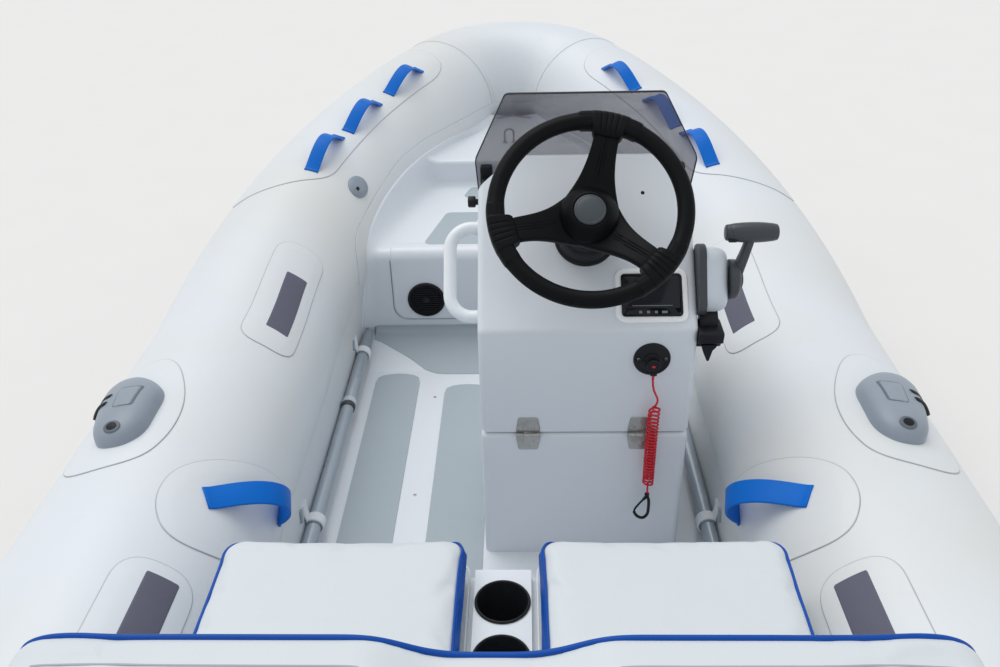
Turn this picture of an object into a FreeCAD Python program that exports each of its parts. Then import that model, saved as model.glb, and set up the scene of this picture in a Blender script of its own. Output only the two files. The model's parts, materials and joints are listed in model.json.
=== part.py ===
import FreeCAD, Part
import math
import os
from types import SimpleNamespace

import Sketcher
from FreeCAD import Placement, Rotation, Vector

# Small rigid inflatable boat with a side console, an aft bench and a tilted outboard.
# Frame: +X to the bow, +Y to port, +Z up, millimetres.
# The origin lies on the centreline, at the foot of the transom, on the keel pad's flat.

DRIVING_SIZES = [
    # name, value
    # tubes
    ("tube_radius", 210.0),
    ("tube_offset", 640.0),
    ("tube_height", 330.0),
    ("tube_stern", -180.0),
    ("cone_length", 170.0),
    ("cone_tip", 70.0),
    ("rise_start", 1600.0),
    ("rise_radius", 1100.0),
    ("bow_radius", 287.0),
    # hull and deck
    ("keel_half", 60.0),
    ("chine_drop", 2.0),
    ("skin", 20.0),
    ("floor_top", 140.0),
    ("floor_half", 433.0),
    ("coaming_top", 262.0),
    ("locker_face", 2150.0),
    ("locker_top", 419.0),
    ("step_face", 2655.0),
    ("step_top", 498.0),
    ("ramp_start", 1972.0),
    ("ramp_rise", 26.0),
    ("transom_thick", 45.0),
    ("transom_top", 500.0),
    # seat
    ("seat_back", 400.0),
    ("seat_front", 884.0),
    ("seat_top", 475.0),
    ("cushion_thick", 66.0),
    ("cushion_half", 425.0),
    ("cushion_inner", 47.0),
    ("box_half", 42.0),
    ("box_top", 492.0),
    ("cup_radius", 36.5),
    ("cup_wall", 2.0),
    ("cup_depth", 78.0),
    ("cup_front", 820.0),
    ("cup_pitch", 101.0),
    ("back_top", 813.0),
    ("back_half", 466.0),
    ("back_board", 33.0),
    ("back_pad", 62.0),
    # console
    ("console_aft", 1281.0),
    ("console_port", 50.0),
    ("console_width", 395.0),
    ("console_depth", 379.0),
    ("split_height", 448.0),
    ("split_gap", 3.0),
    ("dash_low", 674.0),
    ("dash_high", 916.0),
    ("dash_run", 239.0),
    ("console_wall", 6.0),
    # steering
    ("rim_radius", 160.0),
    ("rim_section", 15.0),
    ("wheel_standoff", 140.0),
    ("hub_radius", 30.0),
    ("helm_radius", 57.0),
    ("helm_shaft", 10.0),
    # outboard
    ("tilt_x", -30.0),
    ("tilt_z", 535.0),
    ("tilt_pin", 12.0),
    ("steer_back", 100.0),
    ("steer_pin", 12.0),
    ("prop_radius", 120.0),
    ("prop_drop", 680.0),
    # fits
    ("seat_gap", 0.3),
    ("pin_gap", 0.05),
    ("screen_gap", 4.7),
]

RISE_DEG = 8.0
SIDE_DEG = 29.6
PARK_DEG = 50.0
WHEEL_TURN_DEG = 13.5

doc = FreeCAD.newDocument("inflatable_boat")
sheet = doc.addObject("Spreadsheet::Sheet", "dims")


class Size:
    """A length that knows its value and the sheet expression it comes from."""

    def __init__(self, value, text):
        self.value = float(value)
        self.text = text

    def __float__(self):
        return self.value

    def _with(self, other, sign, value):
        text = other.text if isinstance(other, Size) else repr(float(other))
        return Size(value, "(%s %s %s)" % (self.text, sign, text))

    def __add__(self, other):
        return self._with(other, "+", self.value + float(other))

    def __sub__(self, other):
        return self._with(other, "-", self.value - float(other))

    def __mul__(self, other):
        return self._with(other, "*", self.value * float(other))

    def __truediv__(self, other):
        return self._with(other, "/", self.value / float(other))

    def __neg__(self):
        return Size(-self.value, "(0 - %s)" % self.text)


def read_sizes():
    """Write the driving sizes to the sheet and hand them back by name."""
    named = {}
    for row, (name, value) in enumerate(DRIVING_SIZES, start=1):
        sheet.set("A%d" % row, name)
        sheet.set("B%d" % row, str(value))
        sheet.setAlias("B%d" % row, name)
        named[name] = Size(value, "dims." + name)
    doc.recompute()
    return SimpleNamespace(**named)


D = read_sizes()
ZERO = Size(0.0, "0")
PIECES = []


def size(value):
    """Make a bare number usable where a Size is expected."""
    return value if isinstance(value, Size) else Size(value, repr(float(value)))


def bind(item, prop, amount):
    """Set a property and tie it to the sheet."""
    amount = size(amount)
    setattr(item, prop, amount.value)
    item.setExpression(prop, amount.text)


def keep(item, label):
    """Mark an object as a sub-part to be written out."""
    item.Label = label
    PIECES.append(item)
    return item


def helper(kind, name):
    """A construction object that isn't written out."""
    return doc.addObject(kind, name)


def solid(label, shape, placement=None):
    """A sub-part whose shape is worked out here from the sizes."""
    item = doc.addObject("Part::Feature", label)
    item.Shape = shape
    if placement is not None:
        item.Placement = placement
    return keep(item, label)


def tool(name, shape):
    """A helper solid for a boolean."""
    item = helper("Part::Feature", name)
    item.Shape = shape
    return item


def box(name, low, high):
    """A box between two corners, tied to the sheet."""
    item = helper("Part::Box", name)
    low = [size(value) for value in low]
    high = [size(value) for value in high]
    for prop, a, b in zip(("Length", "Width", "Height"), low, high):
        bind(item, prop, b - a)
    for axis, a in zip("xyz", low):
        item.setExpression("Placement.Base." + axis, a.text)
    item.Placement = Placement(Vector(*[float(a) for a in low]), Rotation())
    return item


def cylinder(name, radius, height, base, direction=Vector(0, 0, 1)):
    """A cylinder from a base point along a direction."""
    item = helper("Part::Cylinder", name)
    bind(item, "Radius", radius)
    bind(item, "Height", height)
    item.Placement = Placement(base, Rotation(Vector(0, 0, 1), direction))
    return item


def fuse(name, items):
    """Join objects into one."""
    item = helper("Part::MultiFuse", name)
    item.Shapes = items
    return item


def cut(name, base, knife):
    """Cut one object with another."""
    item = helper("Part::Cut", name)
    item.Base = base
    item.Tool = knife
    return item


def mirror(name, source):
    """The starboard twin of a port object."""
    item = helper("Part::Mirroring", name)
    item.Source = source
    item.Normal = Vector(0, 1, 0)
    item.Base = Vector(0, 0, 0)
    return item


def plane_of(body, role):
    """One of the body's own origin planes."""
    return [item for item in body.Origin.OriginFeatures if item.Role == role][0]


def sketch(body, name, role):
    """A sketch on one of the body's origin planes."""
    item = body.newObject("Sketcher::SketchObject", name)
    item.AttachmentSupport = [(plane_of(body, role), "")]
    item.MapMode = "FlatFace"
    return item


def draw_polygon(item, points):
    """Closed polygon whose corners are held by sheet expressions."""
    points = [(size(a), size(b)) for a, b in points]
    first = item.GeometryCount
    count = len(points)
    for index in range(count):
        a = points[index]
        b = points[(index + 1) % count]
        item.addGeometry(Part.LineSegment(
            Vector(float(a[0]), float(a[1]), 0), Vector(float(b[0]), float(b[1]), 0)))
    for index in range(count):
        here = first + index
        item.addConstraint(Sketcher.Constraint(
            "Coincident", here, 2, first + (index + 1) % count, 1))
    for index, point in enumerate(points):
        for kind, amount in zip(("DistanceX", "DistanceY"), point):
            number = item.addConstraint(Sketcher.Constraint(
                kind, -1, 1, first + index, 1, float(amount)))
            item.setExpression("Constraints[%d]" % number, amount.text)


def draw_circle(item, centre, radius):
    """Circle held by sheet expressions."""
    centre = [size(value) for value in centre]
    radius = size(radius)
    index = item.addGeometry(Part.Circle(
        Vector(float(centre[0]), float(centre[1]), 0), Vector(0, 0, 1), float(radius)))
    for kind, amount in zip(("DistanceX", "DistanceY"), centre):
        number = item.addConstraint(Sketcher.Constraint(
            kind, -1, 1, index, 3, float(amount)))
        item.setExpression("Constraints[%d]" % number, amount.text)
    number = item.addConstraint(Sketcher.Constraint("Radius", index, float(radius)))
    item.setExpression("Constraints[%d]" % number, radius.text)


def new_body(name, placement=None):
    """A body with a place of its own."""
    body = doc.addObject("PartDesign::Body", name)
    if placement is not None:
        body.Placement = placement
    return body


def pad(body, profile, length, symmetric=True):
    """Pad a sketch; symmetric about its plane unless told otherwise."""
    feature = body.newObject("PartDesign::Pad", profile.Name + "_pad")
    feature.Profile = profile
    feature.SideType = "Symmetric" if symmetric else "One side"
    bind(feature, "Length", length)
    return feature


def pocket(body, profile, length):
    """Pocket a sketch to both sides of its plane and check that it cut."""
    before = body.Shape.Volume
    feature = body.newObject("PartDesign::Pocket", profile.Name + "_pocket")
    feature.Profile = profile
    feature.SideType = "Symmetric"
    bind(feature, "Length", length)
    doc.recompute()
    if body.Shape.Volume >= before:
        raise ValueError(profile.Name + " cut nothing")
    return feature


def prism(name, role, points, length, placement=None):
    """A body padded evenly to both sides of an origin plane."""
    body = new_body(name, placement)
    profile = sketch(body, name + "_outline", role)
    draw_polygon(profile, points)
    pad(body, profile, length)
    return body


def revolved(name, points, placement, axis="V_Axis", role="XZ_Plane"):
    """A body of revolution about its own Z, from a half outline (radius, height)."""
    body = new_body(name, placement)
    profile = sketch(body, name + "_half", role)
    draw_polygon(profile, points)
    feature = body.newObject("PartDesign::Revolution", name + "_turn")
    feature.Profile = profile
    feature.ReferenceAxis = (profile, [axis])
    feature.Angle = 360.0
    return body


# Tube centreline

rise = math.radians(RISE_DEG)
side = math.radians(SIDE_DEG)
FORWARD = Vector(math.cos(rise), 0, math.sin(rise))
UPWARD = Vector(-math.sin(rise), 0, math.cos(rise))
OUTWARD = Vector(0, 1, 0)
side_radius = (float(D.tube_offset) - float(D.bow_radius) * math.cos(side)) / (1 - math.cos(side))
bend_low = Vector(float(D.rise_start), float(D.tube_offset), float(D.tube_height))
bend_centre = bend_low + Vector(0, 0, float(D.rise_radius))
bend_high = bend_centre - UPWARD * float(D.rise_radius)
side_centre = bend_high - OUTWARD * side_radius
bow_centre = side_centre + (
    FORWARD * math.sin(side) + OUTWARD * math.cos(side)) * (side_radius - float(D.bow_radius))


def on_arc(centre, radius, angle):
    """Point of a plan arc in the raised plane; angle 0 looks to port, 90 to the bow."""
    return centre + (FORWARD * math.sin(angle) + OUTWARD * math.cos(angle)) * radius


def on_bend(share):
    """Point of the upward bend, 0 at its low end and 1 at its high end."""
    turn = rise * share
    return bend_centre + Vector(math.sin(turn), 0, -math.cos(turn)) * float(D.rise_radius)


def tube_at(station):
    """Centre of the port tube at a station X, and the sideways heading there."""
    if station <= bend_high.x:
        climb = max(0.0, station - bend_low.x)
        turn = math.asin(climb / float(D.rise_radius))
        lift = float(D.rise_radius) * (1 - math.cos(turn))
        return Vector(station, float(D.tube_offset), float(D.tube_height) + lift)
    run = (station - bend_high.x) / math.cos(rise)
    side_run = side_radius * math.sin(side)
    if run <= side_run:
        angle = math.asin(run / side_radius)
        return on_arc(side_centre, side_radius, angle)
    radius = float(D.bow_radius)
    centre_run = side_run - radius * math.sin(side)
    angle = math.asin(min(1.0, (run - centre_run) / radius))
    return on_arc(bow_centre, radius, angle)


def arc_edge(a, b, c):
    """Edge of an arc through three points."""
    return Part.Arc(a, b, c).toShape()


def side_path():
    """Wire of the port tube's centreline from the stern to the bow seam."""
    start = Vector(float(D.tube_stern), float(D.tube_offset), float(D.tube_height))
    side_end = on_arc(side_centre, side_radius, side)
    return Part.Wire([
        Part.LineSegment(start, bend_low).toShape(),
        arc_edge(bend_low, on_bend(0.5), bend_high),
        arc_edge(bend_high, on_arc(side_centre, side_radius, side / 2), side_end),
    ])


def bow_path():
    """Wire of the bow piece, from seam to seam."""
    bow_r = float(D.bow_radius)
    return Part.Wire([arc_edge(
        on_arc(bow_centre, bow_r, side),
        on_arc(bow_centre, bow_r, math.pi / 2),
        on_arc(bow_centre, bow_r, math.pi - side))])


def sweep(path, radius):
    """Round solid along a path, with its volume compared."""
    edge = path.OrderedEdges[0]
    start = edge.valueAt(edge.FirstParameter)
    heading = edge.tangentAt(edge.FirstParameter)
    ring = Part.Wire([Part.Circle(start, heading, radius).toShape()])
    shape = path.makePipeShell([ring], True, False)
    expected = math.pi * radius * radius * path.Length
    if abs(shape.Volume - expected) > 0.01 * expected:
        raise ValueError("a sweep has the wrong volume")
    return shape


def stern_cone(radius, extra):
    """Tapered stern end of the port tube with a rounded tip."""
    start = Vector(float(D.tube_stern), float(D.tube_offset), float(D.tube_height))
    tip = float(D.cone_tip) + extra
    cone = Part.makeCone(radius, tip, float(D.cone_length), start, Vector(-1, 0, 0))
    end = start - Vector(float(D.cone_length), 0, 0)
    cap = Part.makeSphere(tip, end)
    return cone.fuse(cap)


def side_tube(radius, extra=0.0):
    """Port tube with its stern cone."""
    return sweep(side_path(), radius).fuse(stern_cone(radius, extra)).removeSplitter()


def make_tubes():
    """The two side tubes and the bow piece, and the room that they need."""
    radius = float(D.tube_radius)
    port = solid("tube_port", side_tube(radius))
    keep(mirror("tube_starboard", port), "tube_starboard")
    solid("tube_bow", sweep(bow_path(), radius))
    clear = float(D.seat_gap)
    port_room = tool("port_room", side_tube(radius + clear, clear))
    starboard_room = mirror("starboard_room", port_room)
    bow_room = tool("bow_room", sweep(bow_path(), radius + clear))
    return [port_room, starboard_room, bow_room]


def trim(name, base, rooms):
    """Cut the tubes' room out of a hull piece."""
    item = base
    for number, room in enumerate(rooms):
        item = cut("%s_trim_%d" % (name, number), item, room)
    return item


# Hull and deck

def hull_section(station, half, keel, chine, top):
    """Hull outline at a station, its outer edge fitted under the tube there."""
    centre = tube_at(station)
    radius = float(D.tube_radius)
    chine_y = max(centre.y - 0.57 * radius, half + 12)
    chine_z = max(chine, keel + 8)
    edge_y = max(centre.y - 0.19 * radius, chine_y + 10)
    edge_z = max(centre.z - radius - float(D.chine_drop), chine_z + 2)
    top = max(top, edge_z + 8)
    half_points = [(half, keel), (chine_y, chine_z), (edge_y, edge_z), (edge_y, top)]
    points = half_points + [(-y, z) for y, z in reversed(half_points)]
    corners = [Vector(station, y, z) for y, z in points]
    return Part.makePolygon(corners + corners[:1])


def make_hull(rooms):
    """Shallow vee hull with a flat keel pad, open at the top where the floor lies."""
    pad_half = float(D.keel_half)
    top = float(D.locker_top - D.skin * 0.7)
    stations = [
        # station, half width of the keel, height of the keel, height of the chine
        (-25.0, pad_half, 0.0, 112.0),
        (1600.0, pad_half, 0.0, 112.0),
        (2160.0, 0.95 * pad_half, 0.0, 120.0),
        (2450.0, 0.8 * pad_half, 16.0, 182.0),
        (2750.0, 0.6 * pad_half, 74.0, 248.0),
        (3000.0, 0.45 * pad_half, 165.0, 302.0),
        (3150.0, 0.35 * pad_half, 262.0, 340.0),
        (3250.0, 0.3 * pad_half, 340.0, 368.0),
        (3330.0, 0.25 * pad_half, 380.0, 392.0),
    ]
    wires = [hull_section(x, half, keel, chine, top) for x, half, keel, chine in stations]
    body = tool("hull_body", Part.makeLoft(wires, True, True))
    face = D.locker_face + D.console_wall
    under = D.floor_top - D.skin
    well = box("hull_well", (-40, -D.floor_half, under), (face, D.floor_half, 900))
    above = box("hull_above", (-40, -900, D.coaming_top), (face, 900, 900))
    shape = cut("hull_open", body, fuse("hull_room", [well, above]))
    keep(trim("hull", shape, rooms), "hull_shell")


def make_floor():
    """Flat floor with a ramp up to the locker's face."""
    low = D.floor_top - D.skin
    outline = [
        (D.transom_thick, low),
        (D.locker_face, low),
        (D.locker_face, D.floor_top + D.ramp_rise),
        (D.locker_face - 45, D.floor_top + D.ramp_rise * 0.8),
        (D.ramp_start, D.floor_top),
        (D.transom_thick, D.floor_top),
    ]
    width = D.floor_half * 2 - D.seat_gap * 2
    keep(prism("deck_floor", "XZ_Plane", outline, width), "deck_floor")


def deck_outline(start):
    """Half plan of the bow deck from a station, along the tube's centreline."""
    stations = [start, 2400.0, 2650.0, 2900.0, 3100.0, 3250.0, 3330.0]
    port = [(x, tube_at(x).y) for x in stations if x >= start]
    return port + [(x, -y) for x, y in reversed(port)]


def flat_block(name, outline, low, high):
    """Straight block on a plan outline between two heights."""
    corners = [Vector(x, y, low) for x, y in outline]
    face = Part.Face(Part.makePolygon(corners + corners[:1]))
    return tool(name, face.extrude(Vector(0, 0, high - low)))


def make_bow_locker(rooms):
    """Raised locker moulding forward: aft face, top, step and bow deck in one."""
    top = float(D.locker_top)
    slab = flat_block("locker_slab", deck_outline(float(D.locker_face)),
                      top - float(D.skin) * 0.7, top)
    deck = flat_block("bow_deck", deck_outline(float(D.step_face)), top, float(D.step_top))
    face = box("locker_panel",
               (D.locker_face, -D.floor_half + D.seat_gap, D.floor_top - D.skin),
               (D.locker_face + D.console_wall, D.floor_half - D.seat_gap, D.locker_top - 5))
    shape = fuse("locker_body", [slab, deck, face])
    keep(trim("locker", shape, rooms), "bow_locker")


def make_transom(rooms):
    """Transom board between the tubes."""
    board = box("transom_board", (0, -470, D.floor_top - D.skin),
                (D.transom_thick, 470, D.transom_top))
    side_block = box("transom_side_port", (-1, D.floor_half - D.seat_gap, 0),
                     (D.transom_thick + 1, 500, D.coaming_top + D.seat_gap))
    twin = mirror("transom_side_starboard", side_block)
    shape = cut("transom_narrow", board, fuse("transom_sides", [side_block, twin]))
    keep(trim("transom", shape, rooms), "transom")


# Seat

def cup_stations():
    """X of each cup holder."""
    return [D.cup_front, D.cup_front - D.cup_pitch]


def make_seat(rooms):
    """Bench moulding with a raised centre box and the cup wells."""
    body = box("bench_body", (D.seat_back, -D.floor_half + D.seat_gap, D.floor_top),
               (D.seat_front, D.floor_half - D.seat_gap, D.seat_top))
    centre = box("bench_centre", (D.seat_back + D.back_board + D.back_pad + 8,
                                  -D.box_half, D.seat_top),
                 (D.seat_front, D.box_half, D.box_top))
    shape = trim("bench", fuse("bench_both", [body, centre]), rooms)
    wells = []
    for number, station in enumerate(cup_stations()):
        well = cylinder("cup_well_%d" % number, D.cup_radius + D.cup_wall + D.seat_gap,
                        D.cup_depth + D.cup_wall + 10,
                        Vector(float(station), 0,
                               float(D.box_top - D.cup_depth - D.cup_wall - D.seat_gap)))
        wells.append(well)
    keep(cut("bench_cut", shape, fuse("cup_wells", wells)), "seat_base")


def make_cups():
    """Two drop-in cup holders with a rim lying on the box."""
    lip = D.box_half - 1
    outer = D.cup_radius + D.cup_wall
    outline = [
        (ZERO, -D.cup_depth - D.cup_wall),
        (outer, -D.cup_depth - D.cup_wall),
        (outer, size(0.3)),
        (lip, size(0.3)),
        (lip, size(2.5)),
        (D.cup_radius, size(2.5)),
        (D.cup_radius, -D.cup_depth),
        (ZERO, -D.cup_depth),
    ]
    cups = []
    for number, station in enumerate(cup_stations()):
        place = Placement(Vector(float(station), 0, float(D.box_top)), Rotation())
        cups.append(revolved("cup_%d" % number, outline, place))
    keep(fuse("cups", cups), "cup_holders")


def soft_block(name, low, high, radius):
    """A cushion: a box with its long edges rounded."""
    block = box(name + "_block", low, high)
    doc.recompute()
    item = helper("Part::Fillet", name)
    item.Base = block
    item.Edges = [(number, radius, radius) for number in range(1, 13)]
    return item


def make_cushions():
    """Port and starboard seat cushions."""
    rear = D.seat_back + D.back_board + D.back_pad + 10
    low = (rear, D.cushion_inner, D.seat_top + D.seat_gap)
    high = (D.seat_front + 20, D.cushion_half, D.seat_top + D.cushion_thick)
    port = keep(soft_block("cushion_port", low, high, 14.0), "cushion_port")
    keep(mirror("cushion_starboard", port), "cushion_starboard")


def make_backrest():
    """Backrest board and its pad, with the top edge dipped in the middle."""
    front = D.seat_back + D.back_board
    dip = 24.0
    ends = 12.0
    outline = [
        (-D.back_half, D.seat_top + D.seat_gap),
        (D.back_half, D.seat_top + D.seat_gap),
        (D.back_half, D.back_top - ends),
        (D.back_half - 90, D.back_top),
        (size(100), D.back_top),
        (size(45), D.back_top - dip),
        (size(-45), D.back_top - dip),
        (size(-100), D.back_top),
        (-D.back_half + 90, D.back_top),
        (-D.back_half, D.back_top - ends),
    ]
    middle = front + D.seat_gap + D.back_pad / 2
    place = Placement(Vector(float(middle), 0, 0), Rotation())
    keep(prism("backrest_pad", "YZ_Plane", outline, D.back_pad, place), "backrest_pad")
    board = box("backrest_board_box", (D.seat_back, -D.floor_half + 20, D.seat_top),
                (front, D.floor_half - 20, D.back_top - 40))
    keep(board, "backrest_board")


# Console

CONSOLE_MIDDLE = D.console_port - D.console_width / 2
CONSOLE_FORE = D.console_aft + D.console_depth


def make_console_base():
    """Lower console box, open at its top and bottom."""
    body = new_body("console_base", Placement(
        Vector(0, float(CONSOLE_MIDDLE), float(D.floor_top)), Rotation()))
    half = D.console_width / 2
    outer = sketch(body, "base_outer", "XY_Plane")
    draw_polygon(outer, [
        (D.console_aft, -half), (CONSOLE_FORE, -half),
        (CONSOLE_FORE, half), (D.console_aft, half)])
    pad(body, outer, D.split_height - D.split_gap / 2 - D.floor_top, symmetric=False)
    inner = sketch(body, "base_inner", "XY_Plane")
    wall = D.console_wall
    draw_polygon(inner, [
        (D.console_aft + wall, -half + wall), (CONSOLE_FORE - wall, -half + wall),
        (CONSOLE_FORE - wall, half - wall), (D.console_aft + wall, half - wall)])
    doc.recompute()
    pocket(body, inner, D.split_height * 2)
    keep(body, "console_base")


def make_console_top():
    """Upper console with the sloping dash, hollow and open below."""
    low = D.split_height + D.split_gap / 2
    ridge = D.console_aft + D.dash_run
    outer_points = [
        (D.console_aft, low),
        (CONSOLE_FORE - 10, low),
        (ridge + 14, D.dash_high - 3),
        (ridge, D.dash_high),
        (D.console_aft, D.dash_low),
    ]
    wall = D.console_wall
    inner_points = [
        (D.console_aft + wall, low - 20),
        (CONSOLE_FORE - 10 - wall, low - 20),
        (ridge + 14 - wall * 0.9, D.dash_high - 3 - wall * 1.6),
        (ridge + wall * 0.3, D.dash_high - wall * 1.6),
        (D.console_aft + wall, D.dash_low - wall * 0.5),
    ]
    body = new_body("console_top", Placement(Vector(0, float(CONSOLE_MIDDLE), 0), Rotation()))
    outer = sketch(body, "top_outer", "XZ_Plane")
    draw_polygon(outer, outer_points)
    pad(body, outer, D.console_width)
    inner = sketch(body, "top_inner", "XZ_Plane")
    draw_polygon(inner, inner_points)
    doc.recompute()
    pocket(body, inner, D.console_width - wall * 2)
    keep(body, "console_top")


dash_rise = float(D.dash_high - D.dash_low)
dash_length = math.hypot(float(D.dash_run), dash_rise)
DASH_UP = Vector(float(D.dash_run) / dash_length, 0, dash_rise / dash_length)
DASH_OUT = Vector(-DASH_UP.z, 0, DASH_UP.x)
# Turns local Z to the dash's outward normal, local X to starboard and local Y up the dash.
DASH_TURN = Rotation(Vector(0, -1, 0), DASH_UP, DASH_OUT, "ZXY")


def on_dash(along, y, out=0.0):
    """Placement on the dash: a run up the slope, a side place and a stand-off."""
    foot = Vector(float(D.console_aft), y, float(D.dash_low))
    return Placement(foot + DASH_UP * along + DASH_OUT * out, DASH_TURN)


HELM_ALONG = 178.0
HELM_Y = -147.0


def make_helm():
    """Domed helm bezel with the shaft that carries the wheel."""
    outline = [
        (ZERO, size(0)),
        (D.helm_radius, size(0)),
        (D.helm_radius, size(7)),
        (D.helm_radius * 0.86, size(34)),
        (D.helm_radius * 0.6, size(58)),
        (D.hub_radius * 0.9, size(66)),
        (D.hub_radius * 0.9, size(76)),
        (D.helm_shaft, size(76)),
        (D.helm_shaft, size(100)),
        (ZERO, size(100)),
    ]
    keep(revolved("helm_bezel", outline, on_dash(HELM_ALONG, HELM_Y)), "helm_bezel")


def make_wheel():
    """Three-spoke wheel, dished towards the dash, with a bored hub."""
    place = on_dash(HELM_ALONG, HELM_Y, float(D.wheel_standoff))
    place = place * Placement(Vector(), Rotation(Vector(0, 0, 1), -WHEEL_TURN_DEG))
    body = new_body("steering_wheel", place)
    hub_low = size(77) - D.wheel_standoff
    hub = sketch(body, "hub_half", "XZ_Plane")
    draw_polygon(hub, [
        (D.helm_shaft + D.pin_gap, hub_low),
        (D.hub_radius * 1.05, hub_low),
        (D.hub_radius * 1.25, hub_low + 22),
        (D.hub_radius * 1.1, hub_low + 34),
        (D.helm_shaft + D.pin_gap, hub_low + 34),
    ])
    turn = body.newObject("PartDesign::Revolution", "hub_turn")
    turn.Profile = hub
    turn.ReferenceAxis = (hub, ["V_Axis"])
    turn.Angle = 360.0
    ring = sketch(body, "rim_section_sketch", "XZ_Plane")
    draw_circle(ring, (D.rim_radius, 0), D.rim_section)
    rim = body.newObject("PartDesign::Revolution", "rim_turn")
    rim.Profile = ring
    rim.ReferenceAxis = (ring, ["V_Axis"])
    rim.Angle = 360.0
    doc.recompute()
    spoke = sketch(body, "spoke_side", "YZ_Plane")
    reach = D.rim_radius - 4
    draw_polygon(spoke, [
        (D.hub_radius * 0.8, hub_low + 10),
        (D.hub_radius * 1.6, hub_low + 10),
        (reach, size(-9)),
        (reach, size(6)),
        (D.hub_radius * 1.8, hub_low + 32),
        (D.hub_radius * 0.8, hub_low + 32),
    ])
    spoke_pad = pad(body, spoke, 40)
    doc.recompute()
    pattern = body.newObject("PartDesign::PolarPattern", "spokes")
    pattern.Originals = [spoke_pad]
    pattern.Axis = (hub, ["V_Axis"])
    pattern.Angle = 360.0
    pattern.Occurrences = 3
    body.Tip = pattern
    keep(body, "steering_wheel")
    cap = revolved("wheel_cap", [
        (ZERO, size(0)), (D.hub_radius * 0.9, size(0)), (D.hub_radius * 0.82, size(7)),
        (D.hub_radius * 0.4, size(10)), (ZERO, size(10)),
    ], on_dash(HELM_ALONG, HELM_Y, 77 + 34))
    keep(cap, "wheel_cap")


def console_front(z):
    """X of the upper console's front wall at a height."""
    low = float(D.split_height + D.split_gap / 2)
    high = float(D.dash_high) - 3
    foot = float(CONSOLE_FORE) - 10
    head = float(D.console_aft + D.dash_run) + 14
    return foot + (head - foot) * (z - low) / (high - low)


SCREEN_LEAN = 8.0
SCREEN_THICK = 5.0
SCREEN_OVERLAP = 70.0


def screen_foot():
    """Middle of the screen's lower edge, clear of the front wall at its foot and its head."""
    low = float(D.dash_high) - SCREEN_OVERLAP
    high = float(D.dash_high) - 3
    lean = math.radians(SCREEN_LEAN)
    clear = max(console_front(low), console_front(high) + (high - low) * math.tan(lean))
    half = SCREEN_THICK / 2 / math.cos(lean)
    return Vector(clear + float(D.screen_gap) + half, 0, low)


SCREEN_FOOT = screen_foot()
SCREEN_PLACE = Placement(SCREEN_FOOT, Rotation(Vector(0, 1, 0), -SCREEN_LEAN))


def make_windscreen():
    """Flat smoked screen behind the dash ridge, narrowing to its top."""
    port = D.console_port + 4
    starboard = D.console_port - D.console_width - 4
    low = size(0)
    outline = [
        (port, low), (port, low + 72), (port - 62, low + 196),
        (starboard + 66, low + 196), (starboard, low + 72), (starboard, low),
    ]
    screen = prism("windscreen", "YZ_Plane", outline, SCREEN_THICK, SCREEN_PLACE)
    keep(screen, "windscreen")


def screen_aft(z):
    """X of the screen's aft face at a height."""
    lean = math.radians(SCREEN_LEAN)
    half = SCREEN_THICK / 2 / math.cos(lean)
    return SCREEN_FOOT.x - half - (z - SCREEN_FOOT.z) * math.tan(lean)


def make_screen_clips():
    """Two blocks that hold the screen off the console's front."""
    ridge = float(D.dash_high)
    outline = [
        (console_front(ridge - 46), ridge - 46), (screen_aft(ridge - 46), ridge - 46),
        (screen_aft(ridge + 36), ridge + 36), (screen_aft(ridge + 36) - 10, ridge + 36),
        (screen_aft(ridge + 4) - 10, ridge + 4), (console_front(ridge - 3.5), ridge - 3.5),
    ]
    clips = []
    for number, y in enumerate((D.console_port - 22, D.console_port - D.console_width + 22)):
        place = Placement(Vector(0, float(y), 0), Rotation())
        clips.append(prism("screen_clip_%d" % number, "XZ_Plane", outline, 24, place))
    keep(fuse("clips", clips), "screen_clips")


def rounded_slab(name, half_x, half_y, low, high, corner, placement):
    """A plate with rounded corners, lying in its own XY."""
    body = new_body(name, placement * Placement(Vector(0, 0, low), Rotation()))
    outline = sketch(body, name + "_outline", "XY_Plane")
    a = half_x
    b = half_y
    c = corner
    draw_polygon(outline, [
        (a - c, -b), (a - c * 0.3, -b + c * 0.3), (a, -b + c),
        (a, b - c), (a - c * 0.3, b - c * 0.3), (a - c, b),
        (-a + c, b), (-a + c * 0.3, b - c * 0.3), (-a, b - c),
        (-a, -b + c), (-a + c * 0.3, -b + c * 0.3), (-a + c, -b)])
    pad(body, outline, high - low, symmetric=False)
    return body


GAUGE_ALONG = 65.0
GAUGE_Y = -263.0


def make_gauge():
    """Multifunction gauge: a bezel with its screen set in it."""
    place = on_dash(GAUGE_ALONG, GAUGE_Y)
    frame = rounded_slab("gauge_frame", size(65), size(50.5), 0, 10, size(9), place)
    recess = rounded_slab("gauge_recess", size(54), size(41), 4, 14, size(4), place)
    keep(cut("gauge_open", frame, recess), "gauge_bezel")
    screen = rounded_slab("gauge_glass", size(53.7), size(40.7), 4, 7, size(4), place)
    keep(screen, "gauge_screen")


KILL_Y = -265.0
KILL_Z = 615.0


def on_aft_face(y, z, out=0.0):
    """Placement on the console's aft face, local Z pointing aft."""
    turn = Rotation(Vector(0, -1, 0), Vector(0, 0, 1), Vector(-1, 0, 0), "ZXY")
    return Placement(Vector(float(D.console_aft) - out, y, z), turn)


def make_kill_switch():
    """Round plate with the stop button that the lanyard clips round."""
    outline = [
        (ZERO, size(0)), (size(33.7), size(0)), (size(33.7), size(3)), (size(30), size(5)),
        (size(16), size(5)), (size(14), size(14)), (size(9), size(14)), (size(9), size(20)),
        (size(12), size(22)), (size(12), size(28)), (ZERO, size(28)),
    ]
    keep(revolved("kill_switch", outline, on_aft_face(KILL_Y, KILL_Z)), "kill_switch")


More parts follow.
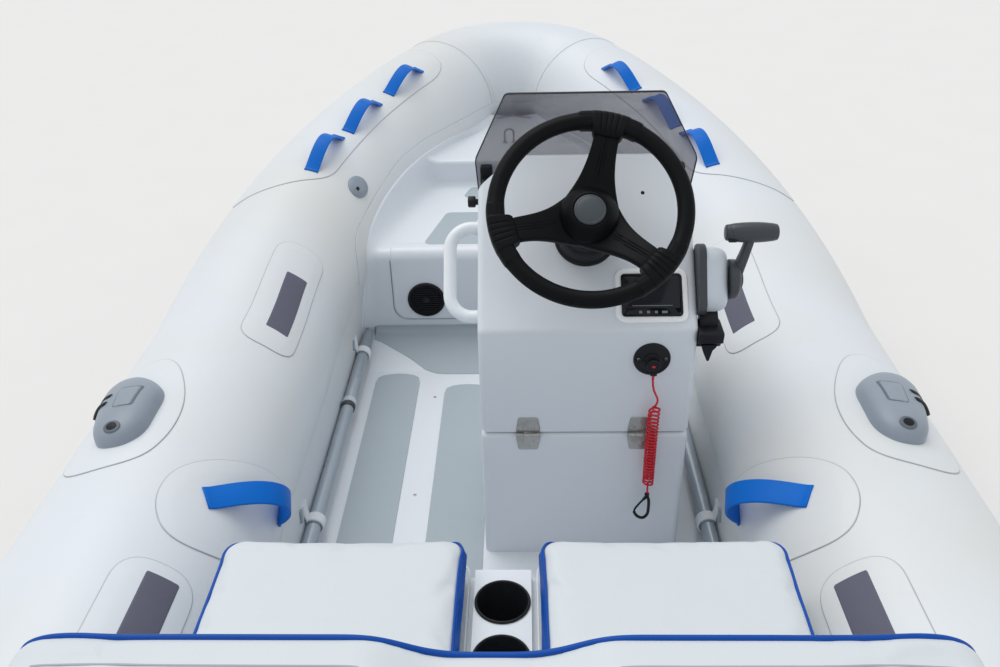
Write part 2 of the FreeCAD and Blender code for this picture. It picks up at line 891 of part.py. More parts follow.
def rounded_path(points, radii):
    """Wire of straight runs joined by tangent arcs."""
    points = [Vector(*point) for point in points]
    edges = []
    last = points[0]
    for index, radius in enumerate(radii, start=1):
        before = (points[index - 1] - points[index]).normalize()
        after = (points[index + 1] - points[index]).normalize()
        half = before.getAngle(after) / 2
        reach = radius / math.tan(half)
        begin = points[index] + before * reach
        end = points[index] + after * reach
        bisector = (before + after).normalize()
        middle = points[index] + bisector * (radius / math.sin(half) - radius)
        edges.append(Part.LineSegment(last, begin).toShape())
        edges.append(arc_edge(begin, middle, end))
        last = end
    edges.append(Part.LineSegment(last, points[-1]).toShape())
    return Part.Wire(edges)


def cord_radii(points):
    """Arc radii for a cord: 0.45 of the shorter run over the tangent of half the turn."""
    points = [Vector(*point) for point in points]
    radii = []
    for a, b, c in zip(points, points[1:], points[2:]):
        turn = (b - a).getAngle(c - b)
        run = min((b - a).Length, (c - b).Length)
        radii.append(0.45 * run / math.tan(turn / 2))
    return radii


# Lanyard route, from the button down to the carabiner, as offsets from its pivot
FERRULE_RADIUS = 2.5
LANYARD_PIVOT = Vector(float(D.console_aft) - 21.0, KILL_Y - 1.0, KILL_Z - 23.8)


def lanyard_route(offsets):
    """Points of the route from their offsets."""
    return [tuple(LANYARD_PIVOT + Vector(*offset)) for offset in offsets]


LEAD_POINTS = lanyard_route([(0, 0, -8.2), (0, 0, -25.2), (-4, -5, -50.2), (-4, -5, -77.2)])
COIL_POINTS = lanyard_route([(-4, -5, -77.2), (-4, -5, -245.2)])
TAIL_POINTS = lanyard_route([(-4, -5, -245.2), (-4, -5, -269.2)])
CORD_RADIUS = 2.0
COIL_RADIUS = 9.5


def straight_rod(points, radius):
    """Round rod between two points."""
    a, b = [Vector(*point) for point in points]
    return Part.makeCylinder(radius, (b - a).Length, a, b - a)


def make_lanyard():
    """Clip, lead, coil, tail and carabiner of the stop lanyard."""
    face = float(D.console_aft)
    clip_ring = Part.makeCylinder(13, 5, Vector(face - 19.5, KILL_Y, KILL_Z), Vector(1, 0, 0))
    clip_ring = clip_ring.cut(Part.makeCylinder(
        9.3, 9, Vector(face - 21.5, KILL_Y, KILL_Z), Vector(1, 0, 0)))
    low = LANYARD_PIVOT.z + FERRULE_RADIUS + float(D.seat_gap)
    tab = Part.makeBox(10.5, 12, 7.5, Vector(face - 25, KILL_Y - 7, low))
    neck = Part.makeBox(5, 8, KILL_Z - low - 10.0, Vector(face - 19.5, KILL_Y - 4, low))
    solid("lanyard_clip", clip_ring.fuse([tab, neck]).removeSplitter())
    eye = Part.makeCylinder(FERRULE_RADIUS, 5, LANYARD_PIVOT - Vector(0, 2.5, 0), Vector(0, 1, 0))
    stem = Part.makeCylinder(FERRULE_RADIUS, LANYARD_PIVOT.z - LEAD_POINTS[0][2],
                             LANYARD_PIVOT, Vector(0, 0, -1))
    solid("lanyard_ferrule", eye.fuse(stem).removeSplitter())
    radii = cord_radii(LEAD_POINTS)
    print("lanyard lead radii", [round(radius, 1) for radius in radii])
    solid("lanyard_lead", sweep(rounded_path(LEAD_POINTS, radii), CORD_RADIUS))
    solid("lanyard_coil", straight_rod(COIL_POINTS, COIL_RADIUS))
    solid("lanyard_tail", straight_rod(TAIL_POINTS, CORD_RADIUS))
    x, y, z = TAIL_POINTS[-1]
    outer = rounded_path([
        (x, y - 1, z - 6), (x, y - 12, z - 26), (x, y - 7, z - 60), (x, y + 5, z - 66),
        (x, y + 14, z - 54), (x, y + 10, z - 22), (x, y + 2, z - 6)], [10, 9, 9, 9, 9])
    hook = sweep(outer, 2.6)
    top = Part.makeCylinder(4.6, 9, Vector(x, y, z - 9), Vector(0, 0, 1))
    solid("carabiner", hook.fuse(top).removeSplitter())


HINGE_YS = (-40.0, -252.0)
HINGE_AXIS_X = float(D.console_aft) - 6.0
LEAF_GAP = 3.4


def hinge_leaf(y, half_width, low, high, knuckles):
    """A leaf on the aft face with knuckles round the pin's axis."""
    z = float(D.split_height)
    face = float(D.console_aft)
    thick = 2.0
    leaf = Part.makeBox(thick, 2 * half_width, high - low, Vector(face - thick, y - half_width, low))
    for start, length in knuckles:
        base = Vector(HINGE_AXIS_X, y + start, z)
        barrel = Part.makeCylinder(5, length, base, Vector(0, 1, 0))
        web_low = z if low >= z else z - 4.9
        web = Part.makeBox(face - HINGE_AXIS_X, length, 4.9,
                           Vector(HINGE_AXIS_X, y + start, web_low))
        leaf = leaf.fuse(barrel.fuse(web))
    return leaf


def make_hinges():
    """Stainless hinges between the lower and the upper console."""
    z = float(D.split_height)
    lower = []
    upper = []
    for y in HINGE_YS:
        outer = [(-23, 14), (9, 14)]
        middle = [(-8.7, 17.4)]
        low_leaf = hinge_leaf(y, 23, z - 38, z - LEAF_GAP, outer)
        pin = Part.makeCylinder(2.5, 46, Vector(HINGE_AXIS_X, y - 23, z), Vector(0, 1, 0))
        lower.append(low_leaf.fuse(pin).removeSplitter())
        bore = Part.makeCylinder(2.5 + float(D.pin_gap), 48,
                                 Vector(HINGE_AXIS_X, y - 24, z), Vector(0, 1, 0))
        top_leaf = hinge_leaf(y, 23, z + LEAF_GAP, z + 38, middle)
        upper.append(top_leaf.removeSplitter().cut(bore))
    solid("hinges_lower", Part.makeCompound(lower))
    solid("hinges_upper", Part.makeCompound(upper))


def make_grab_rail():
    """Bent tube rail on the console's port side."""
    wall = float(D.console_port)
    out = wall + 62
    aft = float(D.console_aft)
    high = (aft + 211, float(D.dash_high) - 134)
    low = (aft + 105, float(D.dash_high) - 270)
    path = rounded_path([
        (high[0], wall, high[1]), (high[0], out, high[1]),
        (low[0], out, low[1]), (low[0], wall, low[1])], [42, 42])
    rail = sweep(path, 10.0)
    for x, z in (high, low):
        rail = rail.fuse(Part.makeCylinder(17, 4, Vector(x, wall, z), Vector(0, 1, 0)))
    solid("grab_rail", rail.removeSplitter())


def make_knob():
    """Locking knob on the console's port side."""
    turn = Rotation(Vector(0, 0, 1), Vector(0, 1, 0))
    spot = Vector(float(D.console_aft) + 219, float(D.console_port), float(D.dash_high) - 54)
    place = Placement(spot, turn)
    outline = [
        (ZERO, size(0)), (size(6), size(0)), (size(6), size(5)), (size(11), size(6)),
        (size(11), size(18)), (size(9), size(20)), (ZERO, size(20)),
    ]
    keep(revolved("console_knob", outline, place), "console_knob")


CONTROL = Vector(float(D.console_aft) + 64, 0, float(D.dash_low) + 68)
CONTROL_TILT = 58.0


def control_side(out):
    """Placement on the console's starboard side, local Z to starboard, local X up the box."""
    side_y = float(D.console_port - D.console_width) - out
    lean = math.radians(CONTROL_TILT)
    up = Vector(math.cos(lean), 0, math.sin(lean))
    outward = Vector(0, -1, 0)
    turn = Rotation(up, outward.cross(up), outward, "ZXY")
    return Placement(Vector(CONTROL.x, side_y, CONTROL.z), turn)


def make_control():
    """Side-mounted remote control: housing, shroud below it and the lever."""
    housing = rounded_slab("control_body", size(58), size(27), 0.3, 52, size(20), control_side(0))
    boss = cylinder("control_boss", 8, 20, Vector(CONTROL.x, float(
        D.console_port - D.console_width) - 50, CONTROL.z), Vector(0, -1, 0))
    keep(fuse("control_both", [housing, boss]), "control_box")
    shroud = rounded_slab("control_shroud", size(26), size(20), 0.3, 44, size(8),
                          Placement(Vector(CONTROL.x - 45,
                                           float(D.console_port - D.console_width),
                                           CONTROL.z - 90), control_side(0).Rotation))
    keep(shroud, "control_shroud")
    side_y = float(D.console_port - D.console_width)
    disc = Part.makeCylinder(36, 12, Vector(CONTROL.x, side_y - 57, CONTROL.z), Vector(0, -1, 0))
    arm_outline = [(-14, -16), (-7, 84), (15, 84), (15, -16)]
    arm = Part.Face(Part.makePolygon([
        Vector(CONTROL.x + x, side_y - 69, CONTROL.z + z)
        for x, z in arm_outline + arm_outline[:1]])).extrude(Vector(0, -16, 0))
    grip = Part.makeCylinder(15, 92, Vector(CONTROL.x + 4, side_y - 42, CONTROL.z + 90),
                             Vector(0, -1, 0))
    ends = [Part.makeSphere(15, Vector(CONTROL.x + 4, side_y - run, CONTROL.z + 90))
            for run in (42, 134)]
    bore = Part.makeCylinder(8 + float(D.pin_gap), 13.5,
                             Vector(CONTROL.x, side_y - 56.9, CONTROL.z), Vector(0, -1, 0))
    lever = disc.fuse([arm, grip] + ends).removeSplitter().cut(bore)
    solid("throttle_lever", lever)


# Fittings on the tubes

def along_tube(run):
    """Centre, heading, outward and up directions at a run along the port tube from X = 0."""
    bend_run = float(D.rise_start)
    side_start = bend_run + float(D.rise_radius) * rise
    bow_start = side_start + side_radius * side
    if run <= bend_run:
        return (Vector(run, float(D.tube_offset), float(D.tube_height)),
                Vector(1, 0, 0), OUTWARD, Vector(0, 0, 1))
    if run <= side_start:
        turn = (run - bend_run) / float(D.rise_radius)
        return (on_bend(turn / rise), Vector(math.cos(turn), 0, math.sin(turn)),
                OUTWARD, Vector(-math.sin(turn), 0, math.cos(turn)))
    if run <= bow_start:
        angle = (run - side_start) / side_radius
        centre = on_arc(side_centre, side_radius, angle)
    else:
        angle = side + (run - bow_start) / float(D.bow_radius)
        centre = on_arc(bow_centre, float(D.bow_radius), angle)
    outward = FORWARD * math.sin(angle) + OUTWARD * math.cos(angle)
    heading = FORWARD * math.cos(angle) - OUTWARD * math.sin(angle)
    return centre, heading, outward, UPWARD


def on_tube(run, degrees, out=0.0):
    """Point over the tube's skin; degrees count from outboard over the top."""
    centre, _, outward, up = along_tube(run)
    angle = math.radians(degrees)
    normal = outward * math.cos(angle) + up * math.sin(angle)
    return centre + normal * (float(D.tube_radius) + out)


def tube_place(run, degrees, out=0.0):
    """Placement on the tube's skin: local X along the tube, local Z off the skin."""
    centre, heading, outward, up = along_tube(run)
    angle = math.radians(degrees)
    normal = outward * math.cos(angle) + up * math.sin(angle)
    turn = Rotation(heading, normal.cross(heading), normal, "ZXY")
    return Placement(on_tube(run, degrees, out), turn)


def strap_arch(start, end, normal, height, width, thick):
    """A flat strap arched between two feet."""
    chord = (end - start).normalize()
    across = chord.cross(normal).normalize()
    middle = (start + end) * 0.5
    inner = arc_edge(start, middle + normal * (height - thick), end)
    outer = arc_edge(start - chord * thick * 1.6, middle + normal * height,
                     end + chord * thick * 1.6)
    wire = Part.Wire([
        inner, Part.LineSegment(end, end + chord * thick * 1.6).toShape(), outer,
        Part.LineSegment(start - chord * thick * 1.6, start).toShape()])
    face = Part.Face(Part.Wire(Part.__sortEdges__(wire.Edges)))
    face.translate(across * (-width / 2))
    return face.extrude(across * width)


BOW_HANDLES = [
    # run to the middle, degrees from outboard
    (2410.0, 101.0),
    (2664.0, 104.0),
    (2950.0, 105.0),
]
HANDLE_SPAN = 215.0


def make_bow_handles():
    """Three arched carrying straps on each side of the bow."""
    clear = float(D.seat_gap)
    port = []
    for run, degrees in BOW_HANDLES:
        start = on_tube(run - HANDLE_SPAN / 2, degrees, clear)
        end = on_tube(run + HANDLE_SPAN / 2, degrees, clear)
        normal = (on_tube(run, degrees, 10) - on_tube(run, degrees)).normalize()
        port.append(strap_arch(start, end, normal, 52, 46, 3.5))
    group = Part.makeCompound(port)
    solid("bow_handles_port", group)
    solid("bow_handles_starboard", group.mirror(Vector(0, 0, 0), Vector(0, 1, 0)))


def make_seat_handles():
    """One arched strap on each tube's inner side by the seat."""
    clear = float(D.seat_gap)
    start = on_tube(1047, 130, clear)
    end = on_tube(1172, 178, clear)
    normal = (on_tube(1110, 154, 10) - on_tube(1110, 154)).normalize()
    strap = seat_on_tube("seat_strap", tool("seat_arch", strap_arch(
        start, end, normal, 62, 44, 3.5)))
    keep(strap, "seat_handle_port")
    keep(mirror("seat_strap_twin", strap), "seat_handle_starboard")


def seat_on_tube(name, shape):
    """Cut the tube's room out of a fitting."""
    return cut(name, shape, ROOMS[0])


def make_oarlocks():
    """Moulded rowlocks with an upright socket for the oar's pin."""
    place = tube_place(1245, 74, -30)
    body = new_body("oarlock_form", place)
    outline = sketch(body, "oarlock_outline", "XY_Plane")
    draw_polygon(outline, [
        (112, -10), (60, -52), (-80, -56), (-110, -12), (-85, 25), (-20, 60), (60, 58), (112, 20)])
    pad(body, outline, 48, symmetric=False)
    bore = cylinder("oarlock_bore", 8, 90, tube_place(1180, 71, -20).Base,
                    tube_place(1180, 71).Rotation.multVec(Vector(0, 0, 1)))
    seated = seat_on_tube("oarlock_seated", cut("oarlock_bored", body, bore))
    keep(seated, "oarlock_port")
    keep(mirror("oarlock_twin", seated), "oarlock_starboard")


def make_valves():
    """Round valve covers on the tubes' inner shoulders."""
    outline = [
        (ZERO, size(-12)), (size(36), size(-12)), (size(36), size(3)), (size(33), size(6)),
        (size(22), size(6)), (size(20), size(10)), (ZERO, size(10)),
    ]
    disc = revolved("valve_disc", outline, tube_place(2342, 137))
    seated = seat_on_tube("valve_seated", disc)
    keep(fuse("valve_pair", [seated, mirror("valve_twin", seated)]), "valves")


def make_tube_pads():
    """Dark grip pads glued on the tubes' inner shoulders."""
    thick = 3.0
    skin = tool("pad_skin", sweep(side_path(), float(D.tube_radius) + thick))
    pads = []
    for number, run in enumerate((739.0, 1717.0)):
        place = tube_place(run, 128, -20) * Placement(Vector(-125, -27.5, 0), Rotation())
        slab = helper("Part::Box", "pad_slab_%d" % number)
        bind(slab, "Length", 250)
        bind(slab, "Width", 55)
        bind(slab, "Height", 40)
        slab.Placement = place
        common = helper("Part::Common", "pad_common_%d" % number)
        common.Base = slab
        common.Tool = skin
        seated = seat_on_tube("pad_seated_%d" % number, common)
        pads += [seated, mirror("pad_twin_%d" % number, seated)]
    keep(fuse("pads", pads), "tube_pads")


def make_floor_pads():
    """Non-slip strips on the floor and pads on the locker's top."""
    console_edge = float(D.console_port) + 6
    low = float(D.floor_top)
    strips = [
        # aft end, forward end, inner y, outer y
        (900.0, 1958.0, 250.0, 369.0),
        (900.0, 1905.0, console_edge, 179.0),
        (1700.0, 1905.0, -60.0, -179.0),
        (1700.0, 1958.0, -250.0, -369.0),
    ]
    shapes = []
    for aft, fore, inner, outer in strips:
        middle = (inner + outer) / 2
        half = abs(outer - inner) / 2
        outline = [(aft, middle - half)]
        for number in range(9):
            turn = math.pi * (number / 8 - 0.5)
            outline.append((fore - 42 + 42 * math.cos(turn) ** 0.6, middle + half * math.sin(turn)))
        outline.append((aft, middle + half))
        shapes.append(pad_plate(outline, low, 2.5))
    solid("floor_pads", Part.makeCompound(shapes))
    top = float(D.locker_top)
    near = float(D.locker_face) + 22
    main = [(near, 262), (near + 250, 203), (near + 250, -203), (near, -262)]
    small = [(2545, 178), (2610, 160), (2610, 60), (2545, 60)]
    twin = [(x, -y) for x, y in reversed(small)]
    solid("locker_pads", Part.makeCompound(
        [pad_plate(outline, top, 2.5) for outline in (main, small, twin)]))


def pad_plate(outline, low, thick):
    """Thin plate on a plan outline."""
    corners = [Vector(x, y, low) for x, y in outline]
    return Part.Face(Part.makePolygon(corners + corners[:1])).extrude(Vector(0, 0, thick))


def make_speaker():
    """Round speaker grille on the locker's face."""
    turn = Rotation(Vector(0, -1, 0), Vector(0, 0, 1), Vector(-1, 0, 0), "ZXY")
    place = Placement(Vector(float(D.locker_face), 244, 272), turn)
    outline = [
        (ZERO, size(0)), (size(52), size(0)), (size(52), size(5)), (size(48), size(9)),
        (size(42), size(9)), (size(40), size(5)), (ZERO, size(5)),
    ]
    keep(revolved("speaker_grille", outline, place), "speaker_grille")


def make_bow_eye():
    """Upright ring on the bow deck."""
    low = float(D.step_top)
    path = rounded_path([(2830, -3, low), (2830, -3, low + 46), (2830, 27, low + 46),
                         (2830, 27, low)], [14, 14])
    solid("bow_eye", sweep(path, 4.0))


OAR_RADIUS = 16.0
OAR_AFT = 960.0
OAR_STRAPS = (1330.0, 2000.0)
BLADE_SECTIONS = [
    # station, half width, half thickness
    (2020.0, 15.0, 15.0),
    (2060.0, 17.0, 10.0),
    (2110.0, 17.0, 7.0),
    (2140.0, 9.0, 5.0),
]


def oval(station, half_y, half_z, y, z):
    """Eight-sided oval across X at a station."""
    corners = []
    for number in range(8):
        turn = math.radians(22.5 + 45.0 * number)
        corners.append(Vector(station, y + half_y * math.cos(turn), z + half_z * math.sin(turn)))
    return Part.makePolygon(corners + corners[:1])


def make_oars():
    """Oars stowed along the floor by the coaming, each held in two straps."""
    side = float(D.floor_half)
    y = side - OAR_RADIUS - 3
    z = float(D.floor_top) + 37
    shaft = Part.makeCylinder(OAR_RADIUS, 1075, Vector(OAR_AFT, y, z), Vector(1, 0, 0))
    collar = Part.makeCylinder(OAR_RADIUS + 5 - 3.5, 26, Vector(1752, y, z), Vector(1, 0, 0))
    blade = Part.makeLoft([oval(x, a, b, y, z) for x, a, b in BLADE_SECTIONS], True, True)
    end = Part.makeSphere(OAR_RADIUS + 1.5, Vector(OAR_AFT, y, z))
    oar = shaft.fuse([collar, blade, end]).removeSplitter()
    solid("oar_port", oar)
    solid("oar_starboard", oar.mirror(Vector(0, 0, 0), Vector(0, 1, 0)))
    clips = []
    for x in OAR_STRAPS:
        ring = Part.makeCylinder(OAR_RADIUS + 2.5, 28, Vector(x - 14, y, z), Vector(1, 0, 0))
        foot = Part.makeBox(28, side - y, 12, Vector(x - 14, y, z + 4))
        hole = Part.makeCylinder(OAR_RADIUS + float(D.seat_gap), 34, Vector(x - 17, y, z),
                                 Vector(1, 0, 0))
        clip = ring.fuse(foot).removeSplitter().cut(hole)
        clips += [clip, clip.mirror(Vector(0, 0, 0), Vector(0, 1, 0))]
    solid("oar_clips", Part.makeCompound(clips))


# Outboard, drawn in its running place and parked tilted up about the tilt pin

TILT = Vector(float(D.tilt_x), 0, float(D.tilt_z))
PARK = Placement(TILT, Rotation()) * Placement(
    Vector(), Rotation(Vector(0, 1, 0), PARK_DEG)) * Placement(-TILT, Rotation())
STEER_X = float(D.tilt_x - D.steer_back)


def make_clamp():
    """Clamp brackets over the transom with the tilt pin between them."""
    top = float(D.transom_top)
    thick = float(D.transom_thick)
    outline = [
        (-0.3, top - 130), (-0.3, top + 0.3), (thick + 0.3, top + 0.3), (thick + 0.3, top - 70),
        (thick + 24, top - 70), (thick + 24, top + 14), (18, top + 28), (-14, top + 56),
        (-44, top + 56), (-58, top + 36), (-52, top - 20), (-24, top - 130),
    ]
    plates = []
    for y in (84.0, -102.0):
        corners = [Vector(x, y, z) for x, z in outline]
        plates.append(Part.Face(Part.makePolygon(corners + corners[:1])).extrude(Vector(0, 18, 0)))
    pin = Part.makeCylinder(float(D.tilt_pin), 190, TILT - Vector(0, 95, 0), Vector(0, 1, 0))
    solid("clamp_bracket", plates[0].fuse([plates[1], pin]).removeSplitter())


def make_swivel():
    """Swivel bracket: tilt tube, arms and the steering barrel."""
    tilt_tube = Part.makeCylinder(24, 160, TILT - Vector(0, 80, 0), Vector(0, 1, 0))
    z = float(D.tilt_z)
    barrel = Part.makeCylinder(30, 200, Vector(STEER_X, 0, z - 225), Vector(0, 0, 1))
    web = Part.makeBox(82, 60, 150, Vector(STEER_X + 8, -30, z - 175))
    neck = Part.makeBox(90, 84, 38, Vector(STEER_X + 10, -42, z - 65))
    link = Part.makeBox(26, 140, 34, Vector(float(D.tilt_x) - 26, -70, z - 38))
    shape = tilt_tube.fuse([barrel, web, neck, link]).removeSplitter()
    pin_hole = Part.makeCylinder(float(D.tilt_pin) + float(D.pin_gap), 200,
                                 TILT - Vector(0, 100, 0), Vector(0, 1, 0))
    steer_hole = Part.makeCylinder(float(D.steer_pin) + float(D.pin_gap), 240,
                                   Vector(STEER_X, 0, z - 245), Vector(0, 0, 1))
    solid("swivel_bracket", shape.cut(pin_hole).cut(steer_hole), PARK)


def ring_wire(cx, half_x, half_y, z, corner):
    """Rounded rectangle in plan at a height."""
    a, b, c = half_x, half_y, corner
    turn = c * (1 - math.sqrt(0.5))
    corners = [(1, 1), (-1, 1), (-1, -1), (1, -1)]
    edges = []
    spots = []
    for sx, sy in corners:
        first = (sx * a, sy * (b - c))
        last = (sx * (a - c), sy * b)
        middle = (sx * (a - turn), sy * (b - turn))
        spots.append((first, middle, last) if sx * sy > 0 else (last, middle, first))
    for index, (first, middle, last) in enumerate(spots):
        start, mid, end = [Vector(cx + x, y, z) for x, y in (first, middle, last)]
        edges.append(arc_edge(start, mid, end))
        following = spots[(index + 1) % 4][0]
        edges.append(Part.LineSegment(
            end, Vector(cx + following[0], following[1], z)).toShape())
    return Part.Wire(edges)


def make_engine():
    """Cowl, and the leg with its gearcase, plate and skeg."""
    z = float(D.tilt_z)
    cowl_rings = [
        # centre x, half length, half width, height over the tilt pin, corner
        (-228, 168, 128, 52, 40),
        (-236, 190, 148, 110, 50),
        (-240, 192, 148, 230, 56),
        (-236, 178, 136, 310, 60),
        (-228, 140, 100, 360, 56),
    ]
    cowl = Part.makeLoft([
        ring_wire(STEER_X + 130 + cx, a, b, z + up, c) for cx, a, b, up, c in cowl_rings],
        True, True)
    solid("engine_cowl", cowl, PARK)
    leg_rings = [(-235, 62, 52, 12, 24), (-230, 58, 46, -120, 24), (-225, 52, 34, -330, 20),
                 (-225, 60, 20, -540, 12)]
    leg = Part.makeLoft([
        ring_wire(STEER_X + 130 + cx, a, b, z + up, c) for cx, a, b, up, c in leg_rings],
        True, True)
    pan = Part.makeBox(300, 200, 20, Vector(STEER_X - 240, -100, z + 31.7))
    neck = Part.makeBox(150, 90, 50, Vector(STEER_X - 170, -45, z - 12))
    upper = Part.makeBox(80, 56, 36, Vector(STEER_X - 50, -28, z - 20))
    lower = Part.makeBox(80, 48, 24, Vector(STEER_X - 60, -24, z - 252))
    pin = Part.makeCylinder(float(D.steer_pin), 250, Vector(STEER_X, 0, z - 250), Vector(0, 0, 1))
    boss = Part.makeCylinder(26, 24, Vector(STEER_X, 0, z - 252), Vector(0, 0, 1))
    boss_top = Part.makeCylinder(26, 30, Vector(STEER_X, 0, z - 20), Vector(0, 0, 1))
    prop_z = z - float(D.prop_drop)
    plate = Part.makeBox(300, 150, 8, Vector(STEER_X - 300, -75, z - 548))
    gear_x = STEER_X - 235
    torpedo = Part.makeCylinder(36, 190, Vector(gear_x, 0, prop_z), Vector(1, 0, 0))
    nose = Part.makeCone(36, 12, 70, Vector(gear_x + 190, 0, prop_z), Vector(1, 0, 0))
    strut = Part.makeBox(120, 24, float(D.prop_drop) - 544,
                         Vector(gear_x + 60, -12, prop_z))
    skeg_points = [(gear_x + 50, prop_z), (gear_x + 190, prop_z), (gear_x + 130, prop_z - 118),
                   (gear_x + 80, prop_z - 118)]
    skeg = Part.Face(Part.makePolygon(
        [Vector(x, -5, zz) for x, zz in skeg_points + skeg_points[:1]])).extrude(Vector(0, 10, 0))
    shaft = Part.makeCylinder(8, 60, Vector(gear_x - 60, 0, prop_z), Vector(1, 0, 0))
    shape = leg.fuse([pan, neck, upper, lower, pin, boss, boss_top, plate, torpedo, nose, strut,
                      skeg, shaft]).removeSplitter()
    solid("engine_leg", shape, PARK)


def make_propeller():
    """Three-bladed propeller on the gearcase's shaft."""
    prop_z = float(D.tilt_z - D.prop_drop)
    gear_x = STEER_X - 235
    hub = Part.makeCone(26, 32, 84, Vector(gear_x - 90, 0, prop_z), Vector(1, 0, 0))
    sections = []
    tip = float(D.prop_radius)
    for radius, chord, pitch in ((20, 60, 52), (60, 92, 38), (95, 96, 28), (tip, 40, 22)):
        turn = math.radians(pitch)
        thick = 4.0
        along = Vector(math.sin(turn), math.cos(turn), 0)
        across = Vector(math.cos(turn), -math.sin(turn), 0)
        middle = Vector(gear_x - 48, 0, prop_z + radius)
        corners = [middle + along * (chord / 2 * a) + across * (thick / 2 * b)
                   for a, b in ((-1, 0.2), (0, 1), (1, 0.2), (1, -0.2), (0, -1), (-1, -0.2))]
        sections.append(Part.makePolygon(corners + corners[:1]))
    blade = Part.makeLoft(sections, True, True)
    shape = hub
    for number in range(3):
        turned = blade.copy()
        turned.rotate(Vector(gear_x, 0, prop_z), Vector(1, 0, 0), 120.0 * number)
        shape = shape.fuse(turned)
    bore = Part.makeCylinder(8 + float(D.pin_gap), 62, Vector(gear_x - 61, 0, prop_z),
                             Vector(1, 0, 0))
    shape = shape.cut(bore)
    solid("propeller", shape.removeSplitter(), PARK)


doc.recompute()
ROOMS = make_tubes()
make_hull(ROOMS)
make_floor()
make_bow_locker(ROOMS)
make_transom(ROOMS)
make_seat(ROOMS)
make_cups()
make_cushions()
make_backrest()
make_console_base()
make_console_top()
make_helm()
make_wheel()
make_windscreen()
make_screen_clips()
make_gauge()
make_kill_switch()
make_lanyard()
make_hinges()
make_grab_rail()
make_knob()
make_control()
make_bow_handles()
make_seat_handles()
make_oarlocks()
make_valves()
make_tube_pads()
make_floor_pads()
make_speaker()
make_bow_eye()
make_oars()
make_clamp()
make_swivel()
make_engine()
make_propeller()


def write_parts():
    """Check every object and write each sub-part."""
    doc.recompute()
    for item in doc.Objects:
        for word in ("Invalid", "Error"):
            if word in item.State:
                raise ValueError("%s is %s" % (item.Name, word))
    os.makedirs("parts", exist_ok=True)
    for item in PIECES:
        shape = item.Shape
        if shape.isNull() or not shape.isValid():
            raise ValueError(item.Label + " has no valid shape")
        print("%-20s solids %d volume %.0f" % (item.Label, len(shape.Solids), shape.Volume))
    for item in PIECES:
        item.Shape.exportStep("parts/%s.step" % item.Label)


write_parts()
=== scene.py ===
"""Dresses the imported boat: tubes, cockpit, seat, console, fittings and motor, in metres."""

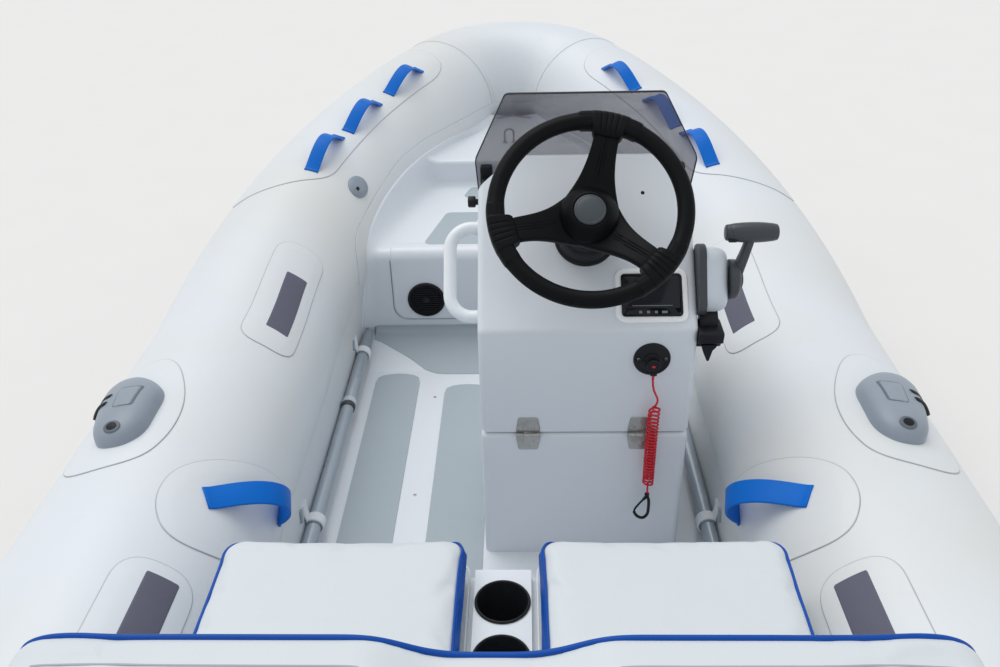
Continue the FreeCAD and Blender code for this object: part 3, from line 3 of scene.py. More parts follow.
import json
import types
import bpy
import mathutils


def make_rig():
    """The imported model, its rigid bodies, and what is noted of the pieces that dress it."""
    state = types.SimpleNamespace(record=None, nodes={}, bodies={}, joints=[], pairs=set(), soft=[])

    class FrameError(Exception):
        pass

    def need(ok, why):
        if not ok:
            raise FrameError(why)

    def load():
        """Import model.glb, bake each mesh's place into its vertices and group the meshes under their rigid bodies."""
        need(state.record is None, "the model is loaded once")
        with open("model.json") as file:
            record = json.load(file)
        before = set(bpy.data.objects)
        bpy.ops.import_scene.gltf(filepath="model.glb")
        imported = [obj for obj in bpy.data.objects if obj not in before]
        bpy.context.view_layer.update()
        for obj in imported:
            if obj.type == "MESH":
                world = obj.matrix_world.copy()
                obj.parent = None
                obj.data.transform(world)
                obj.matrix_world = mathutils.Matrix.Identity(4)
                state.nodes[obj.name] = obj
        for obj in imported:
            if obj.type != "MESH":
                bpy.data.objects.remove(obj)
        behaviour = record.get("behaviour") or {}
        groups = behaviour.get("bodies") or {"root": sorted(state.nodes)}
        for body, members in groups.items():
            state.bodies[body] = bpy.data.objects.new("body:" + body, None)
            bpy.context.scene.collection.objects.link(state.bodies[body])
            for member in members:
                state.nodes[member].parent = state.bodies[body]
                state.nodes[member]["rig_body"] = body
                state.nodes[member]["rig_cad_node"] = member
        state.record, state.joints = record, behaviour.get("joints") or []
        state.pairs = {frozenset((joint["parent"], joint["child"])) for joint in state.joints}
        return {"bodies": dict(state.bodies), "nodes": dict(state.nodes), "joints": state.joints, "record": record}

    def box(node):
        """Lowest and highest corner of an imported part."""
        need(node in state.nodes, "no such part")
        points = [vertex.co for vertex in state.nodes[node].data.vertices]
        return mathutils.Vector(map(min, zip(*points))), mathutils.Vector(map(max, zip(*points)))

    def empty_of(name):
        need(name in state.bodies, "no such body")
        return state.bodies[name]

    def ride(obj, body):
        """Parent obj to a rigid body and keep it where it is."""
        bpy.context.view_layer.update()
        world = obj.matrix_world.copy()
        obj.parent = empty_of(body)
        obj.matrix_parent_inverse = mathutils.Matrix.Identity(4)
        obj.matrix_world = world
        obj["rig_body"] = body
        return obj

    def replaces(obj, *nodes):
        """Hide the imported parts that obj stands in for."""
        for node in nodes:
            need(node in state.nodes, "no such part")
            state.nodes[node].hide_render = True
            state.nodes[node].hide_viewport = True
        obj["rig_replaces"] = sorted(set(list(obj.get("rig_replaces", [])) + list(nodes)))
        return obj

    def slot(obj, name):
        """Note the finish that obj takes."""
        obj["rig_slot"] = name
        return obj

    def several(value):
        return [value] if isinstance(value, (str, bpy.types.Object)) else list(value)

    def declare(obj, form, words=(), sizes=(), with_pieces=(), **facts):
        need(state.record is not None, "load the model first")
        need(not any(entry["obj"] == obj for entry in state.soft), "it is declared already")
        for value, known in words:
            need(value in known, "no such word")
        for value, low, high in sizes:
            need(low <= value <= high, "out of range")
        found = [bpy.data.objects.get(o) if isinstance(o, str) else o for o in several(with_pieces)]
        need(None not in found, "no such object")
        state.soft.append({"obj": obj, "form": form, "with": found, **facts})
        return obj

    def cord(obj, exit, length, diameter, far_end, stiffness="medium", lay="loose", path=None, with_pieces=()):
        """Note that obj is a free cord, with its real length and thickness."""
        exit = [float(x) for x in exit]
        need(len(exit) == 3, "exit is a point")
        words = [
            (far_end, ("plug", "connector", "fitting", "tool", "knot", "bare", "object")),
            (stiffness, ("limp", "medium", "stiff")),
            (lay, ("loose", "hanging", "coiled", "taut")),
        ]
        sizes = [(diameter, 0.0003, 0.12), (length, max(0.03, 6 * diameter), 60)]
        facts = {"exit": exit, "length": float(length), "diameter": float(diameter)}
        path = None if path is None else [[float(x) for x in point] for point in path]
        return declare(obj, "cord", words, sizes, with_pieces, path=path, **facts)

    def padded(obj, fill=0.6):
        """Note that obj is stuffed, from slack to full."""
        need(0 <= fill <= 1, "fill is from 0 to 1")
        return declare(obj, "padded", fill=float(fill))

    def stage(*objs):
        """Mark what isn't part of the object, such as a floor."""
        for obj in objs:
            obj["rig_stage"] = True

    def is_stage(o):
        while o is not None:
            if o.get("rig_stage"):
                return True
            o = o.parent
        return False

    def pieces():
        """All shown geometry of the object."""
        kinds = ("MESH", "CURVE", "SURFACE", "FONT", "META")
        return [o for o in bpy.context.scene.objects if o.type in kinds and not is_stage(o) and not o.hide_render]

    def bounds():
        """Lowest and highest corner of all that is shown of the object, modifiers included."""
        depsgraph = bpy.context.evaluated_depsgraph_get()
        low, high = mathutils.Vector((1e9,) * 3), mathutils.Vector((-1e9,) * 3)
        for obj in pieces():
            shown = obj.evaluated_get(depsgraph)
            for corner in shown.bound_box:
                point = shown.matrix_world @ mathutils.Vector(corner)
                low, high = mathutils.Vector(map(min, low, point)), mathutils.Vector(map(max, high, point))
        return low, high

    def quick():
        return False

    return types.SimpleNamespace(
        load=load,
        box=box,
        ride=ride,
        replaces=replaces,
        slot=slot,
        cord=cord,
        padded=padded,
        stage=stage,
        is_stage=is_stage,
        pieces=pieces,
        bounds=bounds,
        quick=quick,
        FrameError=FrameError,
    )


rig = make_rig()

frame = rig.load()

import json
import logging
import math
from dataclasses import dataclass, field
from enum import IntEnum
from typing import Callable, Iterable, Sequence

import bpy
import numpy as np
from mathutils import Matrix, Vector
from mathutils.bvhtree import BVHTree

logging.basicConfig(level=logging.INFO, format="%(message)s")
LOG = logging.getLogger("boat")
BOX_AT_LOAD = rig.bounds()
Array = np.ndarray
Two = tuple[Array, Array]
Part = Two
Pairs = Sequence[tuple[float, float]] | Array
X_DIR, Y_DIR, Z_DIR = np.eye(3)
NODES = frame["nodes"]


# Shader arithmetic

@dataclass(frozen=True)
class Val:
    """A shader socket that takes part in Python arithmetic."""

    tree: "Shade"
    socket: bpy.types.NodeSocket

    def _math(self, kind: str, first: "Num", second: "Num" = 0.0) -> "Val":
        """One Math node on two values."""
        return self.tree.node("ShaderNodeMath", {"operation": kind}, [first, second])["Value"]

    def __add__(self, other: "Num") -> "Val":
        """Sum."""
        return self._math("ADD", self, other)

    __radd__ = __add__

    def __sub__(self, other: "Num") -> "Val":
        """Difference."""
        return self._math("SUBTRACT", self, other)

    def __rsub__(self, other: "Num") -> "Val":
        """Difference from a value."""
        return self._math("SUBTRACT", other, self)

    def __mul__(self, other: "Num") -> "Val":
        """Product."""
        return self._math("MULTIPLY", self, other)

    __rmul__ = __mul__

    def __truediv__(self, other: "Num") -> "Val":
        """Quotient."""
        return self._math("DIVIDE", self, other)

    def __pow__(self, other: "Num") -> "Val":
        """Power."""
        return self._math("POWER", self, other)

    def __mod__(self, other: "Num") -> "Val":
        """Remainder, always positive."""
        return self._math("FLOORED_MODULO", self, other)

    def __abs__(self) -> "Val":
        """Size without sign."""
        return self._math("ABSOLUTE", self)

    def sin(self) -> "Val":
        """Sine, in radians."""
        return self._math("SINE", self)

    def min(self, other: "Num") -> "Val":
        """The smaller of two."""
        return self._math("MINIMUM", self, other)

    def max(self, other: "Num") -> "Val":
        """The larger of two."""
        return self._math("MAXIMUM", self, other)

    def step(self, low: float, high: float) -> "Val":
        """Smooth rise from 0 at low to 1 at high.

        Args:
            low: where the rise starts.
            high: where it ends; it may be below low, and then the value falls.

        Returns:
            The share between 0 and 1.
        """
        falls = high < low
        lo, hi = (high, low) if falls else (low, high)
        node = self.tree.node("ShaderNodeMapRange", {"interpolation_type": "SMOOTHSTEP"},
                              {"Value": self, "From Min": lo, "From Max": hi,
                               "To Min": 1.0 if falls else 0.0, "To Max": 0.0 if falls else 1.0})
        return node["Result"]


Num = Val | float
Colour = tuple[float, float, float]


@dataclass(frozen=True)
class Outputs:
    """The outputs of one node, read by name."""

    tree: "Shade"
    node: bpy.types.Node

    def __getitem__(self, name: str) -> Val:
        """The first live output of that name."""
        found = [s for s in self.node.outputs if s.name == name and s.enabled]
        return Val(self.tree, (found or [self.node.outputs[name]])[0])


class Shade:
    """Builds one material's node tree."""

    def __init__(self, name: str) -> None:
        """Start an empty material with its shader and output."""
        self.material = bpy.data.materials.new(name)
        self.material.use_nodes = True
        self.tree = self.material.node_tree
        self.tree.nodes.clear()
        self.out = self.tree.nodes.new("ShaderNodeOutputMaterial")
        self.shader = self.tree.nodes.new("ShaderNodeBsdfPrincipled")
        self.tree.links.new(self.shader.outputs[0], self.out.inputs["Surface"])

    def _feed(self, socket: bpy.types.NodeSocket, value: object) -> None:
        """Link a value or write a number or colour."""
        if isinstance(value, Val):
            self.tree.links.new(value.socket, socket)
        elif isinstance(value, (tuple, list)):
            size = len(socket.default_value)
            socket.default_value = (tuple(value) + (1.0,))[:size]
        else:
            socket.default_value = value

    def node(self, kind: str, settings: dict[str, object] | None = None,
             inputs: dict[str, object] | Sequence[object] | None = None) -> Outputs:
        """Make any node.

        Args:
            kind: the node's type name.
            settings: the node's own settings, set before its sockets; "stops" fills a ramp.
            inputs: values or links, by socket name, or in order.

        Returns:
            The node's outputs.
        """
        made = self.tree.nodes.new(kind)
        for key, value in (settings or {}).items():
            if key == "stops":
                ramp = made.color_ramp
                while len(ramp.elements) < len(value):
                    ramp.elements.new(0.5)
                for stop, (place, tint) in zip(ramp.elements, value):
                    stop.position = place
                    stop.color = (*tint, 1.0)
            else:
                setattr(made, key, value)
        if isinstance(inputs, dict):
            for key, value in inputs.items():
                found = [s for s in made.inputs if s.name == key and s.enabled]
                self._feed((found or [made.inputs[key]])[0], value)
        elif inputs is not None:
            for socket, value in zip(made.inputs, inputs):
                self._feed(socket, value)
        return Outputs(self, made)

    def put(self, **values: object) -> None:
        """Feed the main shader; underscores in names stand for spaces."""
        for key, value in values.items():
            self._feed(self.shader.inputs[key.replace("_", " ")], value)

    def object_point(self) -> Val:
        """Object coordinates."""
        return self.node("ShaderNodeTexCoord")["Object"]

    def parts(self, vector: Val) -> tuple[Val, Val, Val]:
        """The three numbers of a vector."""
        split = self.node("ShaderNodeSeparateXYZ", None, [vector])
        return split["X"], split["Y"], split["Z"]

    def attribute(self, name: str) -> Val:
        """A number stored on the mesh."""
        return self.node("ShaderNodeAttribute", {"attribute_name": name})["Fac"]

    def stretch(self, vector: Val, factors: Colour) -> Val:
        """A vector with each number multiplied."""
        return self.node("ShaderNodeVectorMath", {"operation": "MULTIPLY"}, [vector, factors])[
            "Vector"]

    def noise(self, vector: Val, scale: float, detail: float = 3.0, rough: float = 0.5) -> Val:
        """Fractal noise about 0.5."""
        return self.node(
            "ShaderNodeTexNoise", {"noise_dimensions": "3D"},
            {"Vector": vector, "Scale": scale, "Detail": detail, "Roughness": rough})["Fac"]

    def cells(self, vector: Val, scale: float, feature: str = "F1") -> Val:
        """Distance in a field of cells."""
        return self.node("ShaderNodeTexVoronoi", {"feature": feature},
                         {"Vector": vector, "Scale": scale})["Distance"]

    def mix(self, share: Num, first: "Val | Colour", second: "Val | Colour") -> Val:
        """Blend two colours."""
        made = self.tree.nodes.new("ShaderNodeMix")
        made.data_type = "RGBA"
        for name, value in (("Factor", share), ("A", first), ("B", second)):
            socket = [s for s in made.inputs if s.name == name and s.enabled][0]
            self._feed(socket, value)
        return Val(self, [s for s in made.outputs if s.enabled][0])

    def bump(self, *layers: tuple[Val, float, float]) -> None:
        """Feed Normal with height fields.

        Args:
            layers: each a height, its strength and its distance in metres.
        """
        normal: Val | None = None
        for height, strength, distance in layers:
            inputs: dict[str, object] = {
                "Height": height, "Strength": strength, "Distance": distance}
            if normal is not None:
                inputs["Normal"] = normal
            normal = self.node("ShaderNodeBump", None, inputs)["Normal"]
        if normal is not None:
            self._feed(self.shader.inputs["Normal"], normal)


# Finishes

MADE: dict[str, bpy.types.Material] = {}


@dataclass(frozen=True)
class Finish:
    """A finish that makes one material, with its slot in the record."""

    name: str
    slot: str

    def dress(self, shade: Shade) -> None:
        """Build the nodes."""

    def material(self) -> bpy.types.Material:
        """The material, made once."""
        if self.name not in MADE:
            shade = Shade(self.name)
            self.dress(shade)
            MADE[self.name] = shade.material
        return MADE[self.name]


@dataclass(frozen=True)
class TubeFabric(Finish):
    """Coated white tube fabric: fine weave under a satin skin, grey line at glued edges."""

    colour: Colour = (0.72, 0.755, 0.80)
    warm: Colour = (0.70, 0.71, 0.70)
    line: Colour = (0.30, 0.315, 0.335)
    line_share: float = 0.0
    roughness: float = 0.42

    def dress(self, shade: Shade) -> None:
        """Weave bump, broad tone drift, faint soiling and the glued edge's line."""
        point = shade.object_point()
        broad = shade.noise(point, 1.6, 3.0)
        fine = shade.noise(point, 38.0, 4.0, 0.6)
        tint = shade.mix(broad.step(0.35, 0.72), self.colour, self.warm)
        tint = shade.mix(fine.step(0.55, 0.8) * 0.08, tint, (0.55, 0.56, 0.56))
        if self.line_share:
            tint = shade.mix(shade.attribute("edge") * self.line_share * (fine * 0.6 + 0.7),
                             tint, self.line)
        shade.put(Base_Color=tint, Roughness=self.roughness + (fine - 0.5) * 0.12)
        weave = shade.cells(point, 900.0)
        wrinkle = shade.noise(shade.stretch(point, (0.5, 1.0, 1.0)), 9.0, 3.0, 0.5)
        shade.bump((wrinkle, 0.12, 0.004), (weave, 0.06, 0.0006))


@dataclass(frozen=True)
class Gelcoat(Finish):
    """White moulded gelcoat with a shallow ripple and faint dust."""

    colour: Colour = (0.74, 0.775, 0.82)
    roughness: float = 0.34

    def dress(self, shade: Shade) -> None:
        """Broad ripple in the bump and the roughness, a soft cloud of dust in the colour."""
        point = shade.object_point()
        broad = shade.noise(point, 2.3, 2.0)
        dust = shade.noise(point, 9.0, 3.0, 0.55)
        shade.put(Base_Color=shade.mix((dust - 0.3).max(0.0) * 0.06, self.colour,
                                       (0.66, 0.68, 0.69)),
                  Roughness=self.roughness + (broad - 0.5) * 0.04)
        shade.bump((broad, 0.04, 0.005))


@dataclass(frozen=True)
class NonSkid(Finish):
    """Grey non-slip paint with a fine pebble."""

    colour: Colour = (0.36, 0.42, 0.46)
    lift: Colour = (0.42, 0.475, 0.51)

    def dress(self, shade: Shade) -> None:
        """Pebbles from cells, a slow change of tone."""
        point = shade.object_point()
        pebble = shade.cells(point, 420.0)
        broad = shade.noise(point, 3.0, 4.0)
        worn = shade.noise(point, 26.0, 4.0, 0.6)
        shade.put(Base_Color=shade.mix(broad * 0.7 + worn * 0.3, self.colour, self.lift),
                  Roughness=0.62 + (worn - 0.5) * 0.2)
        shade.bump((pebble, 0.35, 0.0009))


@dataclass(frozen=True)
class Vinyl(Finish):
    """Upholstery vinyl with a pebbled leather grain and soft creases."""

    colour: Colour = (0.66, 0.70, 0.73)
    roughness: float = 0.5
    grain: float = 520.0

    def dress(self, shade: Shade) -> None:
        """Two sizes of cells make the grain; noise makes the creases."""
        point = shade.object_point()
        coarse = shade.cells(point, self.grain * 0.55, "DISTANCE_TO_EDGE")
        fine = shade.cells(point, self.grain)
        crease = shade.noise(point, 14.0, 4.0, 0.6)
        shade.put(Base_Color=shade.mix((crease - 0.45) * 0.5, self.colour,
                                       tuple(c * 0.9 for c in self.colour)),
                  Roughness=self.roughness + (fine - 0.4) * 0.14)
        shade.bump((crease, 0.10, 0.004), (coarse, 0.22, 0.0006), (fine, 0.12, 0.0004))


@dataclass(frozen=True)
class Moulded(Finish):
    """Moulded plastic or paint with a spark-eroded texture."""

    colour: Colour = (0.02, 0.02, 0.022)
    roughness: float = 0.45
    texture: float = 900.0
    depth: float = 0.0003
    metallic: float = 0.0
    drift: float = 0.12
    specular: float = 0.5

    def dress(self, shade: Shade) -> None:
        """Fine texture in bump and roughness, slight drift of colour."""
        point = shade.object_point()
        fine = shade.noise(point, self.texture, 2.0)
        broad = shade.noise(point, 11.0, 4.0, 0.6)
        lighter = tuple(min(1.0, c * (1 + self.drift * 2) + 0.01 * self.drift)
                        for c in self.colour)
        shade.put(Base_Color=shade.mix(broad, self.colour, lighter),
                  Roughness=self.roughness + (broad - 0.5) * 0.18 + (fine - 0.5) * 0.1,
                  Metallic=self.metallic)
        shade.put(Specular_IOR_Level=self.specular)
        shade.bump((fine, 0.25, self.depth))


@dataclass(frozen=True)
class Brushed(Finish):
    """Brushed metal with streaks along one direction."""

    colour: Colour = (0.43, 0.425, 0.405)
    streak: Colour = (900.0, 14.0, 14.0)
    roughness: float = 0.30

    def dress(self, shade: Shade) -> None:
        """Stretched noise gives the streaks."""
        point = shade.object_point()
        lines = shade.noise(shade.stretch(point, self.streak), 1.0, 3.0, 0.7)
        spot = shade.noise(point, 45.0, 4.0, 0.6)
        shade.put(Base_Color=shade.mix(spot.step(0.45, 0.8), self.colour,
                                       tuple(c * 0.7 for c in self.colour)), Metallic=0.9,
                  Roughness=self.roughness + (lines - 0.5) * 0.3 + (spot - 0.5) * 0.15)
        shade.bump((lines, 0.12, 0.0003))


@dataclass(frozen=True)
class Smoked(Finish):
    """Smoked acrylic sheet: purplish dark tint, glossy and half clear."""

    colour: Colour = (0.085, 0.078, 0.105)
    alpha: float = 0.50

    def dress(self, shade: Shade) -> None:
        """Faint smears in the roughness, even tint."""
        point = shade.object_point()
        smear = shade.noise(shade.stretch(point, (1.0, 1.0, 0.3)), 16.0, 4.0, 0.6)
        shade.put(Base_Color=shade.mix(smear, self.colour, tuple(c * 1.6 for c in self.colour)),
                  Roughness=0.06 + (smear - 0.4).max(0.0) * 0.12, Alpha=self.alpha)


# Mesh making

def build_mesh(name: str, points: Array, faces: Array) -> bpy.types.Mesh:
    """Make a smooth mesh from arrays.

    Args:
        name: the mesh's name.
        points: positions, n by 3, in metres.
        faces: corner numbers, n by 4; a repeated last corner makes a triangle.

    Returns:
        The mesh.
    """
    points, faces = np.asarray(points, float).reshape(-1, 3), np.asarray(faces, int)
    repeated = faces == np.roll(faces, -1, axis=1)
    sizes = 4 - repeated.sum(axis=1)
    loops = faces[~repeated]
    mesh = bpy.data.meshes.new(name)
    mesh.vertices.add(len(points))
    mesh.vertices.foreach_set("co", points.astype(np.float32).ravel())
    mesh.loops.add(len(loops))
    mesh.loops.foreach_set("vertex_index", loops.astype(np.int32))
    mesh.polygons.add(len(faces))
    mesh.polygons.foreach_set("loop_start", (np.cumsum(sizes) - sizes).astype(np.int32))
    mesh.polygons.foreach_set("use_smooth", np.ones(len(faces), bool))
    mesh.update(calc_edges=True)
    mesh.validate()
    return mesh


def grid_faces(rows: int, cols: int, wrap_rows: bool = False, wrap_cols: bool = False) -> Array:
    """Quads of a grid whose points are numbered row by row."""
    r = np.arange(rows if wrap_rows else rows - 1)
    c = np.arange(cols if wrap_cols else cols - 1)
    i, j = np.meshgrid(r, c, indexing="ij")
    i2, j2 = (i + 1) % rows, (j + 1) % cols
    quads = np.stack([i * cols + j, i2 * cols + j, i2 * cols + j2, i * cols + j2], axis=-1)
    return quads.reshape(-1, 4)


def fan_faces(ring: Array, centre: int) -> Array:
    """Triangles, as quads with a repeated corner, from a closed ring of points to a centre."""
    return np.stack([ring, np.roll(ring, -1), np.full(len(ring), centre),
                     np.full(len(ring), centre)], axis=-1)


def skin_of(rings: Array | Sequence[Array]) -> Part:
    """Closed skin through rings of points, each end closed by a fan to its middle."""
    rings = np.stack(list(rings))
    n, m = rings.shape[:2]
    ends = np.stack([rings[0].mean(axis=0), rings[-1].mean(axis=0)])
    points = np.concatenate([rings.reshape(-1, 3), ends])
    faces = [grid_faces(n, m, wrap_cols=True), fan_faces(np.arange(m), n * m),
             fan_faces(np.arange(m)[::-1] + (n - 1) * m, n * m + 1)]
    return outwards(points, np.concatenate(faces))


def loop_skin(rings: Array | Sequence[Array]) -> Part:
    """Closed skin through rings whose last one joins the first."""
    rings = np.stack(list(rings))
    faces = grid_faces(*rings.shape[:2], wrap_rows=True, wrap_cols=True)
    return outwards(rings.reshape(-1, 3), faces)


def join_parts(parts: Iterable[Part]) -> Part:
    """Several skins as one list of points and faces."""
    points: list[Array] = []
    faces: list[Array] = []
    count = 0
    for part_points, part_faces in parts:
        points.append(part_points.reshape(-1, 3))
        faces.append(part_faces + count)
        count += len(points[-1])
    return np.concatenate(points), np.concatenate(faces)


def outwards(points: Array, faces: Array) -> Part:
    """A closed skin whose faces are turned outwards by the sign of its volume."""
    a, b, c, d = (points[faces[:, k]] for k in range(4))
    volume = np.einsum("ij,ij->", a, np.cross(b, c)) + np.einsum("ij,ij->", a, np.cross(c, d))
    return points, faces[:, ::-1] if volume < 0 else faces


def mm(*numbers: float, width: int = 2) -> Array:
    """Millimetres in rows of a width, as metres."""
    return np.round(np.reshape(numbers, (-1, width)) / 1000, 7)


def full_turn(count: int) -> Array:
    """Angles evenly round a circle."""
    return np.linspace(0, 2 * math.pi, count, endpoint=False)


def circle(count: int) -> Array:
    """Points round a circle of radius one."""
    return np.stack([np.cos(full_turn(count)), np.sin(full_turn(count))], axis=-1)


def lay(flat: Array, axis: int, value: float) -> Array:
    """Flat points as space points with one value on the missing axis."""
    return np.insert(flat, axis, value, axis=1)


class Side(IntEnum):
    """The boat's sides, by the sign of Y."""

    PORT = 1
    STARBOARD = -1


def flip(side: int) -> Array:
    """Factors that mirror points for the starboard side, -1."""
    return np.array([1.0, side, 1.0])


def word_of(side: int) -> str:
    """Name of a side, 1 or -1."""
    return Side(side).name.lower()


def prism(line: Array, levels: Pairs, axis: int) -> Part:
    """Prism of a flat line, scaled about its middle by a share at each level of an axis."""
    middle = line.mean(axis=0)
    return skin_of([lay(middle + (line - middle) * share, axis, level) for share, level in levels])


def unit(vectors: Array) -> Array:
    """Vectors of length one."""
    return vectors / np.maximum(np.linalg.norm(vectors, axis=-1, keepdims=True), 1e-12)


def ease(share: Array) -> Array:
    """Smooth step of a share s between 0 and 1: 3 s^2 - 2 s^3."""
    return share ** 2 * (3 - 2 * share)


def round_section(half_a: float, half_b: float, corner: float, per_corner: int = 6) -> Array:
    """Rounded rectangle, as points of two numbers, turning one way round.

    Args:
        half_a: half width.
        half_b: half height.
        corner: corner radius.
        per_corner: points in each corner.

    Returns:
        Points, 4 times per_corner by 2.
    """
    corner = min(corner, half_a, half_b)
    turn = np.linspace(0, math.pi / 2, per_corner)
    arcs = []
    for quarter, (sa, sb) in enumerate(((1, 1), (-1, 1), (-1, -1), (1, -1))):
        angle = turn + quarter * math.pi / 2
        arcs.append(np.stack([sa * (half_a - corner) + corner * np.cos(angle),
                              sb * (half_b - corner) + corner * np.sin(angle)], axis=-1))
    return np.concatenate(arcs)


def carried(path: Array, section: Array, up: Array) -> Array:
    """Rings of a flat section carried along a path.

    Args:
        path: points, n by 3.
        section: points of two numbers, m by 2, or n by m by 2 where it changes.
        up: the direction of the section's second number, 3 or n by 3.

    Returns:
        Rings, n by m by 3. Each point is the path's point plus the first number times the
        side direction plus the second times the part of up square to the path.
    """
    heading = unit(np.gradient(path, axis=0))
    up = np.broadcast_to(np.asarray(up, float), path.shape)
    side = unit(np.cross(heading, up))
    over = unit(np.cross(side, heading))
    if section.ndim == 2:
        section = np.broadcast_to(section, (len(path), *section.shape))
    return (path[:, None] + section[..., :1] * side[:, None] + section[..., 1:] * over[:, None])


def smooth_line(points: Sequence[Sequence[float]], count: int) -> Array:
    """Even points on a Catmull-Rom curve through the given ones."""
    p = np.asarray(points, float)
    p = np.concatenate([[2 * p[0] - p[1]], p, [2 * p[-1] - p[-2]]])
    t = np.linspace(0, len(p) - 3 - 1e-9, count)
    k = t.astype(int)
    f = (t - k)[:, None]
    a, b, c, d = p[k], p[k + 1], p[k + 2], p[k + 3]
    return 0.5 * (2 * b + (c - a) * f + (2 * a - 5 * b + 4 * c - d) * f ** 2
                  + (3 * b - a - 3 * c + d) * f ** 3)


def fresh(name: str, data: bpy.types.ID) -> bpy.types.Object:
    """A new object in the scene."""
    made = bpy.data.objects.new(name, data)
    bpy.context.scene.collection.objects.link(made)
    return made


def dress(made: bpy.types.Object, finish: Finish, *stands_for: str, body: str = "hull",
          slot: str | None = None) -> bpy.types.Object:
    """Give an object its finish, body, replaced nodes and slot.

    Args:
        made: the object.
        finish: its finish.
        stands_for: the CAD nodes that it replaces.
        body: the body that it rides on.
        slot: the record's material slot, or the finish's own if None.

    Returns:
        The object.
    """
    made.data.materials.clear()
    made.data.materials.append(finish.material())
    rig.ride(made, body)
    if stands_for:
        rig.replaces(made, *stands_for)
    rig.slot(made, slot or finish.slot)
    LOG.info("piece %s on %s, %s", made.name, body, finish.name)
    return made


def piece(name: str, made_of: bpy.types.Mesh | Sequence[Part], finish: Finish,
          *stands_for: str, body: str = "hull", crease: float | None = 38.0,
          slot: str | None = None) -> bpy.types.Object:
    """Put a piece into the scene.

    Args:
        name: the piece's name.
        made_of: its mesh, or the closed skins that make it.
        finish: its finish.
        stands_for: the CAD nodes that it replaces.
        body: the body that it rides on.
        crease: edges over this angle stay sharp; None shades all of it smooth.
        slot: the record's material slot, or the finish's own if None.

    Returns:
        The object.
    """
    mesh = made_of
    if not isinstance(mesh, bpy.types.Mesh):
        mesh = build_mesh(name, *join_parts(made_of))
        if crease is not None:
            mesh.set_sharp_from_angle(angle=math.radians(crease))
    return dress(fresh(name, mesh), finish, *stands_for, body=body, slot=slot)


def put_attribute(mesh: bpy.types.Mesh, name: str, values: Array) -> None:
    """Store one number per point."""
    made = mesh.attributes.new(name, "FLOAT", "POINT")
    made.data.foreach_set("value", np.asarray(values, np.float32).ravel())


# The tubes' shape

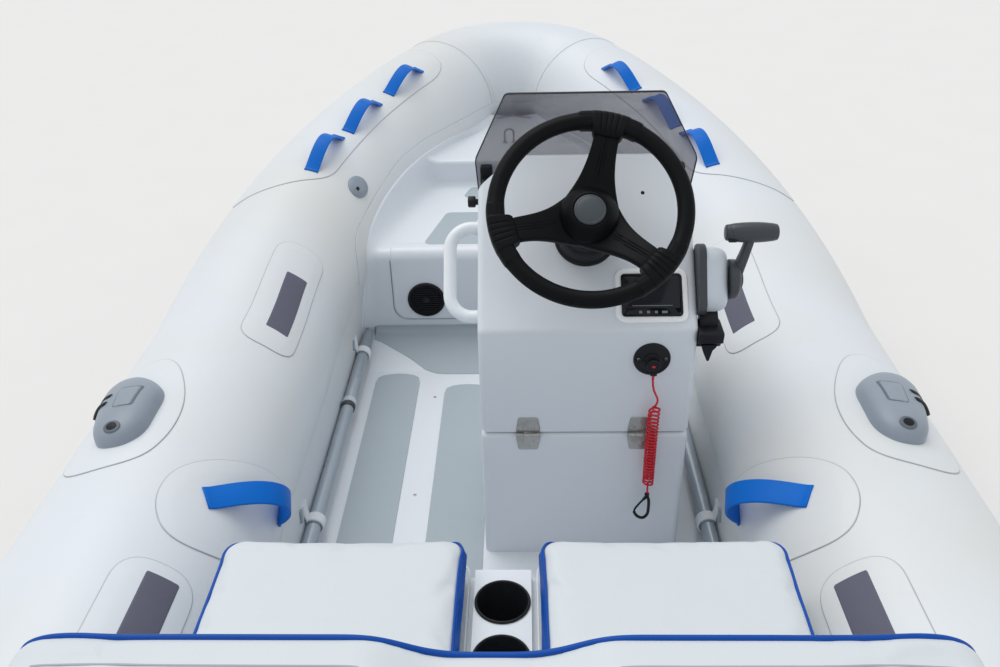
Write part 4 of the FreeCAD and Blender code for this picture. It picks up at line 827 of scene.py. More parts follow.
@dataclass(frozen=True)
class TubeLine:
    """Centreline of the tubes, the same as in the part's source, in metres and radians."""

    radius: float = 0.210
    offset: float = 0.640
    height: float = 0.330
    stern: float = -0.180
    rise_start: float = 1.600
    rise_radius: float = 1.100
    rise: float = math.radians(8.0)
    side: float = math.radians(29.6)
    bow_radius: float = 0.287

    @property
    def side_radius(self) -> float:
        """Plan radius of the side's sweep."""
        c = math.cos(self.side)
        return (self.offset - self.bow_radius * c) / (1 - c)

    @property
    def marks(self) -> tuple[float, float, float, float]:
        """Runs at the bend's start, its end, the bow arc's start and the bow's middle."""
        a = self.rise_start
        b = a + self.rise_radius * self.rise
        c = b + self.side_radius * self.side
        d = c + self.bow_radius * (math.pi / 2 - self.side)
        return a, b, c, d

    def frames(self, run: Array) -> tuple[Array, Array, Array, Array]:
        """Centre, heading, outward and up at runs from the transom along the port tube.

        A run past the bow's middle goes on down the starboard side, mirrored.

        Args:
            run: runs in metres, any shape.

        Returns:
            Four arrays with a last axis of three.
        """
        run = np.asarray(run, float)
        a, b, c, d = self.marks
        mirrored = run > d
        s = np.where(mirrored, 2 * d - run, run)
        fore = np.array([math.cos(self.rise), 0, math.sin(self.rise)])
        lift = np.array([-math.sin(self.rise), 0, math.cos(self.rise)])
        out = Y_DIR
        low = np.array([self.rise_start, self.offset, self.height])
        hub = low + np.array([0, 0, self.rise_radius])
        high = hub - lift * self.rise_radius
        side_hub = high - out * self.side_radius
        bow_hub = side_hub + (fore * math.sin(self.side) + out * math.cos(self.side)) * (
            self.side_radius - self.bow_radius)
        turn = np.clip((s - a) / self.rise_radius, 0, self.rise)[..., None]
        bend_up = np.concatenate([-np.sin(turn), 0 * turn, np.cos(turn)], axis=-1)
        bend_head = np.concatenate([np.cos(turn), 0 * turn, np.sin(turn)], axis=-1)
        straight = np.minimum(s - a, 0)[..., None] * X_DIR
        centre = hub - bend_up * self.rise_radius + straight
        heading, outward, up = bend_head, np.broadcast_to(out, centre.shape), bend_up
        angle = np.clip((s - b) / self.side_radius, 0, self.side)[..., None]
        radial = fore * np.sin(angle) + out * np.cos(angle)
        tangent = fore * np.cos(angle) - out * np.sin(angle)
        on_side = (s > b)[..., None]
        centre = np.where(on_side, side_hub + radial * self.side_radius, centre)
        angle = (self.side + (s - c) / self.bow_radius)[..., None]
        radial_b = fore * np.sin(angle) + out * np.cos(angle)
        tangent_b = fore * np.cos(angle) - out * np.sin(angle)
        on_bow = (s > c)[..., None]
        centre = np.where(on_bow, bow_hub + radial_b * self.bow_radius, centre)
        heading = np.where(on_bow, tangent_b, np.where(on_side, tangent, heading))
        outward = np.where(on_bow, radial_b, np.where(on_side, radial, outward))
        up = np.where(on_side, lift, up)
        mirror = np.where(mirrored[..., None], flip(-1), 1.0)
        return centre * mirror, heading * mirror, outward * mirror, up * mirror

    def skin(self, run: Array, degrees: Array, out: Array | float = 0.0) -> Array:
        """Points on or off the skin.

        Args:
            run: runs from the transom.
            degrees: angle from outboard over the top.
            out: distance off the skin, in metres.

        Returns:
            Points with a last axis of three.
        """
        run, degrees, out = np.broadcast_arrays(run, np.asarray(degrees, float), out)
        centre, _, outward, up = self.frames(run)
        angle = np.radians(degrees)[..., None]
        normal = outward * np.cos(angle) + up * np.sin(angle)
        return centre + normal * (self.radius + out[..., None])

    def normal(self, run: Array, degrees: Array) -> Array:
        """Directions off the skin."""
        run, degrees = np.broadcast_arrays(run, np.asarray(degrees, float))
        _, _, outward, up = self.frames(run)
        angle = np.radians(degrees)[..., None]
        return outward * np.cos(angle) + up * np.sin(angle)


LINE = TubeLine()


# Studio

@dataclass
class Studio:
    """Camera at the photograph's place, pale floor and soft light."""

    place: Colour = (-0.100, -0.0356, 1.4926)
    pitch: float = 30.74
    yaw: float = 1.854
    roll: float = -1.41
    focal: float = 899.28
    floor_colour: Colour = (0.80, 0.79, 0.77)
    sky: Colour = (0.93, 0.965, 1.0)
    seen: Colour = (0.93, 0.94, 0.95)
    world_strength: float = 0.72
    sun_strength: float = 1.35

    def camera(self) -> None:
        """Set the camera from its pitch, yaw and roll."""
        p, y, r = (math.radians(v) for v in (self.pitch, self.yaw, self.roll))
        ahead = Vector((math.cos(p) * math.cos(y), math.cos(p) * math.sin(y), -math.sin(p)))
        right = Vector((math.sin(y), -math.cos(y), 0))
        down = ahead.cross(right)
        across = right * math.cos(r) - down * math.sin(r)
        below = down * math.cos(r) + right * math.sin(r)
        data = bpy.data.cameras.new("camera")
        data.sensor_width, data.lens = 36.0, self.focal / 1000 * 36.0
        data.clip_start, data.clip_end = 0.02, 200.0
        made = fresh("camera", data)
        turn = Matrix((across, -below, -ahead)).transposed().to_4x4()
        made.matrix_world = Matrix.Translation(self.place) @ turn
        bpy.context.scene.camera = made

    def floor(self) -> None:
        """A wide pale floor that the camera sees as nearly white."""
        points = lay(np.array([(-30, -30), (30, -30), (30, 30), (-30, 30)], float), 2, -0.0005)
        mesh = build_mesh("floor", points, np.array([[0, 1, 2, 3]]))
        shade = Shade("floor")
        point = shade.object_point()
        grain = shade.noise(point, 3.0, 4.0)
        shade.put(Base_Color=shade.mix(grain, self.floor_colour,
                                       tuple(c * 0.97 for c in self.floor_colour)),
                  Roughness=0.9, Specular_IOR_Level=0.1)
        mesh.materials.append(shade.material)
        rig.stage(fresh("floor", mesh))

    def light(self) -> None:
        """Even sky light with one wide soft sun from the port bow."""
        world = bpy.data.worlds.new("sky")
        bpy.context.scene.world = world
        world.use_nodes = True
        tree = world.node_tree
        tree.nodes.clear()
        out = tree.nodes.new("ShaderNodeOutputWorld")
        mix = tree.nodes.new("ShaderNodeMixShader")
        path = tree.nodes.new("ShaderNodeLightPath")
        tree.links.new(path.outputs["Is Camera Ray"], mix.inputs[0])
        for place, colour, strength in ((1, self.sky, self.world_strength), (2, self.seen, 1.0)):
            back = tree.nodes.new("ShaderNodeBackground")
            back.inputs["Color"].default_value = (*colour, 1.0)
            back.inputs["Strength"].default_value = strength
            tree.links.new(back.outputs[0], mix.inputs[place])
        tree.links.new(mix.outputs[0], out.inputs["Surface"])
        sun = bpy.data.lights.new("sun", "SUN")
        sun.energy = self.sun_strength
        sun.angle = math.radians(50)
        sun.color = (1.0, 0.985, 0.96)
        made = fresh("sun", sun)
        aim = Vector((-0.35, -0.35, -1.0)).normalized()
        made.rotation_mode = "QUATERNION"
        made.rotation_quaternion = aim.to_track_quat("-Z", "Y")
        bpy.context.scene.view_settings.view_transform = "Standard"

    def build(self) -> None:
        """Everything round the boat."""
        self.camera()
        self.floor()
        self.light()


# Finishes by CAD node

WHITE_GEL = Gelcoat("white_gelcoat", "hull_gelcoat")
TUBE_WHITE = TubeFabric("tube_fabric", "tube_fabric")
GLUED = TubeFabric("glued_fabric", "tube_fabric", line_share=0.8)
STRAKE = Moulded("strake_rubber", "tube_fabric", (0.55, 0.58, 0.62), 0.5, 500.0, 0.0003)
ROWLOCK = Moulded("rowlock_grey", "light_grey_plastic", (0.235, 0.275, 0.325), 0.42, 800.0, 0.0003)
ROWLOCK_DARK = Moulded("rowlock_shadow", "light_grey_plastic", (0.10, 0.12, 0.145), 0.5, 800.0,
                       0.0003)
NONSKID = NonSkid("nonskid_grey", "nonskid")
VINYL = Vinyl("white_vinyl", "vinyl")
BLUE_STRAP = Moulded("blue_strap", "blue_strap", (0.0, 0.125, 0.52), 0.45, 700.0, 0.0002,
                     specular=0.16)
BLACK = Moulded("black_moulding", "black_plastic", (0.009, 0.0095, 0.012), 0.42, specular=0.24)
SOFT_BLACK = Moulded("soft_black", "soft_black", (0.0025, 0.0028, 0.0040), 0.50, 1400.0, 0.0003,
                     specular=0.12)
DARK_GREY = Moulded("dark_grey_moulding", "dark_grey_plastic", (0.045, 0.052, 0.06), 0.36,
                    specular=0.4)
LIGHT_GREY = Moulded("light_grey_moulding", "light_grey_plastic", (0.34, 0.37, 0.40), 0.40)
SHELL_GREY = Moulded("shell_grey", "light_grey_plastic", (0.56, 0.60, 0.65), 0.40)
PRINT_GREY = Moulded("print_grey", "light_grey_plastic", (0.16, 0.17, 0.18), 0.5)
GRIP = Moulded("grip_rubber", "grip_rubber", (0.095, 0.095, 0.135), 0.72, 500.0, 0.0008)
STAINLESS = Brushed("brushed_stainless", "stainless")
ALLOY = Moulded("oar_alloy", "oar_alloy", (0.36, 0.41, 0.46), 0.33, 260.0, 0.0001, 0.30)
RAIL_WHITE = Moulded("rail_coating", "white_tube_rail", (0.76, 0.79, 0.83), 0.22, 300.0, 0.0001)
RED_CORD = Moulded("red_cord", "red_cord", (0.55, 0.006, 0.02), 0.28, 600.0, 0.0001)
MOTOR_PAINT = Moulded("motor_paint", "engine_metal", (0.035, 0.04, 0.046), 0.28, 500.0, 0.0001)
MOTOR_COVER = Moulded("motor_cover", "engine_cover", (0.05, 0.055, 0.062), 0.25, 500.0, 0.0001)
DISPLAY = Moulded("display_glass", "display_glass", (0.006, 0.007, 0.009), 0.08, 200.0, 0.00005,
                  specular=0.25)
DISPLAY_ON = Moulded("display_panel", "display_glass", (0.016, 0.018, 0.022), 0.12, 200.0, 0.00005,
                     specular=0.2)
LIGHT_TRIM = Moulded("light_trim", "black_plastic", (0.86, 0.88, 0.90), 0.38, 700.0, 0.0001)
EDGE_DARK = Moulded("screen_edge", "smoked_screen", (0.012, 0.012, 0.016), 0.15, 300.0, 0.00005)
SCREW_STEEL = Brushed("screw_steel", "stainless", (0.42, 0.43, 0.44), (600.0, 600.0, 600.0), 0.30)
PIPING = Moulded("piping_blue", "blue_strap", (0.002, 0.062, 0.33), 0.45, 900.0, 0.0003,
                 specular=0.22)
THREAD = Moulded("sewing_thread", "vinyl", (0.02, 0.13, 0.42), 0.7, 2500.0, 0.0003, specular=0.2)
VINYL_DARK = Vinyl("shaded_vinyl", "vinyl", (0.36, 0.40, 0.44))
HUB_GREY = Moulded("hub_cap_grey", "dark_grey_plastic", (0.040, 0.050, 0.058), 0.45, 700.0, 0.0001)
OAR_GREY = Moulded("oar_grey", "light_grey_plastic", (0.27, 0.315, 0.36), 0.40, 700.0, 0.0002)
CLEAR_GREY = Moulded("collar_grey", "light_grey_plastic", (0.52, 0.56, 0.58), 0.30, 400.0, 0.0001)
WEBBING = Moulded("white_webbing", "vinyl", (0.72, 0.74, 0.76), 0.65, 1800.0, 0.0003)
SEALANT = Moulded("seam_sealant", "tube_fabric", (0.26, 0.28, 0.30), 0.55, 500.0, 0.0002)
SMOKED = Smoked("smoked_screen", "smoked_screen")
PROP = Moulded("prop_paint", "prop_metal", (0.03, 0.03, 0.033), 0.35, 400.0, 0.0002)

NODE_FINISHES: dict[Finish, str] = {
    TUBE_WHITE: "tube_port tube_starboard tube_bow",
    WHITE_GEL: "hull_shell deck_floor bow_locker transom seat_base console_base console_top "
               "backrest_board",
    BLACK: "cup_holders speaker_grille helm_bezel screen_clips gauge_bezel kill_switch "
           "console_knob control_shroud wheel_cap lanyard_clip carabiner",
    VINYL: "cushion_port cushion_starboard backrest_pad",
    NONSKID: "floor_pads locker_pads",
    STAINLESS: "bow_eye hinges_lower hinges_upper",
    GRIP: "tube_pads",
    BLUE_STRAP: "bow_handles_port bow_handles_starboard seat_handle_port seat_handle_starboard",
    LIGHT_GREY: "oarlock_port oarlock_starboard valves control_box",
    ALLOY: "oar_port oar_starboard",
    DARK_GREY: "oar_clips throttle_lever",
    MOTOR_PAINT: "clamp_bracket swivel_bracket engine_leg",
    MOTOR_COVER: "engine_cowl",
    PROP: "propeller",
    SMOKED: "windscreen",
    DISPLAY: "gauge_screen",
    RAIL_WHITE: "grab_rail",
    SOFT_BLACK: "steering_wheel",
    RED_CORD: "lanyard_ferrule lanyard_lead lanyard_coil lanyard_tail",
}


# Outlines and raised shapes on the tubes

@dataclass(frozen=True)
class Outline:
    """Closed line on a tube's skin, in run metres and degrees from outboard over the top."""

    corners: tuple[tuple[float, float], ...]
    rounding: float = 0.03
    per_corner: int = 10

    def flat(self) -> Array:
        """Corners as flat metres: run, and angle times the tube's radius."""
        c = np.asarray(self.corners, float)
        return np.stack([c[:, 0], np.radians(c[:, 1]) * LINE.radius], axis=-1)

    def dense(self) -> Array:
        """Flat points with each corner replaced by a curve.

        Each corner becomes a quadratic curve that starts and ends at the rounding's distance
        along its two sides, or at 0.48 of a shorter side.
        """
        p = self.flat()
        before, after = np.roll(p, 1, axis=0) - p, np.roll(p, -1, axis=0) - p
        reach_b = np.minimum(self.rounding, 0.48 * np.linalg.norm(before, axis=1))[:, None]
        reach_a = np.minimum(self.rounding, 0.48 * np.linalg.norm(after, axis=1))[:, None]
        start = p + unit(before) * reach_b
        end = p + unit(after) * reach_a
        t = np.linspace(0, 1, self.per_corner)[None, :, None]
        curve = ((1 - t) ** 2 * start[:, None] + 2 * t * (1 - t) * p[:, None]
                 + t ** 2 * end[:, None])
        return curve.reshape(-1, 2)

    def even(self, count: int = 160) -> Array:
        """Flat points at even spacing round the line."""
        p = self.dense()
        closed = np.concatenate([p, p[:1]])
        length = np.concatenate([[0], np.cumsum(np.linalg.norm(np.diff(closed, axis=0), axis=1))])
        at = np.linspace(0, length[-1], count, endpoint=False)
        return np.stack([np.interp(at, length, closed[:, k]) for k in range(2)], axis=-1)


def on_skin(flat: Array, out: Array | float, side: int = 1) -> Array:
    """Space points of flat ones.

    Args:
        flat: run and arc in metres, with a last axis of two.
        out: distance off the skin.
        side: 1 for port, -1 for starboard.

    Returns:
        Points; the arc divided by the tube's radius is the angle.
    """
    points = LINE.skin(flat[..., 0], np.degrees(flat[..., 1] / LINE.radius), out)
    return points * flip(side)


def inward(flat: Array, distance: float) -> Array:
    """Closed flat line moved towards its middle by a distance, along its own normals."""
    along = unit(np.roll(flat, -1, axis=0) - np.roll(flat, 1, axis=0))
    normal = np.stack([-along[:, 1], along[:, 0]], axis=-1)
    middle = flat.mean(axis=0)
    turned = np.sign(np.einsum("ij,ij->i", normal, middle - flat).sum())
    return flat + normal * turned * distance


def raised(flat: Array, steps: Pairs, side: int,
           base: Callable[[Array], Array] | None = None) -> tuple[Array, Array, Array]:
    """Closed slab on the skin inside a line.

    Args:
        flat: the line, flat.
        steps: pairs of inset and height, from the foot inwards.
        side: 1 for port, -1 for starboard.
        base: height to stand on for given flat points; the skin if None.

    Returns:
        Points, faces and, for each point, 1 at the glued edge and 0 elsewhere. The rings are
        a sunk underside, the insets, then the last one scaled about its middle.
    """
    rings = [inward(flat, inset) if inset else flat for inset, _ in steps]
    middle = rings[-1].mean(axis=0)
    fill = (0.86, 0.7, 0.54, 0.38, 0.22, 0.08)
    order = [middle + (flat - middle) * share for share in (0.1, 0.4, 0.7, 1.0)]
    order += rings + [middle + (rings[-1] - middle) * share for share in fill]
    levels = [-0.0015] * 4 + [height for _, height in steps] + [steps[-1][1]] * len(fill)
    marks = [0.0] * 4 + [float(inset <= 0.0012) for inset, _ in steps] + [0.0] * len(fill)
    stack, ends = np.stack(order), np.stack([middle, middle])
    lift = np.asarray(levels)[:, None] + np.zeros(stack.shape[:2])
    end_lift = np.array([levels[0], levels[-1]])
    if base is not None:
        lift, end_lift = lift + base(stack), end_lift + base(ends)
    points, faces = skin_of(on_skin(stack, lift, side))
    points[-2:] = on_skin(ends, end_lift, side)
    return points, faces, np.append(np.repeat(marks, len(flat)), [0.0, 0.0])


def raised_pair(name: str, outlines: Sequence[Array], steps: Pairs, finish: Finish,
                *stands_for: str, sides: Iterable[int] = Side,
                base: Callable[[Array], Array] | None = None) -> bpy.types.Object:
    """One piece with the same slabs on the tubes of the sides."""
    made = [raised(flat, steps, side, base) for side in sides for flat in outlines]
    mesh = build_mesh(name, *join_parts(part[:2] for part in made))
    put_attribute(mesh, "edge", np.concatenate([part[2] for part in made]))
    return piece(name, mesh, finish, *stands_for)


PATCH_STEPS = ((0.0, -0.0008), (0.0004, 0.0008), (0.0012, 0.0014), (0.003, 0.0016),
               (0.018, 0.0016), (0.024, 0.0022), (0.032, 0.0022))
PAD_STEPS = ((0.0, -0.0008), (0.0003, 0.0020), (0.0012, 0.0030), (0.003, 0.0032))


@dataclass
class Tubes:
    """Inflated tubes with their stern cones, bow piece, tapes, aprons and glued patches."""

    around: int = 112
    spacing: float = 0.028
    cone_runs: tuple[float, ...] = (-0.4199, -0.417, -0.409, -0.396, -0.376, -0.35, -0.31, -0.27,
                                    -0.23, -0.20, -0.188, -0.18)
    cone_radii: tuple[float, ...] = (0.004, 0.022, 0.042, 0.057, 0.069, 0.078, 0.110, 0.143,
                                     0.175, 0.199, 0.2065, 0.210)

    def rings(self, runs: Array, out: Array) -> Array:
        """Circles round the tube at runs, each off the skin by a distance."""
        degrees = np.linspace(0, 360, self.around, endpoint=False)
        run, angle = np.meshgrid(runs, degrees, indexing="ij")
        return LINE.skin(run, angle, out[:, None] + 0 * angle)

    def skins(self) -> None:
        """Side tubes with their cones, and the bow piece between them."""
        _, _, c, d = LINE.marks
        straight = np.linspace(-0.18, c, int((c + 0.18) / self.spacing))[1:]
        runs = np.concatenate([self.cone_runs, straight])
        out = np.append(self.cone_radii, np.full(len(straight), LINE.radius)) - LINE.radius
        for side in Side:
            name = "tube_" + word_of(side)
            piece(name + "_skin", [skin_of(self.rings(runs, out) * flip(side))], TUBE_WHITE,
                  name, crease=None)
        bow = self.rings(np.linspace(c, 2 * d - c, 48), np.zeros(48))
        piece("bow_tube_skin", [skin_of(bow)], TUBE_WHITE, "tube_bow", crease=None)

    def band(self, a: float, b: float, thick: float = 0.0009) -> Part:
        """A tape right round the tube between two runs, closed into a ring."""
        profile = np.array([(a, -0.001), (a, thick * 0.6), (a + 0.001, thick),
                            (b - 0.001, thick), (b, thick * 0.6), (b, -0.001)])
        return loop_skin(self.rings(*profile.T))

    def tapes(self) -> None:
        """Seam tapes at the bow, mid length, the cones and their caps."""
        _, _, c, d = LINE.marks
        parts = [self.band(*pair) for a, b in ((c - 0.014, c + 0.014), (-0.196, -0.166))
                 for pair in ((a, b), (2 * d - b, 2 * d - a))]
        mesh = build_mesh("seam_tapes", *join_parts(parts))
        near = np.repeat([1.0, 1.0, 0.0, 0.0, 1.0, 1.0], self.around)
        put_attribute(mesh, "edge", np.tile(near, len(parts)))
        piece("seam_tapes", mesh, GLUED)

    def strip(self, name: str, runs: Array, top: Array, bottom: Array, thick: float,
              finish: Finish, crown: float = 0.0) -> None:
        """A long strip on the skin between two angle lines, closed all round.

        The section goes over the outside, raised by the thickness and by a crown of one minus
        the square of the share across, and back under the skin.
        """
        share = np.array([0.0, 0.004, 0.012, 0.05, 0.2, 0.35, 0.5, 0.65, 0.8, 0.95, 0.988, 0.996,
                          1.0])
        lift = thick + crown * (1 - (2 * share - 1) ** 2)
        lift[[0, -1]], lift[[1, -2]] = -0.0008, thick * 0.6
        over = top[:, None] + (bottom - top)[:, None] * share
        angle = np.concatenate([over, over[:, ::-1]], axis=1)
        out = np.append(lift, np.full(len(share), -0.002))
        points, faces = skin_of(LINE.skin(runs[:, None] + 0 * angle, angle, out + 0 * angle))
        mesh = build_mesh(name, points, faces)
        mark, row = np.zeros(len(points)), np.zeros(angle.shape[1])
        row[[0, 1, len(share) - 1, len(share) - 2]] = 1.0
        mark[:angle.size] = np.tile(row, len(runs))
        put_attribute(mesh, "edge", mark)
        piece(name, mesh, finish)

    def apron(self) -> None:
        """Fabric apron glued along the inner side of the tubes round the bow."""
        d = LINE.marks[3]
        known = np.array([(2.078, 186), (2.090, 176), (2.108, 167), (2.130, 160), (2.161, 155.5),
                          (2.21, 153.4), (2.383, 152), (2.608, 150), (2.80, 155), (2.975, 163),
                          (3.20, 171), (3.408, 177), (d, 179)])
        half = np.concatenate([np.linspace(2.078, 2.24, 26), np.linspace(2.27, d, 54)])
        top = np.interp(half, known[:, 0], known[:, 1])
        top = np.convolve(np.pad(top, 2, "edge"), np.ones(5) / 5, "valid")
        runs = np.concatenate([half, 2 * d - half[-2::-1]])
        edge = np.concatenate([top, top[-2::-1]])
        self.strip("bow_apron", runs, edge, np.full(len(runs), 214.0), 0.0012, GLUED)

    def strakes(self) -> None:
        """Low rubbing strake along the outside, all the way round the bow."""
        d = LINE.marks[3]
        half = np.linspace(-0.12, d, 118)
        runs = np.concatenate([half, 2 * d - half[-2::-1]])
        count = len(runs)
        self.strip("rubbing_strake", runs, np.full(count, -4.0), np.full(count, -24.0), 0.004,
                   STRAKE, 0.006)

    def patches(self) -> None:
        """Glued base patches under the fittings."""
        shapes = {
            "bow_handle_patches": Outline(
                ((2.150, 42.0), (2.180, 78.0), (2.290, 117.2), (2.70, 118.6), (3.089, 122.4),
                 (3.168, 112.0), (3.205, 62.0), (3.19, 42.0)), 0.06),
            "mid_pad_patches": Outline(
                ((1.519, 107.5), (1.519, 143.5), (1.965, 143.5), (1.965, 107.5)), 0.055),
            "aft_pad_patches": Outline(
                ((0.47, 107.5), (0.47, 144.0), (0.888, 144.0), (0.888, 107.5)), 0.055),
            "oarlock_patches": Outline(
                ((1.060, 64.0), (1.085, 95.0), (1.175, 103.0), (1.285, 101.0), (1.420, 84.0),
                 (1.425, 60.0), (1.330, 44.0), (1.130, 44.0)), 0.09),
            "seat_handle_patches": Outline(
                ((0.930, 121.0), (1.010, 108.0), (1.105, 112.0), (1.205, 150.0),
                 (1.255, 184.0), (1.150, 196.0), (1.040, 186.0), (0.952, 150.0)), 0.09),
        }
        for name, outline in shapes.items():
            raised_pair(name, [outline.even(200)], PATCH_STEPS, GLUED)

    def build(self) -> None:
        """All of the tubes."""
        self.skins()
        self.tapes()
        self.apron()
        self.strakes()
        self.patches()


# Fittings on the tubes

@dataclass(frozen=True)
class Dome:
    """A moulding on the skin whose height depends on the share out from its middle."""

    middle: tuple[float, float]
    outline: Outline
    levels: tuple[tuple[float, float], ...]

    def polar(self) -> tuple[Array, Array, Array]:
        """Middle, directions and reaches of the outline about it."""
        middle = np.array([self.middle[0], math.radians(self.middle[1]) * LINE.radius])
        away = self.outline.even(180) - middle
        angle = np.arctan2(away[:, 1], away[:, 0])
        order = np.argsort(angle)
        return middle, angle[order], np.linalg.norm(away, axis=1)[order]

    def share(self, flat: Array) -> Array:
        """Share of the way from the middle to the outline."""
        middle, angle, reach = self.polar()
        away = flat - middle
        at = np.interp(np.arctan2(away[..., 1], away[..., 0]), angle, reach, period=2 * math.pi)
        return np.linalg.norm(away, axis=-1) / at

    def height_at(self, share: Array | float) -> Array:
        """Height over the skin, from the levels by share."""
        return np.interp(share, [s for s, _ in self.levels], [h for _, h in self.levels])

    def height(self, flat: Array) -> Array:
        """Height over the skin at flat points."""
        return self.height_at(self.share(flat))

    def mesh_parts(self, side: int) -> Part:
        """Closed skin: rings at rising shares, over a flat underside."""
        middle, _, _ = self.polar()
        away = self.outline.even(180) - middle
        levels = self.levels[:0:-1] + tuple((s, self.height_at(s)) for s in (0.15, 0.05))
        shares, outs = np.array([(s, -0.003) for s in (0.1, 0.3, 0.6, 1.0)] + list(levels)).T
        flats = middle + away * shares[:, None, None]
        points, faces = skin_of(on_skin(flats, outs[:, None] + 0 * flats[..., 0], side))
        points[-2:] = on_skin(np.stack([middle, middle]),
                              np.array([-0.003, self.levels[0][1]]), side)
        return points, faces


def band_along(path: Array, up: Array, width: float, thick: float,
               taper: Array | None = None) -> Part:
    """A flat moulded band with rounded edges along a path."""
    section = round_section(width / 2, thick / 2, thick * 0.42, 4)
    scale = np.ones(len(path)) if taper is None else taper
    sections = section[None] * np.stack([scale, np.ones(len(path))], axis=-1)[:, None]
    return skin_of(carried(path, sections, up))


@dataclass
class TubeFittings:
    """Handles, grip pads, rowlocks and valves."""

    bow_handles: tuple[tuple[float, float], ...] = ((2.402, 101.0), (2.656, 104.0), (2.942, 105.0))
    span: float = 0.215
    width: float = 0.039

    def handle(self, start: tuple[float, float], end: tuple[float, float], rise: float,
               width: float, side: int, bias: float = 1.0) -> Part:
        """An arched band between two spots on the skin.

        The height follows a raised sine of the share between the flat feet; a bias over one
        moves the peak to the far foot.
        """
        t = np.linspace(0, 1, 64)
        flat = np.stack([start[0] + (end[0] - start[0]) * t,
                         np.radians(start[1] + (end[1] - start[1]) * t) * LINE.radius], axis=-1)
        lift = np.sin(np.pi * np.clip((t - 0.03) / 0.93, 0, 1) ** bias) ** 1.15 * rise
        path = on_skin(flat, 0.0032 + lift, side)
        up = LINE.normal(flat[:, 0], np.degrees(flat[:, 1] / LINE.radius))
        return band_along(path, up * flip(side), width, 0.0052)

    def handles(self) -> None:
        """Three bow handles and one seat handle on each side."""
        for side in Side:
            word, half = word_of(side), self.span / 2
            bands = [self.handle((run - half, deg), (run + half, deg), 0.046, self.width, side)
                     for run, deg in self.bow_handles]
            piece("bow_handle_bands_" + word, bands, BLUE_STRAP, "bow_handles_" + word,
                  crease=None)
            seat = self.handle((1.047, 130.0), (1.172, 177.0), 0.052, 0.044, side, 1.3)
            piece("seat_handle_band_" + word, [seat], BLUE_STRAP, "seat_handle_" + word,
                  crease=None)

    def grip_pads(self) -> None:
        """Dark ribbed grip pads."""
        outlines = [Outline(((a, 120.4), (a, 135.4), (b, 135.4), (b, 120.4)), 0.003, 4).even(120)
                    for a, b in ((1.592, 1.842), (0.614, 0.864))]
        raised_pair("grip_pads", outlines, PAD_STEPS, GRIP, "tube_pads")

    def oarlocks(self) -> None:
        """Rowlock mouldings with a shallow window, a socket and a dark horn."""
        outline = Outline(((1.367, 60.0), (1.350, 72.5), (1.318, 83.0), (1.280, 90.5),
                           (1.162, 91.0), (1.127, 84.0), (1.127, 73.0), (1.152, 65.5),
                           (1.215, 60.0), (1.290, 54.0), (1.352, 53.0)), 0.028)
        levels = ((0.0, 0.0360), (0.35, 0.0355), (0.55, 0.0330), (0.70, 0.0292),
                  (0.82, 0.0240), (0.90, 0.0182), (0.955, 0.0110), (0.982, 0.0060),
                  (0.992, 0.0032), (0.996, 0.0022), (1.0, 0.0))
        dome = Dome((1.205, 76.0), outline, levels)
        window = Outline(((1.207, 74.0), (1.207, 82.0), (1.271, 81.5), (1.271, 71.5)), 0.006)
        frame_line = Outline(((1.2075, 73.5), (1.2060, 82.9), (1.2755, 82.6), (1.2755, 70.9)),
                             0.008)
        socket, hole = (self.oval(1.152, 78.6, a, b, 12, 0.01)
                        for a, b in ((0.0125, 4.0), (0.0078, 2.5)))
        low, high, sunk = (((0.0, -0.002), *rest) for rest in (
            ((0.0004, 0.0007), (0.0016, 0.0009)), ((0.0006, 0.0016), (0.0022, 0.0020)),
            ((0.0004, 0.0024), (0.0012, 0.0025))))
        for side in Side:
            word = word_of(side)
            piece("rowlock_body_" + word, [dome.mesh_parts(side)], ROWLOCK, "oarlock_" + word,
                  crease=None)
            for name, line, count, steps, finish in (("frame", frame_line, 80, low, ROWLOCK_DARK),
                                                     ("window", window, 80, high, ROWLOCK),
                                                     ("socket", socket, 60, high, ROWLOCK_DARK),
                                                     ("hole", hole, 60, sunk, BLACK)):
                raised_pair(f"rowlock_{name}_{word}", [line.even(count)], steps, finish,
                            sides=(side,), base=dome.height)
            self.horn(side)

    @staticmethod
    def oval(run: float, degrees: float, reach: float, turned: float, count: int,
             rounding: float) -> Outline:
        """Oval outline about a spot on the skin, of a reach in metres and in degrees."""
        return Outline(tuple((run + reach * math.cos(a), degrees + turned * math.sin(a))
                             for a in full_turn(count)), rounding)

    def horn(self, side: int) -> None:
        """Dark folding horn on the outboard edge: two curved fingers."""
        parts = []
        t = np.linspace(0, 1, 20)
        for start in (1.232, 1.256):
            flat = np.stack([start + 0.004 * np.sin(t * 3.0),
                             np.radians(68.5 - 10.0 * t) * LINE.radius], axis=-1)
            path = on_skin(flat, 0.031 - 0.017 * t * t, side)
            up = LINE.normal(flat[:, 0], np.degrees(flat[:, 1] / LINE.radius))
            parts.append(band_along(path, up * flip(side), 0.014, 0.014,
                                    np.interp(t, [0, 0.1, 0.9, 1], [0.7, 1, 1, 0.6])))
        piece("rowlock_horn_" + word_of(side), parts, BLACK, crease=None)

